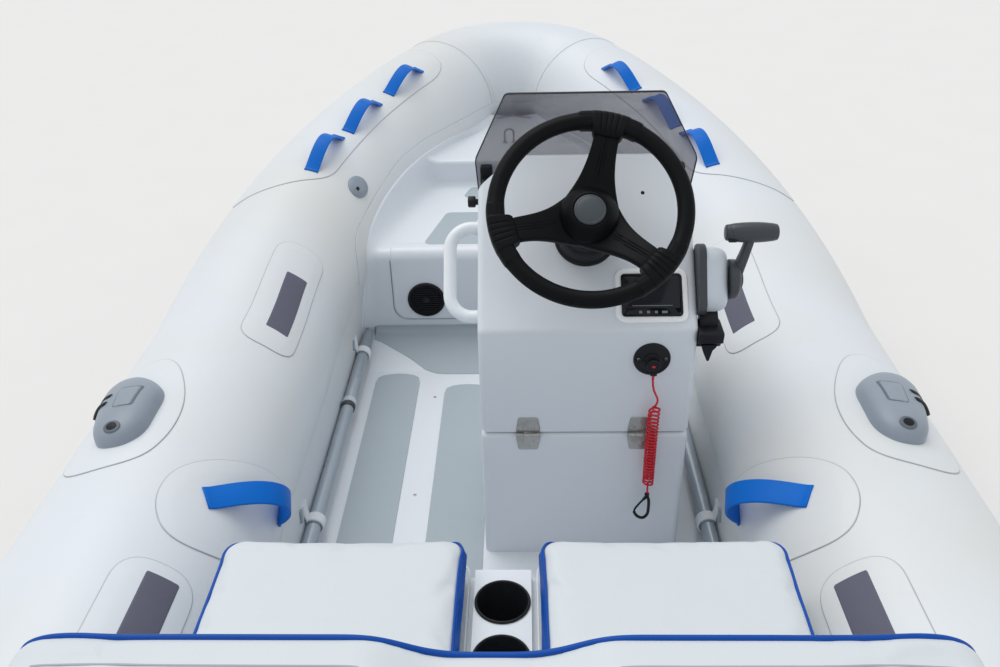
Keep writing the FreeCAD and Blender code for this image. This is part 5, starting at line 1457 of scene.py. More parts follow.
    def valves(self) -> None:
        """Flush valve covers with a dark lifting notch."""
        levels = ((0.0, 0.0095), (0.5, 0.0092), (0.78, 0.0085), (0.84, 0.0060), (0.90, 0.0058),
                  (0.97, 0.0040), (1.0, 0.0))
        dome = Dome((2.342, 137.0), self.oval(2.342, 137.0, 0.046, 8.8, 16, 0.02), levels)
        notch = Outline(((2.314, 135.4), (2.314, 138.6), (2.330, 138.2), (2.330, 135.8)), 0.004)
        piece("valve_covers", [dome.mesh_parts(side) for side in Side], ROWLOCK, "valves",
              crease=None)
        raised_pair("valve_notches", [notch.even(60)], mm(0, -2, 0.4, 0.6, 1.2, 0.7), BLACK,
                    base=dome.height)

    def build(self) -> None:
        """All of the fittings."""
        self.handles()
        self.grip_pads()
        self.oarlocks()
        self.valves()


# Bench

def laid_on(line: Array, skin: bpy.types.Object, lift: float) -> Two:
    """A line laid onto a padded skin.

    Args:
        line: points near the skin.
        skin: the padded piece.
        lift: how far the line stands off it.

    Returns:
        The nearest points plus the lift along the skin's normals, and those normals, both
        evened by a running mean of eleven.
    """
    tree = BVHTree.FromObject(skin, bpy.context.evaluated_depsgraph_get())
    hits = [tree.find_nearest(Vector(point)) for point in line]
    wide = np.ones(11) / 11

    def even(values: Array) -> Array:
        """Running mean that keeps the ends."""
        padded = np.concatenate([np.repeat(values[:1], 5, 0), values,
                                 np.repeat(values[-1:], 5, 0)])
        return np.stack([np.convolve(padded[:, k], wide, "valid") for k in range(3)], axis=-1)

    normal = unit(even(np.array([hit[1] for hit in hits])))
    return even(np.array([hit[0] for hit in hits])) + normal * lift, normal


@dataclass
class Cushion:
    """A seat cushion: crowned vinyl pad swollen as cloth, with blue welts sewn on.

    Sizes are metres. The pad fills the CAD cushion's box, with its inner welt towards the
    middle of the boat.
    """

    side: Side
    voxel: float = 0.006
    swell_cap: float = 0.007

    @property
    def word(self) -> str:
        """Name of the side."""
        return word_of(self.side)

    def box(self) -> Two:
        """Lowest and highest corner of the CAD cushion."""
        low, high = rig.box("cushion_" + self.word)
        return np.array(low), np.array(high) + np.array([0.006, 0.0, 0.0055])

    def block(self) -> Part:
        """Rounded pad a little smaller than its space, its top crowned and sides drawn in.

        Rings of a rounded rectangle in plan rise from the base to the top. The plan shrinks
        by a quarter circle at the top edge, and the top closes over scaled rings whose height
        adds a low crown.
        """
        low, high = self.box()
        mid, half = (low + high) / 2, (high - low) / 2
        inset, corner = 0.0045, 0.016
        plan = self.even(round_section(half[0] - inset, half[1] - inset, 0.026, 10), 220)
        rise = high[2] - low[2] - 0.004
        levels: list[tuple[float, float]] = [(0.30, 0.0), (0.7, 0.0), (0.97, 0.0), (0.992, 0.003)]
        levels += [(1.0 - 0.012 * math.sin(math.pi * k / 8), 0.006 + (rise - 0.022) * k / 8)
                   for k in range(9)]
        levels += [(1 - corner * (1 - math.cos(a)) / half[:2].min(),
                    rise - corner + corner * math.sin(a))
                   for a in np.linspace(0.15, math.pi / 2, 7)]
        levels += [((1 - corner / half[:2].min()) * share, rise + 0.003 * (1 - share ** 2))
                   for share in (0.93, 0.85, 0.7, 0.5, 0.3, 0.12)]
        foot = np.array([mid[0], mid[1], low[2] + 0.0005])
        return skin_of([lay(plan * share, 2, z) + foot for share, z in levels])

    @staticmethod
    def even(line: Array, count: int) -> Array:
        """Closed line at even spacing."""
        closed = np.concatenate([line, line[:1]])
        length = np.concatenate([[0], np.cumsum(np.linalg.norm(np.diff(closed, axis=0), axis=1))])
        at = np.linspace(0, length[-1], count, endpoint=False)
        return np.stack([np.interp(at, length, closed[:, k]) for k in range(line.shape[1])],
                        axis=-1)

    def pad(self) -> bpy.types.Object:
        """The swollen pad."""
        made = swell("cushion_pad_" + self.word, build_mesh("cushion", *self.block()),
                     self.voxel, self.swell_cap, self.box(), pressure=3.5)
        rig.padded(dress(made, VINYL, "cushion_" + self.word), fill=0.85)
        return made

    def outline(self, inset: float, z: float) -> Array:
        """Plan outline of the pad at a height, as a closed line from the rear inner corner."""
        low, high = self.box()
        mid, half = (low + high) / 2, (high - low) / 2
        plan = self.even(round_section(half[0] - inset, half[1] - inset, 0.026, 10), 260)
        return lay(plan + mid[:2], 2, z)

    def welts(self, skin: bpy.types.Object) -> None:
        """Wide welt over the inner edge, thin piping over the outer edge, stitch rows beside."""
        low, high = self.box()
        mid = (low + high) / 2
        inner, outer = (low[1], high[1])[::self.side]
        out, top = float(self.side), high[2]

        def line(edge: float, way: float, steps: Pairs, count: int) -> Array:
            """Line from the rear edge forward, drawn in from an edge and below the top."""
            ends = (low[0] + 0.004, mid[0], *(high[0] - ahead for ahead, _, _ in steps[2:]))
            return smooth_line([(x, edge + way * inset, top - down)
                                for x, (_, inset, down) in zip(ends, steps)], count)

        welt, lean = laid_on(line(inner, out, mm(
            0, 8.5, 12.5, 0, 8, 11.8, 55, 8.5, 12.5, 26, 11, 15, 10.5, 24, 22, 5.5, 42, 35,
            width=3), 120), skin, 0.0006)
        width = np.interp(np.linspace(0, 1, 120), [0, 0.86, 1], [1.0, 1.0, 0.45])
        pipe = laid_on(line(outer, -out, mm(0, 8.5, 10, 0, 7.5, 9.5, 60, 8.5, 10, 28, 12, 12, 11.5,
                                            27, 16, width=3), 110), skin, 0.0008)[0]
        piece("cushion_welts_" + self.word,
              [band_along(welt, lean, 0.0200, 0.0034, width),
               band_along(pipe, Z_DIR, 0.0058, 0.0058)], PIPING, crease=None)
        beside = np.cross(unit(np.gradient(welt, axis=0)), lean)
        piece("cushion_stitches_" + self.word,
              [stitches(welt + beside * across + lean * 0.0014, lean, 0.0052, 0.0009)
               for across in (-0.0055, 0.0055)], THREAD, crease=None)

    def seam(self) -> None:
        """Narrow seam line round the pad, low on its sides."""
        line = self.outline(0.0042, self.box()[0][2] + 0.012)
        closed = np.concatenate([line, line[:3]])
        piece("cushion_seam_" + self.word, [band_along(closed, Z_DIR, 0.003, 0.0022)], VINYL,
              crease=None)

    def build(self) -> None:
        """The whole cushion."""
        self.welts(self.pad())
        self.seam()


def stitches(path: Array, up: Array, pitch: float, thick: float) -> Part:
    """A row of short thread stitches along a path, each a small flat-ended capsule.

    The path is resampled evenly; every stitch is a six-sided tube along two thirds of a pitch,
    whose rings bow up a little at its middle.
    """
    length = np.concatenate([[0], np.cumsum(np.linalg.norm(np.diff(path, axis=0), axis=1))])
    starts = np.arange(pitch * 0.5, length[-1] - pitch, pitch)
    local = np.array([0.0, 0.08, 0.33, 0.58, 0.66]) * pitch
    rise = np.array([0.0, 0.5, 0.8, 0.5, 0.0]) * thick
    size = np.array([0.25, 0.9, 1.0, 0.9, 0.25]) * thick / 2
    at = starts[:, None] + local
    centre = np.stack([np.interp(at, length, path[:, k]) for k in range(3)], axis=-1)
    up = np.broadcast_to(np.asarray(up, float), (3,)) if np.ndim(up) == 1 else up[0]
    heading = unit(centre[:, -1:] - centre[:, :1])
    side = unit(np.cross(heading, up))
    over = np.cross(side, heading)
    turn = full_turn(6)
    ring = (np.cos(turn)[:, None] * side[:, :, None] + np.sin(turn)[:, None] * over[:, :, None])
    points = (centre + over * rise[:, None])[:, :, None] + ring * size[:, None, None]
    base = grid_faces(5, 6, wrap_cols=True)
    caps = np.array([[0, 1, 2, 3], [0, 3, 4, 5], [27, 26, 25, 24], [29, 28, 27, 24]])
    single = np.concatenate([base, caps])
    offsets = np.arange(len(starts)) * 30
    return points.reshape(-1, 3), (single[None] + offsets[:, None, None]).reshape(-1, 4)


def swell(name: str, mesh: bpy.types.Mesh, voxel: float, cap: float,
          limits: Two, pressure: float = 4.0, frames: int = 20,
          hold: Callable[[Array], Array] | None = None) -> bpy.types.Object:
    """Fill a closed skin with air as cloth, keep the result and no modifier.

    Args:
        name: the object's name.
        mesh: the closed start shape.
        voxel: edge of the remesh.
        cap: the farthest that a point may move.
        limits: box that the result stays in.
        pressure: the cloth's pressure.
        frames: the frames stepped through.
        hold: gives a share of 0 to 1 by which each start point may move.

    Returns:
        The object, in the scene.
    """
    made, scene = fresh(name, mesh), bpy.context.scene
    remesh = made.modifiers.new("remesh", "REMESH")
    remesh.mode, remesh.voxel_size, remesh.use_smooth_shade = "VOXEL", voxel, True
    made.data = applied_mesh(made)
    made.modifiers.clear()
    start = mesh_points(made.data)
    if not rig.quick():
        cloth = made.modifiers.new("cloth", "CLOTH")
        for key, value in (("use_pressure", True), ("uniform_pressure_force", pressure),
                           ("quality", 6), ("mass", 0.35), ("tension_stiffness", 22.0),
                           ("compression_stiffness", 22.0), ("bending_stiffness", 1.2)):
            setattr(cloth.settings, key, value)
        cloth.settings.effector_weights.gravity = 0.0
        cloth.collision_settings.use_collision = False
        cloth.point_cache.frame_start, cloth.point_cache.frame_end = 1, frames
        for number in range(1, frames + 1):
            scene.frame_set(number)
        made.data = applied_mesh(made)
        made.modifiers.clear()
        scene.frame_set(1)
        move = mesh_points(made.data) - start
        far = np.linalg.norm(move, axis=1, keepdims=True)
        move *= np.minimum(1.0, cap / np.maximum(far, 1e-9))
        if hold is not None:
            move *= hold(start)[:, None]
        now = np.clip(start + move, limits[0] + 0.0004, limits[1] + np.array([0, 0, 0.006]))
        made.data.vertices.foreach_set("co", now.astype(np.float32).ravel())
        made.data.update()
    smooth = made.modifiers.new("smooth", "SUBSURF")
    smooth.levels = smooth.render_levels = 1
    made.data = applied_mesh(made)
    made.modifiers.clear()
    return made


def mesh_points(mesh: bpy.types.Mesh) -> Array:
    """Vertex positions of a mesh."""
    out = np.empty(len(mesh.vertices) * 3, np.float32)
    mesh.vertices.foreach_get("co", out)
    return out.reshape(-1, 3).astype(float)


def applied_mesh(made: bpy.types.Object) -> bpy.types.Mesh:
    """The object's mesh with its modifiers worked in."""
    graph = bpy.context.evaluated_depsgraph_get()
    graph.update()
    mesh = bpy.data.meshes.new_from_object(made.evaluated_get(graph))
    mesh.polygons.foreach_set("use_smooth", np.ones(len(mesh.polygons), bool))
    return mesh


@dataclass
class Backrest:
    """Backrest pad with a dipped top edge, blue piping along its front edge and a seam."""

    voxel: float = 0.006
    dip: float = 0.024
    ends: float = 0.012

    def box(self) -> Two:
        """Lowest and highest corner of the CAD pad."""
        low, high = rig.box("backrest_pad")
        return (np.array(low) - np.array([0.0, 0.009, 0.0]),
                np.array(high) + np.array([0.0, 0.009, 0.0065]))

    def top(self, y: Array) -> Array:
        """Height of the top edge at a side place.

        The edge is level, less a smooth dip between 45 and 100 mm from the middle and a slow
        fall over the last 90 mm at each end.
        """
        high = self.box()[1]
        half, away = high[1], np.abs(y)
        dip = np.clip((0.125 - away) / 0.085, 0, 1)
        end = np.clip((away - (half - 0.10)) / 0.10, 0, 1)
        return high[2] - self.dip * dip * dip * (3 - 2 * dip) - self.ends * end * end

    def outline(self, inset: float, count: int = 260) -> Array:
        """Closed outline in Y and Z, inset from the pad's space, corners rounded."""
        low, high = self.box()
        half = high[1] - inset
        z_low = low[2] + inset
        y = np.linspace(half, -half, 160)
        top = np.stack([y, self.top(y) - inset], axis=-1)
        corner = 0.03
        away = np.clip((np.abs(y) - (half - corner)) / corner, 0, 1)
        top[:, 1] -= corner * (1 - np.sqrt(np.maximum(1 - away ** 2, 0)))
        base = np.array([[-half, z_low], [half, z_low]])
        return Cushion.even(np.concatenate([top, base]), count)

    def block(self) -> Part:
        """Pad skin: rings of the outline from back to front, the front edge rounded."""
        low, high = self.box()
        depth = high[0] - low[0]
        rows: list[tuple[float, float]] = []
        corner = 0.017
        for angle in np.linspace(0.2, math.pi / 2, 5):
            rows.append((low[0] + 0.010 * (1 - math.sin(angle)) + 0.001,
                         0.003 + 0.010 * (1 - math.sin(angle) * 1.0)))
        rows += [(low[0] + depth * s, 0.0035) for s in (0.3, 0.45, 0.6)]
        for angle in np.linspace(0.0, math.pi / 2 - 0.1, 7):
            rows.append((high[0] - 0.003 - corner + corner * math.sin(angle),
                         0.0035 + corner * (1 - math.cos(angle))))
        middle = np.array([0.0, (low[2] + high[2]) / 2])
        first, last = self.outline(0.018), self.outline(0.022)
        rings = [lay(middle + (first - middle) * share, 0, low[0] + 0.001)
                 for share in (0.25, 0.6, 0.85)]
        rings += [lay(self.outline(inset), 0, x) for x, inset in rows]
        rings += [lay(middle + (last - middle) * share, 0, high[0] - 0.0025 + 0.001 * (1 - share))
                  for share in (0.97, 0.9, 0.8, 0.65, 0.45, 0.22)]
        return skin_of(rings)

    def pad(self) -> bpy.types.Object:
        """The swollen pad."""
        low, high = self.box()

        def hold(start: Array) -> Array:
            """Points at the back and foot stay; the rest may move."""
            return np.clip((start[:, 0] - low[0]) / 0.012, 0, 1)

        made = swell("backrest_pad_skin", build_mesh("backrest", *self.block()), self.voxel,
                     0.006, (low, high), 3.0, hold=hold)
        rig.padded(dress(made, VINYL, "backrest_pad"), fill=0.85)
        return made

    def edge_line(self, inset: float, x: float, reach: float = 1.0) -> Array:
        """Line along the top edge and a little way down both ends."""
        line = self.outline(inset, 520)
        part = line[line[:, 1] > self.box()[1][2] - 0.20 * reach]
        start = np.argmax(np.linalg.norm(np.diff(np.concatenate([part, part[:1]]), axis=0),
                                         axis=1))
        part = np.roll(part, -(start + 1), axis=0)
        return lay(part, 0, x)

    def piping(self, skin: bpy.types.Object) -> None:
        """Blue piping over the front top edge, and a thin seam along the top."""
        low, high = self.box()
        front = laid_on(self.edge_line(0.0040, high[0] - 0.0055), skin, 0.0012)[0]
        piece("backrest_piping", [band_along(front, np.array([0.6, 0.0, 0.8]), 0.0064, 0.0064)],
              PIPING, crease=None)
        seam = laid_on(self.edge_line(0.0030, low[0] + 0.018), skin, 0.0002)[0]
        piece("backrest_seam", [band_along(seam, X_DIR, 0.0016, 0.0024)], VINYL_DARK, crease=None)

    def build(self) -> None:
        """The whole backrest pad."""
        self.piping(self.pad())


@dataclass
class CupRings:
    """Rounded black rims of the cup holders, with ribs in their wells."""

    radius: float = 0.0365
    lip: float = 0.041

    def ring(self, x: float, z: float) -> Part:
        """A turned cup: lip, wall and floor as one profile spun round its axis."""
        profile = np.array([(0.0, -0.0795), (self.radius + 0.0015, -0.0795),
                            (self.radius + 0.0019, 0.0002), (self.lip - 0.0006, 0.0003),
                            (self.lip, 0.0014), (self.lip - 0.0006, 0.0030),
                            (self.lip - 0.0024, 0.0040), (self.radius + 0.0012, 0.0036),
                            (self.radius + 0.0001, 0.0020), (self.radius, -0.0300),
                            (self.radius - 0.0012, -0.0310), (self.radius - 0.0014, -0.0760),
                            (self.radius - 0.006, -0.0779), (0.0, -0.0781)])
        return spun(profile, (x, 0.0, z), Z_DIR, X_DIR, 64)

    def build(self) -> None:
        """Both cups."""
        low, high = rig.box("cup_holders")
        z = high[2] - 0.0025
        aft, fore = low[0] + self.lip, high[0] - self.lip
        piece("cup_liners", [self.ring(aft, z), self.ring(fore, z)], BLACK, "cup_holders",
              crease=None)


def spun(profile: Array, base: Array | Sequence[float], axis: Array | Sequence[float],
         side: Array | Sequence[float], count: int = 48) -> Part:
    """A profile of radius and height spun about an axis, closed at both ends.

    Args:
        profile: pairs of radius and height, its ends at radius 0 or closed by fans.
        base: the foot of the axis.
        axis: its direction.
        side: the direction of the first point.
        count: points round.

    Returns:
        Points and faces: base + radius (cos side + sin third) + height axis.
    """
    profile, base = np.asarray(profile, float), np.asarray(base, float)
    axis, side = unit(np.asarray(axis, float)), unit(np.asarray(side, float))
    side = unit(side - axis * (side @ axis))
    third = np.cross(axis, side)
    turn = full_turn(count)
    around = np.cos(turn)[:, None] * side + np.sin(turn)[:, None] * third
    inner = profile[profile[:, 0] > 1e-7]
    points, faces = skin_of(base + inner[:, :1, None] * around[None] + inner[:, 1:, None] * axis)
    for end in (0, -1):
        if profile[end, 0] <= 1e-7:
            points[(-2, -1)[end]] = base + profile[end, 1] * axis
    return points, faces


# Console

def rounded_polygon(corners: Pairs, radii: Sequence[float], per_corner: int = 7) -> Array:
    """Closed convex outline whose corners are arcs.

    Args:
        corners: corners in order.
        radii: the radius at each.
        per_corner: points on each arc.

    Returns:
        Points; each arc touches its two sides at the radius over the tangent of half the
        inner angle from the corner.
    """
    p = np.asarray(corners, float)
    out = []
    for i, radius in enumerate(radii):
        before, after = unit(p[i - 1] - p[i]), unit(p[(i + 1) % len(p)] - p[i])
        half = math.acos(float(np.clip(before @ after, -1, 1))) / 2
        if radius <= 1e-6:
            out.append(np.repeat(p[i][None], per_corner, axis=0))
            continue
        middle = p[i] + unit(before + after) * radius / math.sin(half)
        start = p[i] + before * radius / math.tan(half) - middle
        end = p[i] + after * radius / math.tan(half) - middle
        a, b = math.atan2(start[1], start[0]), math.atan2(end[1], end[0])
        turn = (b - a + math.pi) % (2 * math.pi) - math.pi
        angle = a + turn * np.linspace(0, 1, per_corner)
        out.append(middle + radius * np.stack([np.cos(angle), np.sin(angle)], axis=-1))
    return np.concatenate(out)


Skin = bpy.types.Mesh | Part


def rounded_prism(line: Callable[[float], Array], low: float, high: float, edge: float,
                  place: Callable[[Array, float], Array]) -> Part:
    """A prism whose two ends are rounded over.

    Args:
        line: gives the outline drawn in by a distance.
        low: where the prism starts.
        high: where it ends.
        edge: radius of the rounding at both ends.
        place: turns flat points at a station into space points.

    Returns:
        Points and faces. Ring k of an end is drawn in by edge (1 - sin a) and stands
        edge (1 - cos a) inside the end, with a from 0 to a quarter turn.
    """
    turn = np.linspace(0, math.pi / 2, 7)
    rings = []
    middle = line(edge).mean(axis=0)
    flat = line(edge)
    for share in (0.35, 0.75):
        rings.append(place(middle + (flat - middle) * share, low))
    for a in turn:
        rings.append(place(line(edge * (1 - math.sin(a))), low + edge * (1 - math.cos(a))))
    for a in turn[::-1]:
        rings.append(place(line(edge * (1 - math.sin(a))), high - edge * (1 - math.cos(a))))
    for share in (0.75, 0.35):
        rings.append(place(middle + (flat - middle) * share, high))
    return skin_of(rings)


def shift_polygon(corners: Pairs, inset: float) -> list[Array]:
    """Convex polygon with every side moved inwards by the same distance."""
    p = np.asarray(corners, float)
    middle = p.mean(axis=0)
    out = []
    for i in range(len(p)):
        a, b, c = p[i - 1], p[i], p[(i + 1) % len(p)]
        lines = []
        for s, e in ((a, b), (b, c)):
            along = unit(e - s)
            normal = np.array([-along[1], along[0]])
            if normal @ (middle - s) < 0:
                normal = -normal
            lines.append((s + normal * inset, along))
        (p0, d0), (p1, d1) = lines
        cross = d0[0] * d1[1] - d0[1] * d1[0]
        t = ((p1 - p0)[0] * d1[1] - (p1 - p0)[1] * d1[0]) / cross
        out.append(p0 + d0 * t)
    return out


def solid_mesh(name: str, skin: Skin) -> bpy.types.Mesh:
    """The skin as a mesh; a mesh stays as it is."""
    return skin if isinstance(skin, bpy.types.Mesh) else build_mesh(name, *skin)


def carved(name: str, outer: Skin, knives: Sequence[Skin]) -> bpy.types.Mesh:
    """A closed skin with other closed skins cut out of it.

    Args:
        name: the mesh's name.
        outer: points and faces.
        knives: points and faces of each knife.

    Returns:
        The mesh, flat runs shaded flat by its custom normals.
    """
    made = fresh(name + "_block", solid_mesh(name, outer))
    used = [made]
    for number, knife in enumerate(knives):
        used.append(fresh(f"{name}_knife_{number}", solid_mesh(name + "_knife", knife)))
        cut = made.modifiers.new(f"cut_{number}", "BOOLEAN")
        cut.operation, cut.solver, cut.object = "DIFFERENCE", "EXACT", used[-1]
    mesh = applied_mesh(made)
    for item in used:
        bpy.data.objects.remove(item)
    mesh.set_sharp_from_angle(angle=math.radians(32.0))
    return mesh


@dataclass
class Console:
    """Two-part console mouldings with rounded edges, real walls and a lip at the split."""

    aft: float = 1.281
    fore: float = 1.660
    port: float = 0.050
    starboard: float = -0.345
    floor: float = 0.140
    split: float = 0.448
    gap: float = 0.003
    dash_low: float = 0.674
    ridge_point: tuple[float, float] = (1.5306, 0.9267)
    wall: float = 0.006
    edge: float = 0.013

    def top(self) -> None:
        """Upper moulding: rounded dash profile carried across, hollow from below."""
        low = self.split + self.gap / 2
        corners = [(self.aft, low), (self.fore - 0.010, low), self.ridge_point,
                   (self.aft, self.dash_low)]
        radii = [0.004, 0.004, 0.012, 0.018]

        def line(inset: float) -> Array:
            """The outline drawn in."""
            return rounded_polygon(shift_polygon(corners, inset),
                                   [max(r - inset, 0.0005) for r in radii])

        def place(flat: Array, y: float) -> Array:
            """X and Z at a side place."""
            return lay(flat, 1, y)

        outer = rounded_prism(line, self.starboard, self.port, self.edge, place)
        w = self.wall
        foot_aft, foot_fore, ridge, dash = shift_polygon(corners, w)
        hollow = [(foot_aft[0], low - 0.02), (foot_fore[0], low - 0.02), ridge, dash]

        def inner(inset: float) -> Array:
            """The hollow's outline drawn in."""
            return rounded_polygon(shift_polygon(hollow, inset), [max(0.006 - inset, 0.0005)] * 4)

        knife = rounded_prism(inner, self.starboard + w, self.port - w, 0.004, place)
        shell = carved("console_top_skin", outer, [self.wedge(side, 0.0) for side in Side])
        hollow = carved("console_hollow", knife, [self.wedge(side, w) for side in Side])
        mesh = carved("console_top", shell, [hollow])
        piece("console_top_moulding", mesh, WHITE_GEL, "console_top", body="console")

    def wedge(self, side: int, depth: float) -> Part:
        """Block that takes a far top corner away along a slanting facet.

        Args:
            side: 1 for port, -1 for starboard.
            depth: how far the facet is drawn into the console.

        Returns:
            Closed points and faces; the facet runs through three points on the edges.
        """
        mid, half = (self.port + self.starboard) / 2, (self.port - self.starboard) / 2
        a, b, c = (np.array([x, mid + side * (half - y), z]) for x, y, z in (
            (1.476, 0.0, 0.8715), (1.520, 0.067, 0.916), (1.587, 0.0, 0.700)))
        normal, across = side * unit(np.cross(b - a, c - a)), unit(c - a)
        plane = Plane(tuple(a - normal * depth), tuple(across), tuple(np.cross(normal, across)))
        square = mm(-300, -300, 300, -300, 300, 300, -300, 300)
        return skin_of(np.stack([plane.at(square, 0.0), plane.at(square, 0.3)]))

    def base(self) -> None:
        """Lower moulding: a rounded box with a turned lip at its top edge, open inside."""
        top = self.split - self.gap / 2
        mid = np.array([(self.aft + self.fore) / 2, (self.port + self.starboard) / 2])
        half = np.array([(self.fore - self.aft) / 2, (self.port - self.starboard) / 2])

        def ring(inset: float, z: float) -> Array:
            """Rounded plan at a height."""
            plan = round_section(half[0] - inset, half[1] - inset, 0.013, 7)
            return lay(plan + mid, 2, z)

        turn = np.linspace(0, math.pi / 2, 7)
        rows = [ring(0.0, self.floor), ring(0.0, self.floor + 0.02), ring(0.0, top - 0.05)]
        rows += [ring(0.010 * (1 - math.cos(a)), top - 0.010 + 0.010 * math.sin(a)) for a in turn]
        rows += [ring(0.022, top), ring(0.024, top - 0.002), ring(0.024, top - 0.008),
                 ring(self.wall, top - 0.010), ring(self.wall, self.floor)]
        piece("console_base_moulding", [loop_skin(rows)], WHITE_GEL, "console_base", crease=32)

    def build(self) -> None:
        """Both mouldings."""
        self.top()
        self.base()


@dataclass(frozen=True)
class Plane:
    """A flat place with its own axes: across, up and off the face."""

    origin: tuple[float, float, float]
    across: tuple[float, float, float]
    up: tuple[float, float, float]

    @property
    def off(self) -> Array:
        """Direction off the face."""
        return np.cross(np.asarray(self.across), np.asarray(self.up))

    def at(self, flat: Array, height: Array | float) -> Array:
        """Space points of flat ones at a height off the face."""
        flat = np.asarray(flat, float)
        height = np.broadcast_to(np.asarray(height, float), flat.shape[:-1])
        return (np.asarray(self.origin) + flat[..., :1] * np.asarray(self.across)
                + flat[..., 1:] * np.asarray(self.up) + height[..., None] * self.off)

    def spin(self, profile: Array, count: int = 48) -> Part:
        """A profile of radius and height spun about the way off the face."""
        return spun(profile, self.origin, self.off, self.across, count)

    def moved(self, x: float, y: float, off: float = 0.0) -> "Plane":
        """The same axes at another spot."""
        spot = self.at(np.array([x, y]), off)
        return Plane(tuple(spot), self.across, self.up)


DASH_LENGTH = math.hypot(0.239, 0.242)
DASH_UP = (0.239 / DASH_LENGTH, 0.0, 0.242 / DASH_LENGTH)
DASH = Plane((1.281, 0.0, 0.674), (0.0, -1.0, 0.0), DASH_UP)
AFT_FACE = Plane((1.281, 0.0, 0.0), (0.0, -1.0, 0.0), (0.0, 0.0, 1.0))


def plate(plane: Plane, half_a: float, half_b: float, corner: float,
          levels: Pairs, per_corner: int = 8) -> Part:
    """A rounded plate built of drawn-in rings on a flat place.

    Args:
        plane: where it lies, its origin the plate's middle.
        half_a: half width across.
        half_b: half height.
        corner: corner radius.
        levels: pairs of inset and height, from the foot over the top to the middle.
        per_corner: points on each corner.

    Returns:
        Closed points and faces; corner radii shrink with the inset.
    """
    rings = []
    for inset, height in levels:
        flat = round_section(half_a - inset, half_b - inset, max(corner - inset, 0.0006),
                             per_corner)
        rings.append(plane.at(flat, height))
    return skin_of(rings)


def screw(plane: Plane, x: float, y: float, radius: float, lift: float) -> Part:
    """A domed screw head with a recess, spun about the face's normal."""
    profile = np.array([(0.0, -0.001), (radius, -0.001), (radius, 0.0002),
                        (radius * 0.9, lift * 0.75), (radius * 0.55, lift),
                        (radius * 0.5, lift * 0.95), (radius * 0.42, lift * 0.15),
                        (0.0, lift * 0.1)])
    spot = plane.moved(x, y)
    return spun(profile, np.asarray(spot.origin), plane.off, np.asarray(plane.across), 20)


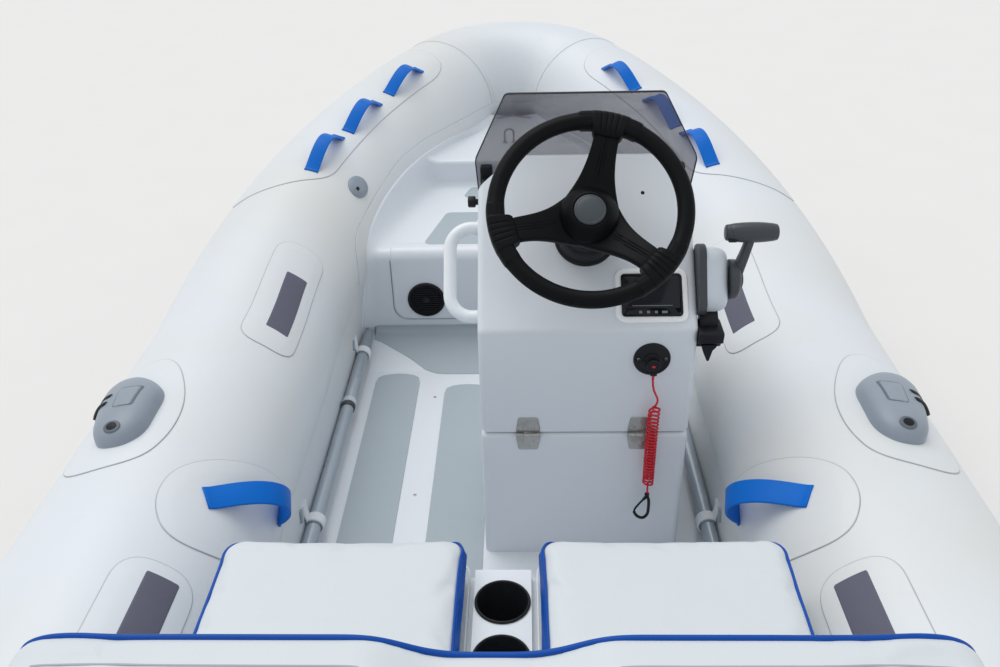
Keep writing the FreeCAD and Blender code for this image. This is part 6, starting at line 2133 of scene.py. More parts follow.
@dataclass
class ConsoleFittings:
    """Gauge, stop switch, hinges, rail, knob, dash hole and screen."""

    gauge: tuple[float, float] = (0.263, 0.065)
    switch: tuple[float, float] = (0.265, 0.615)

    def gauge_unit(self) -> None:
        """Light surround, black bezel, glossy display with a row of buttons."""
        spot = DASH.moved(*self.gauge)
        rim = plate(spot, 0.0650, 0.0505, 0.017, mm(0.6, -1, 0, 0.4, 0, 2.2, 0.8, 3.4, 2.2, 4, 9.8,
                                                    4.6, 10.6, 4.2, 11, 1, 30, 1))
        piece("gauge_surround", [rim], LIGHT_TRIM, "gauge_bezel", body="console")
        panel = plate(spot, 0.0545, 0.0400, 0.008,
                      mm(0, 1.2, 0, 5.8, 1, 6.8, 3, 7, 3.6, 6.6, 20, 6.6))
        piece("gauge_face", [panel], DISPLAY, "gauge_screen", body="console")
        frames = [plate(spot.moved(0.0, 0.0045), 0.0495, 0.0295, 0.002,
                        mm(0, 6, 0, 6.9, 0.4, 7.1, 10, 7.1))]
        piece("gauge_display", frames, DISPLAY_ON, body="console")
        buttons = [plate(spot.moved(x, -0.0325), 0.0028, 0.0024, 0.0010,
                         mm(0, 6.2, 0, 7.2, 0.5, 7.5, 1.5, 7.6))
                   for x in (-0.0215, -0.0075, 0.0065)]
        buttons.append(plate(spot.moved(0.0215, -0.0325), 0.0052, 0.0022, 0.0010,
                             mm(0, 6.2, 0, 7.2, 0.5, 7.5, 1.5, 7.6)))
        bars = [plate(spot.moved(0.0, -0.0205), 0.036, 0.0006, 0.0003,
                      mm(0, 6.6, 0, 7.35, 0.2, 7.5), 3)]
        piece("gauge_buttons", buttons + bars, PRINT_GREY, body="console")

    def kill_switch(self) -> None:
        """Round plate with two screws, a collar, the red button and its clip."""
        spot = AFT_FACE.moved(*self.switch)
        profile = mm(0, -1, 33.7, -1, 33.7, 1.6, 33, 3, 31.2, 4.2, 29, 4.8, 17, 5.2, 16, 6, 15, 13,
                     14.2, 14, 9.6, 14.2, 9, 15, 9, 19.6, 11.2, 20.8, 12, 22.2, 12, 26.2, 11.2,
                     27.6, 9.6, 28, 0, 27.8)
        piece("stop_switch", [spot.spin(profile, 64)], BLACK, "kill_switch", body="console",
              crease=40)
        heads = [screw(spot, x, 0.002, 0.0034, 0.0064) for x in (-0.0245, 0.0245)]
        piece("stop_switch_screws", heads, STAINLESS, body="console")
        red = plate(spot, 0.0030, 0.0022, 0.0014, mm(0, 27, 0, 28.1, 0.3, 28.4, 0.8, 28.5))
        piece("stop_button_face", [red], RED_CORD, body="console")

    def hinges(self) -> None:
        """Tapered stainless leaves with three countersunk screws each, and the knuckles."""
        upper, lower, heads_up, heads_low = [], [], [], []
        for y in (0.040, 0.252):
            for sign, store, heads in ((1, upper, heads_up), (-1, lower, heads_low)):
                spot = AFT_FACE.moved(y, 0.448)
                shape = [(-0.023, 0.0034), (0.023, 0.0034), (0.0225, 0.013), (0.0185, 0.0375),
                         (-0.0185, 0.0375), (-0.0225, 0.013)]
                shape = [(a, b * sign) for a, b in shape]
                radii = [0.0008, 0.0008, 0.004, 0.005, 0.005, 0.004]
                rings = [spot.at(rounded_polygon(shift_polygon(shape, i), [
                    max(r - i, 0.0004) for r in radii], 5), h)
                    for i, h in ((0.0, -0.0002), (0.0, 0.0014), (0.0006, 0.0020),
                                 (0.006, 0.0020))]
                store.append(skin_of(rings))
                for a, b in ((-0.011, 0.0165), (0.011, 0.0165), (0.0, 0.0285)):
                    heads.append(screw(spot.moved(0, 0, 0.0016), a, b * sign, 0.0036, 0.0011))
            for start, length, store in ((-0.023, 0.014, lower), (0.009, 0.014, lower),
                                         (-0.0087, 0.0174, upper)):
                store.append(self.knuckle(-y + start, length, store is upper))
        piece("hinge_leaves_lower", lower, STAINLESS, "hinges_lower")
        piece("hinge_leaves_upper", upper, STAINLESS, "hinges_upper", body="console")
        piece("hinge_screws_lower", heads_low, SCREW_STEEL)
        piece("hinge_screws_upper", heads_up, SCREW_STEEL, body="console")

    def knuckle(self, y: float, length: float, is_upper: bool) -> Part:
        """A rolled knuckle whose wrap runs back to the leaf: a teardrop carried across."""
        ring = circle(30) * 0.005
        tail = mm(5.9, 3, 5.9, 4.9)
        keep = (ring[:, 0] < 0.0035) | (ring[:, 1] < 0.0)
        flat = np.concatenate([ring[keep], tail[::-1]])
        centre = flat.mean(axis=0)
        flat = flat[np.argsort(np.arctan2(*(flat - centre).T[::-1]))]
        if not is_upper:
            flat = flat * np.array([1.0, -1.0])
        base = np.array([1.275, y, 0.448])
        ends = np.array([0.0, 0.0005, length - 0.0005, length])
        scale = np.array([0.90, 1.0, 1.0, 0.90])
        return skin_of(base + np.stack([
            flat[None, :, 0] * scale[:, None], np.broadcast_to(ends[:, None], (4, len(flat))),
            flat[None, :, 1] * scale[:, None]], axis=-1))

    def rail(self) -> None:
        """White bent rail with round feet on the console's port side."""
        y0, y1 = 0.050, 0.107
        hi, lo = np.array([1.492, 0.782]), np.array([1.386, 0.646])
        r = 0.042
        run = unit(lo - hi)
        turn = np.linspace(0, math.pi / 2, 12)
        first = [(*(hi), y0)] + [(*(hi + run * r * (1 - math.cos(a))), y1 - r + r * math.sin(a))
                                 for a in turn]
        last = [(*(lo - run * r * (1 - math.cos(a))), y1 - r + r * math.sin(a))
                for a in turn[::-1]] + [(*(lo), y0)]
        mid = [(*(hi + (lo - hi) * s), y1) for s in (0.4, 0.5, 0.6)]
        path = np.array([(x, y, z) for x, z, y in first + mid + last])
        up = np.array([run[1], 0.0, -run[0]])
        parts = [skin_of(carried(path, circle(28) * 0.0125, up))]
        for x, z in (hi, lo):
            profile = mm(0, -0.5, 17.5, -0.5, 17.5, 2, 16.8, 3.6, 15, 4.4, 12, 5.2, 12.9, 6, 12.5,
                         7.5, 0, 7.6)
            parts.append(spun(profile, np.array([x, 0.050, z]), Y_DIR, X_DIR, 40))
        piece("grab_rail_tube", parts, RAIL_WHITE, "grab_rail", body="console", crease=60)

    def knob(self) -> None:
        """Lobed locking knob: the radius swells six times round."""
        profile = mm(0, 0, 6, 0, 6, 4.8, 10, 5.5, 11, 7, 11, 17.5, 10.2, 19, 8.5, 19.8, 0, 20)
        middle = np.array([1.481, 0.0, 0.841])
        points, faces = spun(profile, middle + 0.050 * Y_DIR, Y_DIR, X_DIR)
        away = points - middle
        angle = np.arctan2(away[:, 2], away[:, 0])
        lobe = 1 - 0.05 * (0.5 + 0.5 * np.cos(6 * angle))
        grip = (points[:, 1] > 0.0552)[:, None]
        swollen = away * np.stack([lobe, np.ones_like(lobe), lobe], axis=-1)
        points = np.where(grip, middle + swollen, points)
        piece("lock_knob", [(points, faces)], BLACK, "console_knob", body="console")

    def dash_plug(self) -> None:
        """Small dark plugged hole in the dash."""
        spot = DASH.moved(0.255, 0.263)
        part = plate(spot, 0.0035, 0.0035, 0.0034, mm(0, -0.5, 0, 0.3, 0.6, 0.5, 2, 0.2))
        piece("dash_plug", [part], BLACK, body="console")

    def screen(self) -> None:
        """Smoked screen sheet, its dark polished edge, bolts and mounting blocks."""
        lean = math.radians(8.0)
        up = (-math.sin(lean), 0.0, math.cos(lean))
        foot = Plane((1.558, 0.0, 0.846), (0.0, -1.0, 0.0), up)
        corners = [(-0.0536, -0.016), (-0.058, 0.054), (0.002, 0.187), (0.2945, 0.187),
                   (0.367, 0.054), (0.3595, -0.016)]
        radii = [0.004, 0.035, 0.012, 0.012, 0.035, 0.004]

        def ring(inset: float, h: float) -> Array:
            """The sheet's outline drawn in, at a height off its middle plane."""
            return foot.at(rounded_polygon(shift_polygon(corners, inset),
                                           [max(r - inset, 0.0005) for r in radii], 8), h)

        t = 0.0025
        rows = [ring(0.05, -t), ring(0.0016, -t), ring(0.0003, -t + 0.0005),
                ring(0.0003, t - 0.0005), ring(0.0016, t), ring(0.05, t)]
        piece("screen_sheet", [skin_of(rows)], SMOKED, "windscreen", body="console", crease=32)
        rows = [ring(0.0018, -t - 0.0002), ring(0.0, -t - 0.0002), ring(-0.0003, -t + 0.0006),
                ring(-0.0003, t - 0.0006), ring(0.0, t + 0.0002), ring(0.0018, t + 0.0002)]
        piece("screen_edge", [loop_skin(rows)], EDGE_DARK, body="console", crease=None)
        front = Plane(foot.origin, (0.0, 1.0, 0.0), up)
        bolts, blocks = [], []
        for x in (-0.036, 0.331):
            bolts += [screw(front.moved(-x, y, t), 0, 0, 0.0045, 0.0028) for y in (0.012, 0.036)]
            blocks.append(plate(foot.moved(x, 0.024), 0.0120, 0.0215, 0.006, (
                (0.0015, t), (0.0, t + 0.0015), (0.0, t + 0.012), (0.0015, t + 0.0135),
                (0.0105, t + 0.0135))))
            blocks.append(plate(foot.moved(x, 0.013), 0.0085, 0.0100, 0.004, (
                (0.0, t + 0.010), (0.0, t + 0.066), (0.0080, t + 0.066))))
        piece("screen_bolts", bolts, BLACK, body="console")
        piece("screen_blocks", blocks, BLACK, "screen_clips", body="console")

    def build(self) -> None:
        """All of the console's fittings."""
        self.gauge_unit()
        self.kill_switch()
        self.hinges()
        self.rail()
        self.knob()
        self.dash_plug()
        self.screen()


# Deck, bow locker and footwell

@dataclass
class BowLocker:
    """Bow moulding in one skin: face, rounded edge, top, step, bow deck and its side walls.

    A profile in X and Z runs up the face, over the top, up the step and along the bow deck. At
    each of its points a line goes out sideways from the middle, turns through a concave fillet
    and climbs the side wall along the profile's own normal to the lip on the tube.
    """

    face: float = 2.150
    foot: float = 0.128
    top: float = 0.419
    step: float = 2.655
    deck: float = 0.498
    edge: float = 0.026
    nose: float = 3.148
    foot_x: tuple[float, ...] = (2.10, 2.16, 2.24, 2.36, 2.50, 2.62, 2.70, 2.80, 2.90, 3.00,
                                 3.06, 3.10, 3.15)
    foot_y: tuple[float, ...] = (0.364, 0.357, 0.343, 0.315, 0.281, 0.249, 0.216, 0.166, 0.120,
                                 0.076, 0.048, 0.028, 0.003)
    runs: tuple[tuple[float, float, float], ...] = (
        (2.176, 2.172, 171.5), (2.200, 2.215, 167.5), (2.245, 2.285, 165.0), (2.300, 2.360, 163.0),
        (2.360, 2.440, 162.0), (2.500, 2.590, 162.5), (2.641, 2.740, 166.0), (2.667, 2.785, 167.5),
        (2.800, 2.930, 173.0), (2.900, 3.030, 178.5), (3.000, 3.140, 183.0), (3.060, 3.240, 184.0),
        (3.100, 3.360, 184.0), (3.130, 3.500, 184.0), (3.150, 3.590, 184.0))

    @staticmethod
    def straight(x: Array | float, z: Array | float, normal: Sequence[float]) -> Two:
        """Points of a straight run in X and Z, with its normal at each."""
        flat = np.column_stack(np.broadcast_arrays(x, z)).astype(float)
        return flat, np.tile(normal, (len(flat), 1))

    def profile(self) -> Two:
        """Profile points and outward normals: straight runs joined by quarter arcs."""
        quarter = np.linspace(0, math.pi / 2, 12)
        arc = np.stack([-np.cos(quarter), np.sin(quarter)], axis=-1)
        hollow = np.stack([-np.sin(quarter), np.cos(quarter)], axis=-1)
        aft, up = (-1.0, 0.0), (0.0, 1.0)
        start, foot, head = self.face + self.edge, self.step - 0.014, self.step + 0.012
        points, normals = zip(
            self.straight(self.face, np.linspace(self.foot, self.top - self.edge, 40)[:-1], aft),
            (np.array([start, self.top - self.edge]) + arc * self.edge, arc),
            self.straight(np.linspace(start, foot, 66)[1:-1], self.top, up),
            (np.array([foot, self.top + 0.014]) - hollow * 0.014, hollow),
            self.straight(self.step, np.linspace(self.top + 0.014, self.deck - 0.012, 7)[1:-1],
                          aft), (np.array([head, self.deck - 0.012]) + arc * 0.012, arc),
            self.straight(np.linspace(head, self.nose, 64)[1:], self.deck, up))
        return np.concatenate(points), np.concatenate(normals)

    def rim(self, x: Array, z: Array) -> tuple[Array, Array, Array, Array]:
        """Where each cross line meets the tube: place, heading, outward normal and lift.

        On the face the line turns aft into the footwell's wall. Round the corner it runs out
        and down into the tube, and along the top it climbs the tube's skin. The steps between
        are smoothed by running means.
        """
        level = (0.0, -1.0, 0.0, 0.0)
        table = [(high - self.foot, x_at, y, high, -1.0, 0.15, 0.0, *level)
                 for x_at, y, high in ((2.124, 0.4322, 0.10), (2.126, 0.4300, 0.20),
                                       (2.130, 0.4190, 0.26), (2.136, 0.4100, 0.31))]
        table += [(0.240, 2.142, 0.4060, 0.350, -0.7, 0.7, 0.0, *level),
                  (0.272, 2.138, 0.4045, 0.385, -0.4, 0.9, 0.0, *level),
                  (0.292, 2.134, 0.4050, 0.405, -0.2, 1.0, 0.1, *level)]
        start = self.top - self.edge - self.foot + self.edge * math.pi / 2
        for row, (at, run, degrees) in enumerate(self.runs):
            on, lower = (LINE.skin(np.array([run]), np.array([degrees + d])).reshape(3)
                         for d in (0.0, 4.0))
            up = unit(on - lower)
            out = unit(LINE.skin(np.array([run]), np.array([degrees]), 0.01).reshape(3) - on)
            step = 0.130 if at > self.step else 0.0
            share = min(0.35 + row / 3.0, 1.0) * (1.0 if at < 2.95 else 0.35)
            head = unit(up * share + np.array([0.1, 1.0, 0.0]) * (1 - share))
            table.append((start + at - self.face - self.edge + step, *on, *head, *out,
                          0.0045 * min((row + 1) / 2.0, 1.0)))
        travel = np.concatenate([[0.0], np.cumsum(np.hypot(np.diff(x), np.diff(z)))])
        marks, *columns = np.array(table).T
        rows = np.stack([np.interp(travel, marks, column) for column in columns], axis=-1)
        for _ in range(3):
            padded = np.pad(rows, ((4, 4), (0, 0)), mode="edge")
            rows = np.stack([np.convolve(column, np.full(9, 1 / 9), "valid")
                             for column in padded.T], axis=-1)
        return rows[:, :3], unit(rows[:, 3:6]), unit(rows[:, 6:9]), rows[:, 9:]

    def skin(self) -> Part:
        """Cross lines: level to the wall's foot, a Hermite curve to the tube, a rounded lip.

        With u from 0 to 1 the curve is h00 W + h01 R + h10 k e + h11 k T, where W is the foot,
        R the place on the tube, e the sideways direction, T the heading at the tube, k the
        distance from W to R and h the Hermite polynomials.
        """
        points, _ = self.profile()
        x, z = points[:, 0], points[:, 1]
        half = np.interp(x, self.foot_x, self.foot_y)
        place, head, out, lift = self.rim(x, z)
        foot = np.column_stack([x, half, z])
        k = np.linalg.norm(place + out * lift - foot, axis=1)[:, None, None]
        u = np.linspace(0, 1, 25)[None, :, None]
        goal = (place + out * lift)[:, None]
        wall = ((2 * u ** 3 - 3 * u ** 2 + 1) * foot[:, None] + (3 * u ** 2 - 2 * u ** 3) * goal
                + (u ** 3 - 2 * u ** 2 + u) * k * Y_DIR + (u ** 3 - u ** 2) * k * head[:, None])
        level = np.linspace(0, 1, 12)[None, :-1, None]
        middle = foot * np.array([1.0, 0.0, 1.0])
        flat = middle[:, None] + (foot - middle)[:, None] * level
        lip = goal + head[:, None] * np.array([0.004, 0.006, 0.0075, 0.0085])[None, :, None] \
            - out[:, None] * np.array([0.0, 0.0012, 0.0040, 0.0090])[None, :, None]
        half_line = np.concatenate([flat, wall, lip], axis=1)
        other = half_line[:, :0:-1] * flip(-1)
        front = np.concatenate([other, half_line], axis=1)
        along = np.gradient(front, axis=0)
        across = np.gradient(front, axis=1)
        normal = unit(np.cross(across, along))
        mid = normal[len(x) // 2, front.shape[1] // 2]
        back = front - normal * math.copysign(0.004, mid[2])
        return skin_of(np.concatenate([front, back[:, ::-1]], axis=1))

    def panel(self) -> Part:
        """Raised front panel with rounded lower corners, fading out on the locker's top.

        The path is the face from the panel's foot, the edge's arc, then 30 mm of the top. At
        a length s from the foot the half width is the full one less the corner's circle.
        """
        width, corner, lift, low = 0.338, 0.042, 0.0055, 0.207
        quarter = np.linspace(0, math.pi / 2, 12)
        foot = low + 0.04 * np.linspace(0, 1, 14)[:-1] ** 1.6
        z_run = np.concatenate([foot, np.linspace(low + 0.04, self.top - self.edge, 12)[:-1]])
        arc = np.stack([-np.cos(quarter), np.sin(quarter)], axis=-1)
        start = self.face + self.edge
        points, normals = zip(
            self.straight(self.face, z_run, (-1.0, 0.0)),
            (np.array([start, self.top - self.edge]) + arc * self.edge, arc),
            self.straight(np.linspace(start, start + 0.03, 8)[1:], self.top, (0.0, 1.0)))
        p, n = np.concatenate(points), np.concatenate(normals)
        s = np.concatenate([[0], np.cumsum(np.linalg.norm(np.diff(p, axis=0), axis=1))])
        over = np.clip(corner - s, 0, corner)
        half = width - (corner - np.sqrt(np.maximum(corner ** 2 - over ** 2, 0)))
        fade = ease(np.clip((s[-1] - s) / 0.045, 0, 1))
        foot_round = np.sqrt(np.clip(1 - np.clip((0.005 - s) / 0.005, 0, 1) ** 2, 0, 1))
        high = lift * fade * foot_round
        inset = np.array([0.0, 0.0004, 0.0013, 0.0027, 0.0050])
        rounding = np.array([0.0, 0.30, 0.62, 0.88, 1.0])
        middle = np.linspace(-1, 1, 21)[1:-1]
        y = np.concatenate([-(half[:, None] - inset), (half - 0.005)[:, None] * middle,
                            (half[:, None] - inset)[:, ::-1]], axis=1)
        level = np.concatenate([high[:, None] * rounding, high[:, None] + 0 * middle,
                                (high[:, None] * rounding)[:, ::-1]], axis=1)
        front = np.stack([p[:, :1] + n[:, :1] * level, y, p[:, 1:] + n[:, 1:] * level], axis=-1)
        back = np.stack([p[:, :1] - n[:, :1] * 0.002 + 0 * y, y,
                         p[:, 1:] - n[:, 1:] * 0.002 + 0 * y], axis=-1)
        return skin_of(np.concatenate([front, back[:, ::-1]], axis=1))

    def groove(self) -> Part:
        """Dark sealing line in the recess round the panel's sides and foot."""
        w, c, low = 0.3395, 0.043, 0.2055
        turn = np.linspace(0, math.pi / 2, 12)
        port = [(w, z) for z in np.linspace(0.393, low + c, 12)]
        port += [(w - c + c * math.cos(a), low + c - c * math.sin(a)) for a in turn[1:]]
        flat = np.array(port + [(-y, z) for y, z in port[::-1]])
        return band_along(lay(flat, 0, self.face - 0.0004), -X_DIR, 0.0026, 0.0016)

    def speaker(self) -> None:
        """Round grille: dished rim, level slats and a plain centre."""
        y, z, x = 0.244, 0.272, self.face - 0.0050
        spot = Plane((x, y, z), (0.0, -1.0, 0.0), (0.0, 0.0, 1.0))
        rim = mm(0, -2, 52.5, -2, 53.2, 1, 53, 4.5, 51.5, 6.6, 49, 7.2, 46.8, 6.6, 45.5, 2, 0, 1.2)
        parts = [spot.spin(rim, 72)]
        for row in np.linspace(-0.0400, 0.0400, 13):
            half = math.sqrt(0.0462 ** 2 - row ** 2)
            slat = np.array([(-half, row), (-half * 0.4, row), (half * 0.4, row), (half, row)])
            parts.append(band_along(spot.at(slat, 0.0044), Z_DIR, 0.0050, 0.0030))
        hub = mm(0, 1, 9.5, 1, 9.8, 5.8, 9, 6.8, 0, 7)
        parts.append(spot.spin(hub, 32))
        piece("speaker_front", parts, BLACK, "speaker_grille")

    def pads(self) -> None:
        """Non-slip pads on the top: a wide one with rounded corners and a narrow one."""
        parts = []
        for corners in (((2.196, 0.250), (2.422, 0.198), (2.422, -0.198), (2.196, -0.250)),
                        ((2.538, 0.158), (2.624, 0.134), (2.624, -0.134), (2.538, -0.158))):
            parts.append(skin_of([
                lay(rounded_polygon(shift_polygon(corners, inset), [max(0.020 - inset, 0.002)] * 4,
                                    8), 2, self.top + height)
                for inset, height in mm(0, -1, 0.2, 0.9, 1.2, 1.4, 20, 1.4)]))
        piece("locker_nonskid", parts, NONSKID, "locker_pads")

    def tow_eye(self) -> None:
        """Bent U eye on the bow deck with round washers."""
        x, z = 2.830, self.deck
        turn = np.linspace(0, math.pi, 22)
        arc = [(x, 0.012 + 0.015 * math.cos(a), z + 0.031 + 0.015 * math.sin(a)) for a in turn]
        path = np.array([(x, 0.027, z - 0.004), (x, 0.027, z + 0.015)] + arc
                        + [(x, -0.003, z + 0.015), (x, -0.003, z - 0.004)])
        parts = [skin_of(carried(path, circle(18) * 0.0034, X_DIR))]
        washer = mm(0, -1, 8.5, -1, 8.5, 1, 7.5, 1.8, 5, 2.2, 0, 2.3)
        for y in (0.027, -0.003):
            parts.append(spun(washer, (x, y, z), Z_DIR, X_DIR, 28))
        piece("tow_eye", parts, STAINLESS, "bow_eye", crease=60)

    def build(self) -> None:
        """The whole bow moulding."""
        piece("bow_moulding", [self.skin()], WHITE_GEL, "bow_locker", crease=None)
        piece("locker_panel", [self.panel()], WHITE_GEL, crease=None)
        piece("locker_groove", [self.groove()], SEALANT, crease=None)
        self.speaker()
        self.pads()
        self.tow_eye()


@dataclass
class Footwell:
    """Side walls with a concave foot, the ramp's non-slip skin, and the floor screws."""

    half: float = 0.433
    floor: float = 0.140
    aft: float = 0.046
    front: float = 2.150

    def walls(self) -> None:
        """Wall strips from a floor fillet up into the tube's skin.

        At each X a quarter arc turns the floor up into the wall, and a line leads from there
        to the tube's side at 188 to 195 degrees, ending a few millimetres inside it.
        """
        x = np.concatenate([np.linspace(self.aft, 1.93, 40), np.linspace(1.95, 2.175, 24)])
        rise = np.interp(x, [1.90, 1.972, 2.105, 2.150, 2.2], [0, 0, 0.0208, 0.026, 0.026])
        move = np.clip((x - 1.80) / 0.35, 0, 1)
        degrees = 189.0 + 5.0 * ease(move)
        runs = np.linspace(0.0, 2.40, 260)
        ahead = LINE.skin(runs, np.full(260, 192.0))
        on = LINE.skin(np.interp(x, ahead[:, 0], runs), degrees)
        turn = np.linspace(0, math.pi / 2, 10)
        r, wall = 0.034, self.half - 0.0012
        share = np.linspace(0, 1, 12)[1:]
        parts = []
        for side in Side:
            arc_y = wall - r + r * np.sin(turn)[None] + 0 * x[:, None]
            arc_z = self.floor + rise[:, None] + 0.0004 + r * (1 - np.cos(turn))[None]
            up_y = wall + (on[:, 1:2] + 0.001 - wall) * share ** 1.6
            up_z = arc_z[:, -1:] + (on[:, 2:] - arc_z[:, -1:]) * share
            y = np.concatenate([arc_y, up_y, on[:, 1:2] + 0.012, wall + 0.012 + 0 * on[:, :1],
                                wall - r + 0 * on[:, :1]], axis=1)
            z = np.concatenate([arc_z, up_z, on[:, 2:], arc_z[:, :1] - 0.004,
                                arc_z[:, :1] - 0.004], axis=1)
            rings = np.stack([x[:, None] + 0 * y, side * y, z], axis=-1)
            parts.append(skin_of(rings))
        piece("footwell_walls", parts, TUBE_WHITE, crease=60)

    def ramp(self) -> None:
        """Non-slip skin on the ramp behind a curved white border.

        For each side place the skin starts at the border's X and ends at the locker's foot;
        its height follows the ramp's smooth rise.
        """
        y = np.concatenate([np.linspace(-0.398, -0.15, 50), np.linspace(-0.13, 0.13, 9),
                            np.linspace(0.15, 0.398, 50)])
        border = np.interp(np.abs(y),
                           [0.0, 0.150, 0.185, 0.209, 0.241, 0.287, 0.334, 0.377, 0.398],
                           [1.957, 1.957, 1.9575, 1.961, 1.979, 2.026, 2.064, 2.098, 2.108])
        share = np.array([0.0, 0.003, 0.02, 0.1, 0.25, 0.4, 0.55, 0.7, 0.85, 1.0])
        foot = self.front - 0.022
        x = border[:, None] + (foot - border)[:, None] * share
        turn = np.linspace(0, math.pi / 2, 8)[1:]
        rise = np.interp(x, [1.90, 1.972, 2.105, 2.150, 2.2], [0, 0, 0.0208, 0.026, 0.026])
        lift = np.where(share > 0, 0.0016, -0.001)
        z = self.floor + rise + lift
        x = np.concatenate([x, foot + 0.0205 * np.sin(turn) + 0 * y[:, None]], axis=1)
        z = np.concatenate([z, z[:, -1:] + 0.0205 * (1 - np.cos(turn))], axis=1)
        upper = np.stack([x, y[:, None] + 0 * x, z], axis=-1)
        lower = upper - np.array([0, 0, 0.0030])
        rings = np.concatenate([upper, lower[:, ::-1]], axis=1)
        piece("ramp_nonskid", [skin_of(rings)], NONSKID, crease=50)

    def screws(self) -> None:
        """Small countersunk screws in the floor."""
        level = Plane((0.0, 0.0, self.floor), (0.0, -1.0, 0.0), (1.0, 0.0, 0.0))
        parts = [screw(level, -y, x, 0.0042, 0.0012)
                 for x, y in ((1.848, 0.203), (1.460, 0.217), (1.848, -0.203), (1.070, 0.225))]
        piece("floor_screws", parts, SCREW_STEEL)

    def build(self) -> None:
        """Walls, ramp and screws."""
        self.walls()
        self.ramp()
        self.screws()


# Helm, wheel and throttle

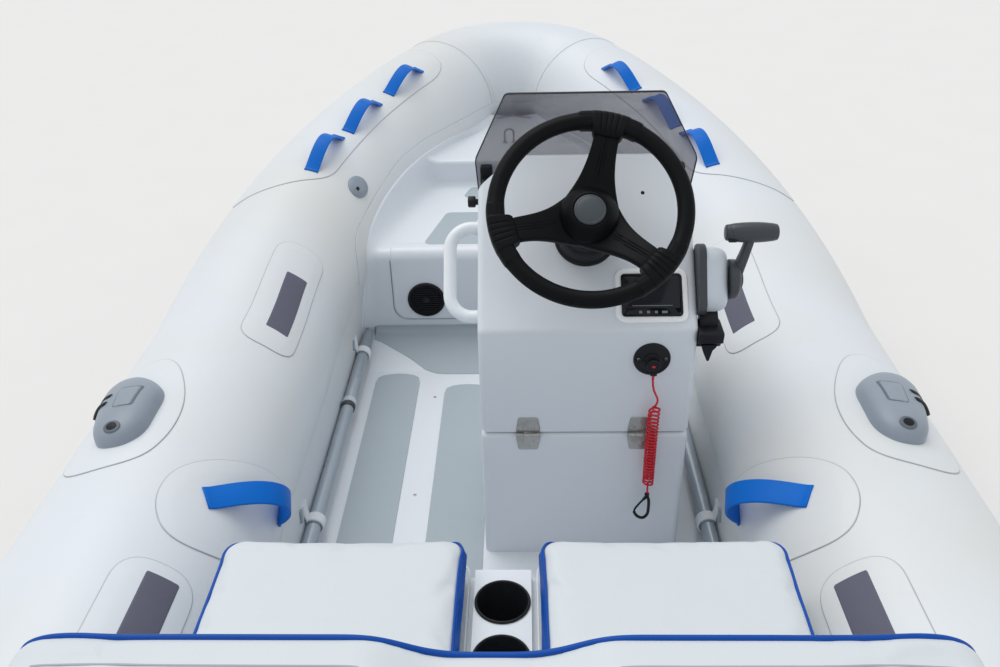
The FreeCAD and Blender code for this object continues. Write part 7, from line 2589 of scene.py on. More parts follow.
@dataclass
class Helm:
    """Stepped helm dome, three-spoke wheel with clamp blocks at its rim, and the hub cap."""

    along: float = 0.178
    side: float = 0.147
    stand_off: float = 0.140
    rim: float = 0.160
    thick: float = 0.0148
    turn: float = 13.5
    hub_low: float = -0.063

    @property
    def seat(self) -> Plane:
        """The dash under the wheel."""
        return DASH.moved(self.side, self.along)

    @property
    def wheel_plane(self) -> Plane:
        """The wheel's own middle plane, turned with it."""
        spot = self.seat.at(np.array([0.0, 0.0]), self.stand_off)
        across, up = np.asarray(self.seat.across), np.asarray(self.seat.up)
        a = math.radians(self.turn)
        up_turned = up * math.cos(a) + across * math.sin(a)
        across_turned = across * math.cos(a) - up * math.sin(a)
        return Plane(tuple(spot), tuple(across_turned), tuple(up_turned))

    def dome(self) -> None:
        """Dome of the helm: a flange, a step, a swelling body and the shaft boss."""
        profile = mm(0, -1, 57, -1, 57, 4, 56.2, 5.4, 54.8, 6, 53, 6.2, 52.2, 7, 51.5, 13, 50.5,
                     20, 48.5, 28, 46, 33, 45, 34.2, 43, 34.8, 42.2, 35.8, 41, 42, 38.5, 50, 34.5,
                     56.5, 30, 60, 26.2, 61.2, 25.5, 62.2, 25.2, 76, 11, 76, 11, 102, 0, 102)
        piece("helm_dome", [self.seat.spin(profile, 72)], BLACK, "helm_bezel", body="console",
              crease=50)

    def rim_ring(self) -> Part:
        """Rim: a ring whose section swells gently into the clamp blocks.

        The angle runs round the ring. Near a spoke the radius of the section grows by a
        smooth step, and a fine groove runs round the face.
        """
        angle, turn = full_turn(264), full_turn(36)
        off_spoke = np.abs((np.degrees(angle) + 60) % 120 - 60)
        swell_share = ease(np.clip((24 - off_spoke) / 9, 0, 1))
        radius = self.thick + 0.0014 * swell_share[:, None] + 0 * turn
        facing = np.exp(-((turn - 1.9) / 0.07) ** 2)
        radius = radius - 0.0006 * facing * (1 - swell_share[:, None])
        reach = self.rim - np.cos(turn) * radius
        flat = np.stack([np.sin(angle)[:, None] * reach, np.cos(angle)[:, None] * reach], axis=-1)
        return loop_skin(self.wheel_plane.at(flat, np.sin(turn) * radius))

    def block(self, number: int) -> Part:
        """Clamp block on the rim where a spoke meets it, deepest beside the spoke.

        The section is a rounded square carried round the rim; its inner reach steps in
        towards the spoke's centre line.
        """
        plane = self.wheel_plane
        degrees = np.linspace(-19, 19, 115)
        off = np.abs(degrees)
        inner = np.interp(off, [0, 4, 9.6, 10.4, 11.0, 18.4, 19],
                          [0.0310, 0.0300, 0.0285, 0.0262, 0.0158, 0.0154, 0.0144])
        outer = np.interp(off, [0, 10.2, 11.0, 18.4, 19], [0.0160, 0.0160, 0.0155, 0.0154, 0.0144])
        high = np.interp(off, [0, 10.2, 11.0, 18.4, 19], [0.0176, 0.0174, 0.0158, 0.0156, 0.0142])
        high -= 0.0016 * sum(np.exp(-((off - g) / 0.42) ** 2) for g in (1.8, 5.4))
        angle = np.radians(degrees + number * 120)
        base = round_section(1.0, 1.0, 0.62, 8)
        a, b = base[:, 0], base[:, 1]
        reach = self.rim + np.where(a[None] > 0, a[None] * outer[:, None],
                                    a[None] * inner[:, None])
        height = b[None] * high[:, None] - 0.0006 * (a[None] < -0.3)
        flat = np.stack([np.sin(angle)[:, None] * reach, np.cos(angle)[:, None] * reach], axis=-1)
        return skin_of(plane.at(flat, height))

    def spoke(self, number: int) -> Part:
        """One spoke: wide at the hub, waisted, then flaring a little at the rim.

        The section has a flat face with three shallow grooves. It rises from the hub's level
        to the rim's along a smooth step of the reach.
        """
        plane = self.wheel_plane
        reach = np.concatenate([np.linspace(0.008, 0.110, 26), np.linspace(0.114, 0.152, 8)])
        half = (0.0205 + 0.031 * np.exp(-((reach - 0.008) / 0.056) ** 1.62)
                + 0.0015 * np.clip((reach - 0.10) / 0.05, 0, 1) ** 2)
        share = ease(np.clip((reach - 0.030) / 0.112, 0, 1))
        top = (self.hub_low + 0.030) * (1 - share) + 0.0065 * share
        low = (self.hub_low + 0.010) * (1 - share) - 0.0085 * share
        u = np.linspace(-1, 1, 41)
        edge = np.sqrt(np.clip(1 - np.clip((np.abs(u) - 0.78) / 0.22, 0, 1) ** 2, 0, 1))
        fade = np.clip((reach - 0.045) / 0.02, 0, 1) * np.clip((0.140 - reach) / 0.02, 0, 1)
        across = u[None] * half[:, None]
        groove = sum(np.exp(-((across - g) / 0.0009) ** 2) for g in (-0.0050, 0.0, 0.0050))
        upper = (top[:, None] - (1 - edge[None]) * 0.0045
                 - groove * 0.0015 * fade[:, None] + 0.0010 * (1 - u[None] ** 2))
        lower = low[:, None] + (1 - edge[None]) * 0.0045
        ring_across = np.concatenate([across, across[:, ::-1]], axis=1)
        ring_height = np.concatenate([upper, lower[:, ::-1]], axis=1)
        a = math.radians(number * 120)
        r = reach[:, None] + 0 * ring_across
        flat = np.stack([math.sin(a) * r + math.cos(a) * ring_across,
                         math.cos(a) * r - math.sin(a) * ring_across], axis=-1)
        return skin_of(plane.at(flat, ring_height))

    def hub(self) -> Part:
        """Hub disc with a chamfer and a seat for the cap, bored for the shaft."""
        low = self.hub_low
        profile = np.array([
            (0.0112, low), (0.0315, low), (0.0380, low + 0.004), (0.0495, low + 0.020),
            (0.0512, low + 0.0300), (0.0508, low + 0.0340), (0.0494, low + 0.0366),
            (0.0462, low + 0.0410), (0.0420, low + 0.0462), (0.0372, low + 0.0516),
            (0.0330, low + 0.0556), (0.0306, low + 0.0570), (0.0290, low + 0.0568),
            (0.0284, low + 0.0556), (0.0280, low + 0.0540), (0.0112, low + 0.0540)])
        plane = self.wheel_plane
        turn = full_turn(72)
        flat = profile[:, :1, None] * np.stack([np.cos(turn), np.sin(turn)], axis=-1)[None]
        rings = plane.at(flat, profile[:, 1:] + 0 * turn)
        return loop_skin(rings)

    def wheel(self) -> None:
        """Rim, blocks, spokes and hub in one moulding."""
        parts = [self.rim_ring(), self.hub()]
        parts += [self.spoke(k) for k in range(3)] + [self.block(k) for k in range(3)]
        piece("wheel_moulding", parts, SOFT_BLACK, "steering_wheel", body="wheel", crease=42)

    def cap(self) -> None:
        """Bare hub cap, a little lighter than the hub."""
        low = self.hub_low + 0.0545
        profile = mm(0, 0, 26.8, 0, 27.5, 1, 27.2, 3, 25.8, 4.2, 24, 4.9, 23.2, 4.6, 22.4, 5, 16,
                     6.2, 8, 7, 0, 7.2)
        spot = self.wheel_plane.moved(0, 0, low)
        piece("wheel_hub_cap", [spot.spin(profile, 64)], HUB_GREY, "wheel_cap", body="wheel",
              crease=40)

    def build(self) -> None:
        """Dome, wheel and cap."""
        self.dome()
        self.wheel()
        self.cap()


@dataclass
class Throttle:
    """Side-mounted remote control: housing, lever, barrel grip and the cable shroud."""

    centre: tuple[float, float] = (1.345, 0.742)
    wall: float = -0.345
    lean: float = 58.0

    def frame(self, out: float = 0.0) -> Plane:
        """Plane on the console's starboard side, its up along the housing's length."""
        a = math.radians(self.lean)
        up = (math.cos(a), 0.0, math.sin(a))
        across = (math.sin(a), 0.0, -math.cos(a))
        x, z = self.centre
        return Plane((x, self.wall - out, z), across, up)

    def housing(self) -> None:
        """Dark back plate, then the light shell that bulges off it."""
        spot = self.frame()
        back = plate(spot, 0.0300, 0.0640, 0.0220,
                     mm(0, -0.5, 0, 10.5, 1, 12.5, 3, 13.5, 10, 13.6), 14)
        piece("control_back", [back], DARK_GREY, body="console")
        shell = plate(spot, 0.0275, 0.0580, 0.0270,
                      mm(0, 12, 0, 30, 1.2, 38.5, 4, 45, 8, 49.2, 13, 51.5, 20, 52), 14)
        piece("control_shell", [shell], SHELL_GREY, "control_box", body="console", crease=50)

    def lever(self) -> None:
        """Disc, curved arm and barrel grip with a ribbed end and a trim key."""
        spot = self.frame(0.055)
        disc = mm(0, 0, 34.5, 0, 36.5, 1.5, 36.5, 10.5, 35, 14, 31, 17.2, 25, 19, 18, 19.6, 17.2,
                  20.6, 16.5, 23.8, 13, 25.2, 0, 25.6)
        parts = [spot.spin(disc, 64)]
        arm = smooth_line([(1.345, -0.411, 0.742), (1.3425, -0.416, 0.766),
                           (1.3425, -0.4225, 0.790), (1.3460, -0.4290, 0.812),
                           (1.3490, -0.4330, 0.828)], 40)
        t = np.linspace(0, 1, 40)
        width = np.interp(t, [0, 0.25, 0.6, 0.85, 1], [0.032, 0.0270, 0.0210, 0.0210, 0.0270])
        depth = np.interp(t, [0, 0.5, 0.85, 1], [0.0190, 0.0165, 0.0150, 0.0190])
        base = round_section(0.5, 0.5, 0.30, 7)
        sections = base[None] * np.stack([width, depth], axis=-1)[:, None]
        parts.append(skin_of(carried(arm, sections, -Y_DIR)))
        piece("lever_arm", parts, DARK_GREY, "throttle_lever", body="throttle", crease=45)
        grip = mm(0, 0, 11.2, 0, 13.6, 1.4, 14.4, 3.4, 14.1, 5, 14.5, 5.8, 14.9, 7.8, 14.5, 8.6,
                  15.1, 9.6, 16.3, 16, 17.5, 30, 18, 45, 17.9, 57, 17.1, 70, 15.8, 81.5, 15.2, 85,
                  14.7, 85.6, 14.8, 86.6, 13.8, 90, 11.2, 91.7, 0, 92)
        piece("lever_grip", [spun(grip, (1.349, -0.387, 0.832), -Y_DIR, X_DIR, 56)], DARK_GREY,
              body="throttle", crease=45)
        key = plate(Plane((1.338, -0.399, 0.8235), (0.0, -1.0, 0.0), (-0.72, 0.0, -0.69)), 0.0080,
                    0.0050, 0.003, mm(0, -4, 0, 1.2, 1, 2.4, 3, 2.6))
        piece("lever_key", [key], BLACK, body="throttle")

    def shroud(self) -> None:
        """Stepped black bracket under the housing that takes the cables."""
        side = [(1.2700, 0.6720), (1.3260, 0.6740), (1.3270, 0.6560), (1.3060, 0.6330),
                (1.2960, 0.6300), (1.2880, 0.6440), (1.2740, 0.6500)]
        line = rounded_polygon(side, [0.004, 0.005, 0.006, 0.005, 0.004, 0.004, 0.004], 5)
        wall = self.wall
        parts = [prism(line, [(share, wall + y) for share, y in (
            (0.3, 0.0), (0.8, 0.0), (0.97, 0.0), (1.0, -0.0015), (1.0, -0.0405),
            (0.975, -0.0430), (0.9, -0.0440), (0.4, -0.0440))], 1)]
        lug = mm(1295, 670, 1323, 670, 1323, 689, 1312, 696, 1298, 684)
        levels = [(share, wall + y) for share, y in ((0.3, -0.004), (0.9, -0.004), (1.0, -0.006),
                                                     (1.0, -0.034), (0.94, -0.036), (0.4, -0.036))]
        parts.append(prism(rounded_polygon(lug, [0.003] * 5, 5), levels, 1))
        spike = mm(-352, 640, -384, 640, -374, 628, -369, 606, -365.5, 605, -358, 622)
        line = rounded_polygon(spike, [0.003, 0.003, 0.004, 0.0015, 0.0015, 0.004], 5)
        parts.append(prism(line, ((0.4, 1.2860), (0.96, 1.2860), (1.0, 1.2870), (1.0, 1.2960),
                                  (0.96, 1.2970), (0.4, 1.2970)), 0))
        piece("control_bracket", parts, BLACK, "control_shroud", body="console")

    def build(self) -> None:
        """The whole control."""
        self.housing()
        self.lever()
        self.shroud()


# Stop lanyard

@dataclass
class Lanyard:
    """Curly stop cord from the switch down to its hook, with the clip at its head."""

    lead: tuple[tuple[float, float, float], ...] = (
        (1.260, -0.266, 0.583), (1.260, -0.267, 0.562), (1.256, -0.2790, 0.5425),
        (1.254, -0.271, 0.528))
    coil_end: tuple[float, float, float] = (1.254, -0.271, 0.346)
    tail_end: tuple[float, float, float] = (1.254, -0.271, 0.322)
    diameter: float = 0.0040
    coil_radius: float = 0.0096
    turns: float = 25.0
    per_turn: int = 14

    def route_points(self) -> Array:
        """Points read from the route's own spline, made as a curve with no bevel."""
        return self.read(self.spline("lanyard_route", [*self.lead, self.coil_end, self.tail_end]))

    @staticmethod
    def read(curve: bpy.types.Curve) -> Array:
        """Points of a bare curve as the scene evaluates it."""
        holder = fresh("lanyard_measure", curve)
        graph = bpy.context.evaluated_depsgraph_get()
        line = mesh_points(bpy.data.meshes.new_from_object(holder.evaluated_get(graph)))
        bpy.data.objects.remove(holder)
        return line

    @staticmethod
    def spline(name: str, points: Sequence[Sequence[float]] | Array) -> bpy.types.Curve:
        """A curve of one open spline of order three that ends at its end points."""
        curve = bpy.data.curves.new(name, "CURVE")
        curve.dimensions = "3D"
        line = curve.splines.new("NURBS")
        line.points.add(len(points) - 1)
        flat = np.column_stack([np.asarray(points, float), np.ones(len(points))])
        line.points.foreach_set("co", flat.astype(np.float32).ravel())
        line.order_u = 3
        line.use_endpoint_u = True
        return curve

    def helix(self, route: Array) -> Array:
        """The coil's turns about the route.

        Between the coil's ends the share of the turns grows slowly over the first sixth,
        where they hang open, then evenly. Each point is the route's point at a height plus
        the radius times the turning direction, the radius rising from 0 at both ends.
        """
        top, low = self.lead[-1][2], self.coil_end[2]
        count = int(self.turns * self.per_turn) + 1
        t = np.linspace(0, 1, count)
        turned = t * self.turns
        drop = np.interp(turned, [0.0, 1.0, 3.0, 6.0, 9.0, self.turns],
                         [0.0, 0.055, 0.150, 0.280, 0.400, 1.0])
        z = top + (low - top) * drop
        order = np.argsort(route[:, 2])
        x = np.interp(z, route[order, 2], route[order, 0])
        y = np.interp(z, route[order, 2], route[order, 1])
        rise = np.clip(np.minimum(turned / 0.45, (self.turns - turned) / 0.35), 0, 1)
        radius = self.coil_radius * rise
        angle = 2 * math.pi * turned + 0.4
        return np.stack([x + radius * np.cos(angle), y + radius * np.sin(angle), z], axis=-1)

    def cord(self) -> bpy.types.Object:
        """The cord: the lead's points, the helix, then the tail's end."""
        helix = self.helix(self.route_points())
        points = np.concatenate([np.asarray(self.lead[:-1]), helix, [self.tail_end]])
        curve = self.spline("lanyard_cord", points)
        curve.bevel_depth = self.diameter / 2
        curve.bevel_resolution = 2
        curve.use_fill_caps = True
        curve.resolution_u = 3
        made = dress(fresh("lanyard_cord", curve), RED_CORD, "lanyard_lead", "lanyard_coil",
                     "lanyard_tail", body="lanyard")
        bare = self.spline("lanyard_measure", points)
        bare.resolution_u = 3
        line = self.read(bare)
        length = float(np.linalg.norm(np.diff(line, axis=0), axis=1).sum())
        LOG.info("lanyard cord length %.4f", length)
        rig.cord(made, exit=self.lead[0], length=round(length, 3), diameter=self.diameter,
                far_end="fitting", stiffness="medium", lay="coiled",
                with_pieces=[NODES["lanyard_ferrule"], self.hook()])
        return made

    def hook(self) -> bpy.types.Object:
        """Black teardrop hook with a swivel collar and a spring gate."""
        x, y, z = self.tail_end
        loop = smooth_line([(x, y - 0.0010, z - 0.009), (x, y - 0.0042, z - 0.018),
                            (x, y - 0.0050, z - 0.037), (x, y - 0.0034, z - 0.054),
                            (x, y + 0.0040, z - 0.0630), (x, y + 0.0140, z - 0.0605),
                            (x, y + 0.0212, z - 0.0515), (x, y + 0.0222, z - 0.0430),
                            (x, y + 0.0150, z - 0.0290), (x, y + 0.0010, z - 0.009)], 90)
        turn = full_turn(14)
        share = np.linspace(0, 1, 90)
        thick = np.where((share > 0.72) & (share < 0.96), 0.0020, 0.0030)
        section = np.stack([np.cos(turn), np.sin(turn)], axis=-1)[None] * thick[:, None, None]
        parts = [skin_of(carried(loop, section, X_DIR))]
        collar = mm(0, 0, 3, 0, 4.6, 1.2, 4.6, 3.8, 3.6, 4.6, 3.6, 5.2, 4.5, 6, 4.5, 8.2, 3, 9.2,
                    0, 9.3)
        parts.append(spun(collar, (x, y, z - 0.0095), Z_DIR, X_DIR, 28))
        return piece("lanyard_hook", parts, BLACK, "carabiner", body="lanyard", crease=50)

    def clip(self) -> None:
        """Red clip ring pushed on the switch, with its tab."""
        turn = full_turn(56)
        profile = mm(9.4, -2.4, 12.8, -2.4, 13, -1.6, 13, 1.6, 12.8, 2.4, 9.4, 2.4)
        ring = np.stack([1.264 + profile[:, 1:] + 0 * turn, -0.265 + profile[:, :1] * np.sin(turn),
                         0.615 + profile[:, :1] * np.cos(turn)], axis=-1)
        parts = [loop_skin(ring)]
        tab = Plane((1.2642, -0.266, 0.6005), (0.0, -1.0, 0.0), (0.0, 0.0, 1.0))
        parts.append(plate(tab, 0.0045, 0.0035, 0.0015,
                           mm(0.3, -2.4, 0, -1.8, 0, 1.8, 0.6, 2.5, 2, 2.6)))
        piece("stop_clip", parts, RED_CORD, body="console")

    def build(self) -> None:
        """Cord, hook and clip."""
        self.cord()
        self.clip()


# Oars and their straps

@dataclass
class Oar:
    """Two-part alloy oar stowed by the coaming, with its collar, button and straps."""

    side: Side
    reach: float = 0.414
    level: float = 0.177
    straps: tuple[float, float] = (1.330, 2.006)

    def turned(self, profile: Pairs) -> Part:
        """Profile of radius and X station spun about the oar's axis."""
        flat = np.array([(radius, station) for station, radius in profile])
        return spun(flat, (0.0, self.side * self.reach, self.level), X_DIR, Y_DIR, 40)

    def shaft(self) -> None:
        """Inner shaft, the wider outer sleeve, and the flattened end of the blade's socket."""
        name = word_of(self.side)
        inner = [(0.962, 0.0), (0.962, 0.0146), (0.964, 0.0154), (1.745, 0.0154),
                 (1.747, 0.0154), (1.747, 0.0)]
        sleeve = [(1.776, 0.0), (1.776, 0.0150), (1.778, 0.0160), (2.030, 0.0160),
                  (2.034, 0.0150), (2.034, 0.0)]
        parts = [self.turned(inner), self.turned(sleeve)]
        button = mm(0, -2, 4.4, -2, 4.4, 0.8, 3, 1.2, 2.7, 2.4, 1.8, 3.1, 0, 3.3)
        lean = math.radians(62)
        out = np.array([0.0, -self.side * math.cos(lean), math.sin(lean)])
        base = np.array([1.873, self.side * self.reach, self.level]) + out * 0.0158
        parts.append(spun(button, base, out, X_DIR, 24))
        piece(f"oar_shaft_{name}", parts, ALLOY, f"oar_{name}", crease=50)
        x = np.linspace(2.026, 2.146, 22)
        half_y = np.interp(x, [2.026, 2.060, 2.100, 2.130, 2.146],
                           [0.0166, 0.0164, 0.0140, 0.0085, 0.0015])
        half_z = np.interp(x, [2.026, 2.060, 2.100, 2.130, 2.146],
                           [0.0166, 0.0172, 0.0165, 0.0110, 0.0020])
        turn = full_turn(36)
        rings = np.stack([x[:, None] + 0 * turn,
                          self.side * self.reach + half_y[:, None] * np.cos(turn),
                          self.level + half_z[:, None] * np.sin(turn)], axis=-1)
        blade = [skin_of(rings)]
        piece(f"oar_blade_{name}", blade, OAR_GREY, crease=60)

    def collar(self) -> None:
        """Dark locking ring between two pale flanges, and the dark end stop."""
        name = word_of(self.side)
        ring = [(1.744, 0.0), (1.744, 0.0172), (1.746, 0.0184), (1.752, 0.0188),
                (1.758, 0.0184), (1.760, 0.0172), (1.760, 0.0)]
        stop = [(0.9420, 0.0), (0.9425, 0.0080), (0.9460, 0.0140), (0.9520, 0.0172),
                (0.9600, 0.0180), (0.9850, 0.0178), (0.9880, 0.0160), (0.9880, 0.0)]
        rings = [self.turned(ring), self.turned(stop)]
        piece(f"oar_ring_{name}", rings, DARK_GREY, crease=50)
        pale = [(1.759, 0.0), (1.759, 0.0192), (1.761, 0.0202), (1.764, 0.0204), (1.766, 0.0196),
                (1.767, 0.0174), (1.775, 0.0170), (1.778, 0.0178), (1.780, 0.0172), (1.780, 0.0)]
        piece(f"oar_collar_{name}", [self.turned(pale)], CLEAR_GREY, crease=50)

    def strap_set(self) -> None:
        """Grey cradles under the shaft and white ribbed webbing over it."""
        name = word_of(self.side)
        centre = np.array([self.side * self.reach, self.level])
        cradles, bands = [], []
        for station in self.straps:
            turn = np.radians(np.linspace(35.0, 238.0, 40))
            flat = centre + np.stack([self.side * np.cos(turn), np.sin(turn)], axis=-1) * 0.0176
            lead = np.array([(self.side * 0.4335, 0.232), (self.side * 0.4325, 0.205)])
            path = np.concatenate([lead, flat])
            for across, low, high, ribs, store in ((0.0150, 0.0, 0.0016, 0.0, cradles),
                                                   (0.0125, 0.0012, 0.0026, 0.0007, bands)):
                line = path if store is bands else centre + (flat - centre) * 0.985
                heading = unit(np.gradient(line, axis=0))
                out = np.column_stack([-heading[:, 1], heading[:, 0]]) * -self.side
                out *= np.sign(np.sum(out * (line - centre), axis=1).sum())
                x = np.linspace(-across, across, 43)
                edge = np.minimum((across - np.abs(x)) / 0.0008, 1.0)
                top = (high + ribs * np.cos(x * 2 * math.pi / 0.0050)) * np.sqrt(edge)
                level = np.concatenate([low + np.maximum(top, 0.0), np.full(43, low - 0.0004)])
                along = np.concatenate([x, x[::-1]])
                rings = np.stack([station + along[None, :] + 0 * line[:, :1],
                                  line[:, :1] + out[:, :1] * level[None],
                                  line[:, 1:] + out[:, 1:] * level[None]], axis=-1)
                store.append(skin_of(rings))
            lug = Plane((station - 0.034, self.side * 0.4306, 0.226),
                        (float(self.side), 0.0, 0.0), (0.2425, 0.0, 0.9701))
            cradles.append(plate(lug, 0.0050, 0.0150, 0.0045, mm(0, -4, 0, 2.2, 0.8, 3.4, 3, 3.6)))
        clips = ("oar_clips",) if self.side > 0 else ()
        piece(f"oar_cradles_{name}", cradles, OAR_GREY, *clips, crease=60,
              slot="dark_grey_plastic")
        piece(f"oar_webbing_{name}", bands, WEBBING, crease=60)

    def build(self) -> None:
        """One oar with its straps."""
        self.shaft()
        self.collar()
        self.strap_set()


# Outboard motor

@dataclass
class Motor:
    """Small outboard, drawn upright about its tilt pin and carried to the parked angle.

    Sizes are metres. The motor's parts are drawn in the running place: X forward, Z up, the
    steering axis 100 mm behind the tilt pin. Every point is then turned about the pin.
    """

    pin_x: float = -0.030
    pin_z: float = 0.535
    parked: float = 50.0
    steer: float = -0.130
    drop: float = 0.680
    gear: float = -0.365
    cowl_rows: tuple[tuple[float, float, float, float, float], ...] = (
        # height over the pin, centre x, half length, half width, power of the outline
        (0.060, -0.2290, 0.1660, 0.1270, 3.2), (0.064, -0.2292, 0.1700, 0.1300, 3.2),
        (0.075, -0.2300, 0.1745, 0.1345, 3.2), (0.100, -0.2330, 0.1830, 0.1420, 3.2),
        (0.118, -0.2350, 0.1870, 0.1450, 3.2), (0.1205, -0.2352, 0.1842, 0.1424, 3.2),
        (0.1235, -0.2354, 0.1842, 0.1424, 3.2), (0.126, -0.2356, 0.1876, 0.1456, 3.2),
        (0.160, -0.2375, 0.1900, 0.1478, 3.2), (0.200, -0.2390, 0.1912, 0.1480, 3.2),
        (0.240, -0.2400, 0.1905, 0.1466, 3.2), (0.275, -0.2385, 0.1860, 0.1420, 3.1),
        (0.305, -0.2355, 0.1770, 0.1330, 3.0), (0.325, -0.2320, 0.1660, 0.1235, 3.0),
        (0.340, -0.2285, 0.1520, 0.1120, 2.9), (0.351, -0.2250, 0.1330, 0.0960, 2.8),
        (0.358, -0.2225, 0.1080, 0.0740, 2.7), (0.3615, -0.2210, 0.0740, 0.0480, 2.5),
        (0.3630, -0.2205, 0.0340, 0.0210, 2.2))

    def carry(self, points: Array) -> Array:
        """Points turned about the tilt pin by the parked angle."""
        a = math.radians(self.parked)
        x, z = points[..., 0] - self.pin_x, points[..., 2] - self.pin_z
        return np.stack([self.pin_x + x * math.cos(a) + z * math.sin(a), points[..., 1],
                         self.pin_z - x * math.sin(a) + z * math.cos(a)], axis=-1)

    def carried(self, parts: Sequence[Part]) -> list[Part]:
        """Parts at the parked angle."""
        return [(self.carry(points), faces) for points, faces in parts]

    def rings(self, rows: Array, count: int = 96) -> Part:
        """Loft of superellipses: x = a sgn(cos) |cos| to the power 2/p, and y the same way."""
        turn = full_turn(count)
        cos, sin = np.cos(turn)[None], np.sin(turn)[None]
        high, mid, a, b, power = (rows[:, k:k + 1] for k in range(5))
        x = mid + a * np.sign(cos) * np.abs(cos) ** (2 / power)
        y = b * np.sign(sin) * np.abs(sin) ** (2 / power)
        return skin_of(np.stack([x, y, self.pin_z + high + 0 * x], axis=-1))

    @staticmethod
    def drawn_in(line: Array, inset: float) -> Array:
        """Closed flat line moved inwards along its own normals."""
        along = unit(np.roll(line, -1, axis=0) - np.roll(line, 1, axis=0))
        normal = np.column_stack([-along[:, 1], along[:, 0]])
        after = np.roll(line, -1, axis=0)
        area = float(np.sum(line[:, 0] * after[:, 1] - after[:, 0] * line[:, 1]))
        return line + normal * math.copysign(inset, area)

    @staticmethod
    def filled(rows: Array, steps: int) -> Array:
        """Rows with evenly shared ones between them."""
        at = np.linspace(0, len(rows) - 1, (len(rows) - 1) * steps + 1)
        return np.stack([np.interp(at, np.arange(len(rows)), column) for column in rows.T],
                        axis=-1)

    def slab(self, half: tuple[float, float, float], centre: tuple[float, float, float],
             corner: float, edge: float) -> Part:
        """Block with rounded upright corners and eased top and bottom edges."""
        shape = round_section(half[0], half[1], corner, 8)
        rows = []
        for share in (0.0, 0.35, 0.75, 1.0):
            rows.append((-half[2] + edge * share, 1 - edge * (1 - math.sqrt(
                1 - (1 - share) ** 2)) / min(half[:2])))
        rows += [(-row[0], row[1]) for row in rows[::-1]]
        return skin_of([lay(shape * scale, 2, high) + centre for high, scale in rows])

    def rod(self, start: Sequence[float], end: Sequence[float], radius: float,
            ease: float = 0.0015) -> Part:
        """Round bar with eased ends."""
        a, b = np.asarray(start, float), np.asarray(end, float)
        length = float(np.linalg.norm(b - a))
        axis = (b - a) / length
        side = unit(np.cross(axis, np.array([0.31, 0.87, 0.38])))
        profile = np.array([(0.0, 0.0), (radius - ease, 0.0), (radius, ease),
                            (radius, length - ease), (radius - ease, length), (0.0, length)])
        return spun(profile, a, axis, side, 36)

    def cowl(self) -> None:
        """Cowl with a sunk joint line, a scoop at its back, a grip and a starter handle."""
        rows = np.array(self.cowl_rows)
        piece("motor_cowl", self.carried([self.rings(self.filled(rows, 3), 140)]), MOTOR_COVER,
              "engine_cowl", body="engine", crease=35)
        slats = []
        for row, high in enumerate(np.linspace(0.225, 0.289, 6)):
            half_y = 0.058 - 0.003 * row
            y = np.linspace(-half_y, half_y, 30)
            level = np.interp(high, rows[:, 0], rows[:, 1] - rows[:, 2])
            wide = np.interp(high, rows[:, 0], rows[:, 3])
            path = np.column_stack([
                level + 0.19 * (1 - (1 - (np.abs(y) / wide) ** 3.2) ** (1 / 3.2)) - 0.0004, y,
                np.full(30, self.pin_z + high)])
            slats.append(band_along(path, Z_DIR, 0.0052, 0.0050))
        frame = Plane((-0.230, 0.0, self.pin_z + 0.3615), (0.0, 1.0, 0.0), (-1.0, 0.0, 0.0))
        slats.append(plate(frame, 0.030, 0.052, 0.024,
                           mm(0, -6, 0, 1, 1, 2.2, 3, 2.6, 6, 2.6, 10, -0.5, 14, -1.2), 12))
        handle = Plane((-0.0455, 0.0, self.pin_z + 0.175), (0.0, -1.0, 0.0), (0.0, 0.0, -1.0))
        slats.append(plate(handle, 0.036, 0.012, 0.008,
                           mm(4, -4, 0, -1, 0, 5, 2, 9, 6, 10.5, 9, 10.8), 8))
        piece("motor_vents", self.carried(slats), BLACK, body="engine", crease=45)
        band = np.array(
            [(0.0290, -0.2280, 0.1500, 0.1060, 3.0), (0.0310, -0.2280, 0.1540, 0.1100, 3.0),
             (0.0400, -0.2282, 0.1590, 0.1180, 3.0), (0.0500, -0.2286, 0.1630, 0.1240, 3.1),
             (0.0570, -0.2288, 0.1655, 0.1262, 3.2), (0.0585, -0.2288, 0.1640, 0.1248, 3.2),
             (0.0610, -0.2288, 0.1640, 0.1248, 3.2)])
        latch = Plane((-0.393, 0.0, self.pin_z + 0.050), (0.0, 1.0, 0.0), (0.0, 0.0, 1.0))
        tray = [self.rings(self.filled(band, 2), 140),
                plate(latch, 0.026, 0.012, 0.006, mm(0, -6, 0, 3, 1.2, 4.6, 4, 5), 8)]
        piece("motor_tray", self.carried(tray), MOTOR_PAINT, body="engine", crease=40)

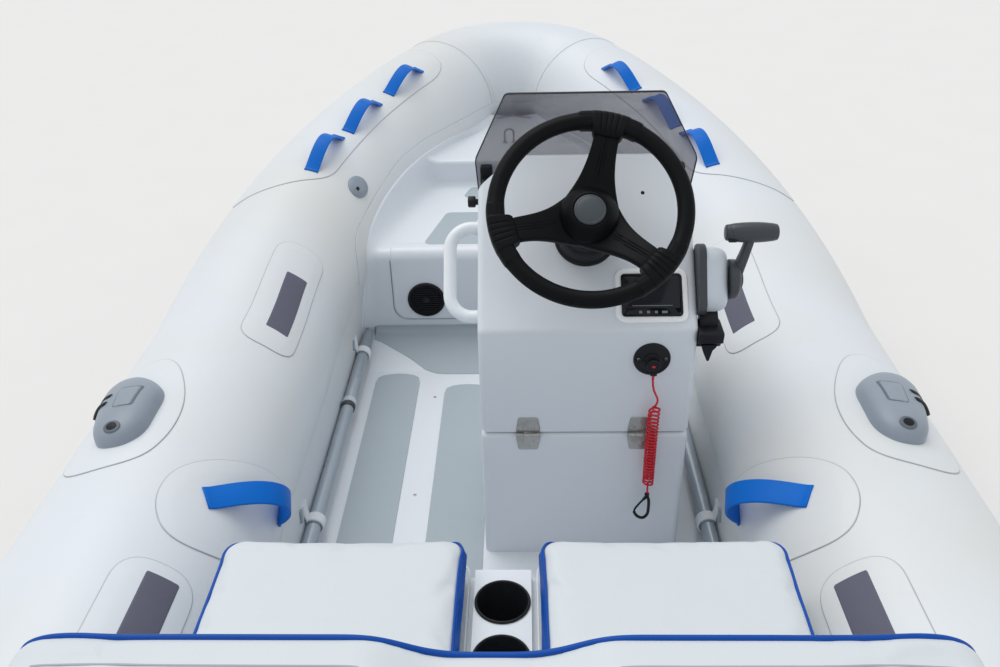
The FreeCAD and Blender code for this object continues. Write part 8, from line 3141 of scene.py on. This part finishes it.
    def leg(self) -> None:
        """Leg, plates, gearcase and skeg, with the steering pin and its mounts."""
        rows = np.array([
            (0.0300, -0.2330, 0.0900, 0.0660, 2.8), (0.0180, -0.2340, 0.0760, 0.0580, 2.7),
            (0.0000, -0.2345, 0.0640, 0.0520, 2.6), (-0.0600, -0.2330, 0.0590, 0.0480, 2.5),
            (-0.1200, -0.2300, 0.0575, 0.0450, 2.4), (-0.2200, -0.2270, 0.0540, 0.0390, 2.3),
            (-0.3300, -0.2250, 0.0520, 0.0330, 2.2), (-0.4200, -0.2250, 0.0540, 0.0270, 2.1),
            (-0.5000, -0.2255, 0.0580, 0.0220, 2.0), (-0.5400, -0.2270, 0.0620, 0.0200, 2.0),
            (-0.6000, -0.2420, 0.0660, 0.0160, 1.9), (-0.6450, -0.2560, 0.0740, 0.0150, 1.9),
            (-0.6800, -0.2600, 0.0760, 0.0140, 1.9)])
        parts = [self.rings(self.filled(rows, 4))]
        plates = ((-0.5445, 0.150, 0.0735, -0.2800), (-0.4900, 0.072, 0.040, -0.2440))
        for high, half_x, half_y, mid in plates:
            flat = np.array([(high - 0.0045, mid, half_x - 0.004, half_y - 0.004, 2.6),
                             (high - 0.0020, mid, half_x, half_y, 2.6),
                             (high + 0.0020, mid, half_x, half_y, 2.6),
                             (high + 0.0045, mid, half_x - 0.004, half_y - 0.004, 2.6)])
            parts.append(self.rings(flat))
        base = np.array([self.gear, 0.0, self.pin_z - self.drop])
        gear = mm(0, -2, 30, -2, 33.5, 4, 35.2, 30, 36, 75, 36, 130, 34.5, 170, 31.5, 200, 26.5,
                  226, 19.5, 245, 11, 257, 0, 261)
        parts.append(spun(gear, base, X_DIR, Y_DIR, 56))
        z = np.linspace(self.pin_z - self.drop - 0.020, self.pin_z - self.drop - 0.118, 14)
        share = np.linspace(0, 1, 14)
        front = -0.175 - 0.062 * share ** 1.3
        back = -0.315 + 0.030 * share
        turn = full_turn(48)
        mid, half = (front + back) / 2, (front - back) / 2
        thick = 0.0065 * (1 - 0.75 * share)
        thick[-1] = 0.0008
        rings = np.stack([mid[:, None] + half[:, None] * np.cos(turn),
                          thick[:, None] * np.sin(turn), z[:, None] + 0 * turn], axis=-1)
        parts.append(skin_of(rings))
        parts += [
            self.rod((self.gear + 0.004, 0, base[2]), (self.gear - 0.058, 0, base[2]), 0.008),
            self.rod((self.steer, 0, self.pin_z - 0.250), (self.steer, 0, self.pin_z), 0.0118),
            *(self.rod((self.steer, 0, self.pin_z + low), (self.steer, 0, self.pin_z + top), 0.026)
              for low, top in ((-0.020, 0.010), (-0.252, -0.228))),
            self.slab((0.042, 0.027, 0.014), (-0.172, 0.0, self.pin_z - 0.006), 0.010, 0.004),
            self.slab((0.040, 0.023, 0.011), (-0.165, 0.0, self.pin_z - 0.240), 0.009, 0.003)]
        piece("motor_leg", self.carried(parts), MOTOR_PAINT, "engine_leg", body="engine",
              crease=50)
        anode = [self.slab((0.020, 0.0095, 0.006), (-0.372, 0.0, self.pin_z - 0.5530),
                           0.005, 0.002)]
        for row in np.linspace(-0.600, -0.640, 5):
            for side in Side:
                path = np.array([(-0.195, side * 0.0118, self.pin_z + row),
                                 (-0.225, side * 0.0158, self.pin_z + row),
                                 (-0.250, side * 0.0162, self.pin_z + row)])
                anode.append(band_along(path, Z_DIR, 0.0030, 0.0030))
        piece("motor_anode", self.carried(anode), SCREW_STEEL, body="engine", crease=45)

    def swivel(self) -> None:
        """Tilt tube, steering barrel, arms and a lock lever."""
        tube = mm(12.2, -80, 22, -80, 24, -78, 24, 78, 22, 80, 12.2, 80)
        turn = full_turn(48)
        ring = np.stack([self.pin_x + tube[:, :1] * np.cos(turn), tube[:, 1:] + 0 * turn,
                         self.pin_z + tube[:, :1] * np.sin(turn)], axis=-1)
        parts = [loop_skin(ring)]
        barrel = mm(12.2, -225, 28, -225, 30, -223, 30, -205, 27, -200, 27, -50, 30, -45, 30, -27,
                    28, -25, 12.2, -25)
        ring = np.stack([self.steer + barrel[:, :1] * np.cos(turn), barrel[:, :1] * np.sin(turn),
                         self.pin_z + barrel[:, 1:] + 0 * turn], axis=-1)
        parts.append(loop_skin(ring))
        for side in Side:
            web = [(self.pin_x - 0.018, self.pin_z - 0.004), (self.pin_x - 0.018,
                   self.pin_z - 0.036), (-0.070, self.pin_z - 0.120), (-0.104,
                   self.pin_z - 0.190), (-0.112, self.pin_z - 0.190), (-0.112,
                   self.pin_z - 0.032), (-0.080, self.pin_z - 0.018)]
            parts.append(prism(rounded_polygon(web, [0.006] * 7, 5), [
                (share, side * y) for share, y in (
                    (0.3, 0.030), (0.96, 0.030), (1.0, 0.032), (1.0, 0.040), (0.96, 0.042),
                    (0.3, 0.042))], 1))
        parts += [
            self.slab((0.026, 0.041, 0.017), (-0.088, 0.0, self.pin_z - 0.048), 0.008, 0.004),
            self.slab((0.022, 0.029, 0.060), (-0.100, 0.0, self.pin_z - 0.112), 0.008, 0.004),
            self.slab((0.014, 0.068, 0.012), (-0.046, 0.0, self.pin_z - 0.024), 0.005, 0.003)]
        piece("swivel_casting", self.carried(parts), MOTOR_PAINT, "swivel_bracket", body="swivel",
              crease=50)

    def clamp(self) -> None:
        """Two clamp brackets with ribs, the tilt pin with its nuts, and the clamp screws."""
        top, thick = 0.500, 0.045
        outline = [(-0.001, top - 0.128), (-0.001, top + 0.001), (thick + 0.001, top + 0.001),
                   (thick + 0.001, top - 0.070), (thick + 0.024, top - 0.070),
                   (thick + 0.024, top + 0.014), (0.018, top + 0.028), (-0.014, top + 0.056),
                   (-0.044, top + 0.056), (-0.058, top + 0.036), (-0.052, top - 0.020),
                   (-0.024, top - 0.128)]
        radii = [0.003, 0.0008, 0.0008, 0.006, 0.008, 0.014, 0.022, 0.014, 0.014, 0.014, 0.02,
                 0.006]
        line = rounded_polygon(outline, radii, 6)
        parts, screws, knobs = [], [], []
        for y in (0.084, -0.102):
            parts.append(skin_of([lay(self.drawn_in(line, inset), 1, y + off)
                                  for inset, off in mm(4, 0, 1, 0, 0, 1, 0, 17, 1, 18, 4, 18)]))
            mid = y + 0.009
            parts.append(self.rod((thick + 0.012, mid, top - 0.040),
                                  (thick + 0.0265, mid, top - 0.040), 0.0125))
            screws.append(self.rod((thick + 0.002, mid, top - 0.040),
                                   (thick + 0.031, mid, top - 0.040), 0.0055))
            pad = mm(0, 0, 15, 0, 15.5, 1.2, 12, 4, 0, 4.2)
            screws.append(spun(pad, (thick + 0.0006, mid, top - 0.040), X_DIR, Y_DIR, 32))
            knobs.append(self.rod((thick + 0.0285, mid - 0.026, top - 0.046),
                                  (thick + 0.0285, mid + 0.026, top - 0.034), 0.0042))
        piece("clamp_castings", parts, MOTOR_PAINT, "clamp_bracket", crease=45)
        pin = self.rod((self.pin_x, -0.112, self.pin_z), (self.pin_x, 0.112, self.pin_z), 0.0119)
        for y in (0.102, -0.112):
            turn = full_turn(6)
            rings = [np.stack([self.pin_x + r * np.cos(turn), np.full(6, y + off),
                               self.pin_z + r * np.sin(turn)], axis=-1)
                     for r, off in ((0.016, 0.0), (0.0185, 0.001), (0.0185, 0.009),
                                    (0.016, 0.010))]
            screws.append(skin_of(rings))
        piece("clamp_screws", [pin, *screws, *knobs], SCREW_STEEL, crease=40)

    def propeller(self) -> None:
        """Hub, three twisted blades with a swept leading edge, and the nut."""
        x, z = self.gear, self.pin_z - self.drop
        hub = mm(9, -90, 18, -90, 21.5, -86, 26.2, -70, 29, -30, 30.5, -8, 29.5, -5, 9, -5)
        turn = full_turn(60)
        ring = np.stack([x + hub[:, 1:] + 0 * turn, hub[:, :1] * np.cos(turn),
                         z + hub[:, :1] * np.sin(turn)], axis=-1)
        parts = [loop_skin(ring)]
        share = np.linspace(0, 1, 26)
        radius = 0.024 + (0.1185 - 0.024) * share
        chord = 0.060 + 0.046 * np.sin(math.pi * np.minimum(share * 0.85, 1.0)) ** 0.9
        chord *= np.sqrt(np.maximum(1 - share ** 7, 0.003))
        pitch = np.arctan2(0.070, 2.2 * radius + 0.02)
        sweep = 0.32 * share ** 2
        thick = 0.0062 * (1 - 0.72 * share)
        section = full_turn(36)
        along = np.cos(section)[None] * chord[:, None] / 2
        across = np.sin(section)[None] * thick[:, None] / 2 * (1 + 0.3 * np.cos(section)[None])
        axial = -0.046 + along * np.sin(pitch)[:, None] + across * np.cos(pitch)[:, None]
        swing = (along * np.cos(pitch)[:, None] - across * np.sin(pitch)[:, None]) \
            / radius[:, None] + sweep[:, None]
        for number in range(3):
            a = swing + number * 2 * math.pi / 3
            rings = np.stack([x + axial, radius[:, None] * np.sin(a),
                              z + radius[:, None] * np.cos(a)], axis=-1)
            parts.append(skin_of(rings))
        piece("propeller_blades", self.carried(parts), PROP, "propeller", body="prop", crease=50)
        nut = [self.rod((x - 0.100, 0, z), (x - 0.088, 0, z), 0.0105, 0.002)]
        piece("propeller_nut", self.carried(nut), SCREW_STEEL, body="prop", crease=40)

    def build(self) -> None:
        """The whole motor."""
        self.cowl()
        self.leg()
        self.swivel()
        self.clamp()
        self.propeller()


def dress_nodes() -> None:
    """Give every CAD node its finish."""
    for finish, names in NODE_FINISHES.items():
        for name in names.split():
            NODES[name].data.materials.clear()
            NODES[name].data.materials.append(finish.material())


def write_sizes() -> None:
    """Write the CAD box and the visual model's box."""
    low, high = BOX_AT_LOAD
    now_low, now_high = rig.bounds()
    with open("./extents.json", "w") as handle:
        json.dump({"cad": [list(low), list(high)], "visual": [list(now_low), list(now_high)]},
                  handle)


def main() -> None:
    """Build everything in order."""
    Studio().build()
    dress_nodes()
    Tubes().build()
    TubeFittings().build()
    BowLocker().build()
    Footwell().build()
    for side in Side:
        Oar(side).build()
    for side in Side:
        Cushion(side).build()
    Backrest().build()
    CupRings().build()
    Console().build()
    ConsoleFittings().build()
    Helm().build()
    Throttle().build()
    Lanyard().build()
    Motor().build()
    write_sizes()


if __name__ == "__main__":
    main()
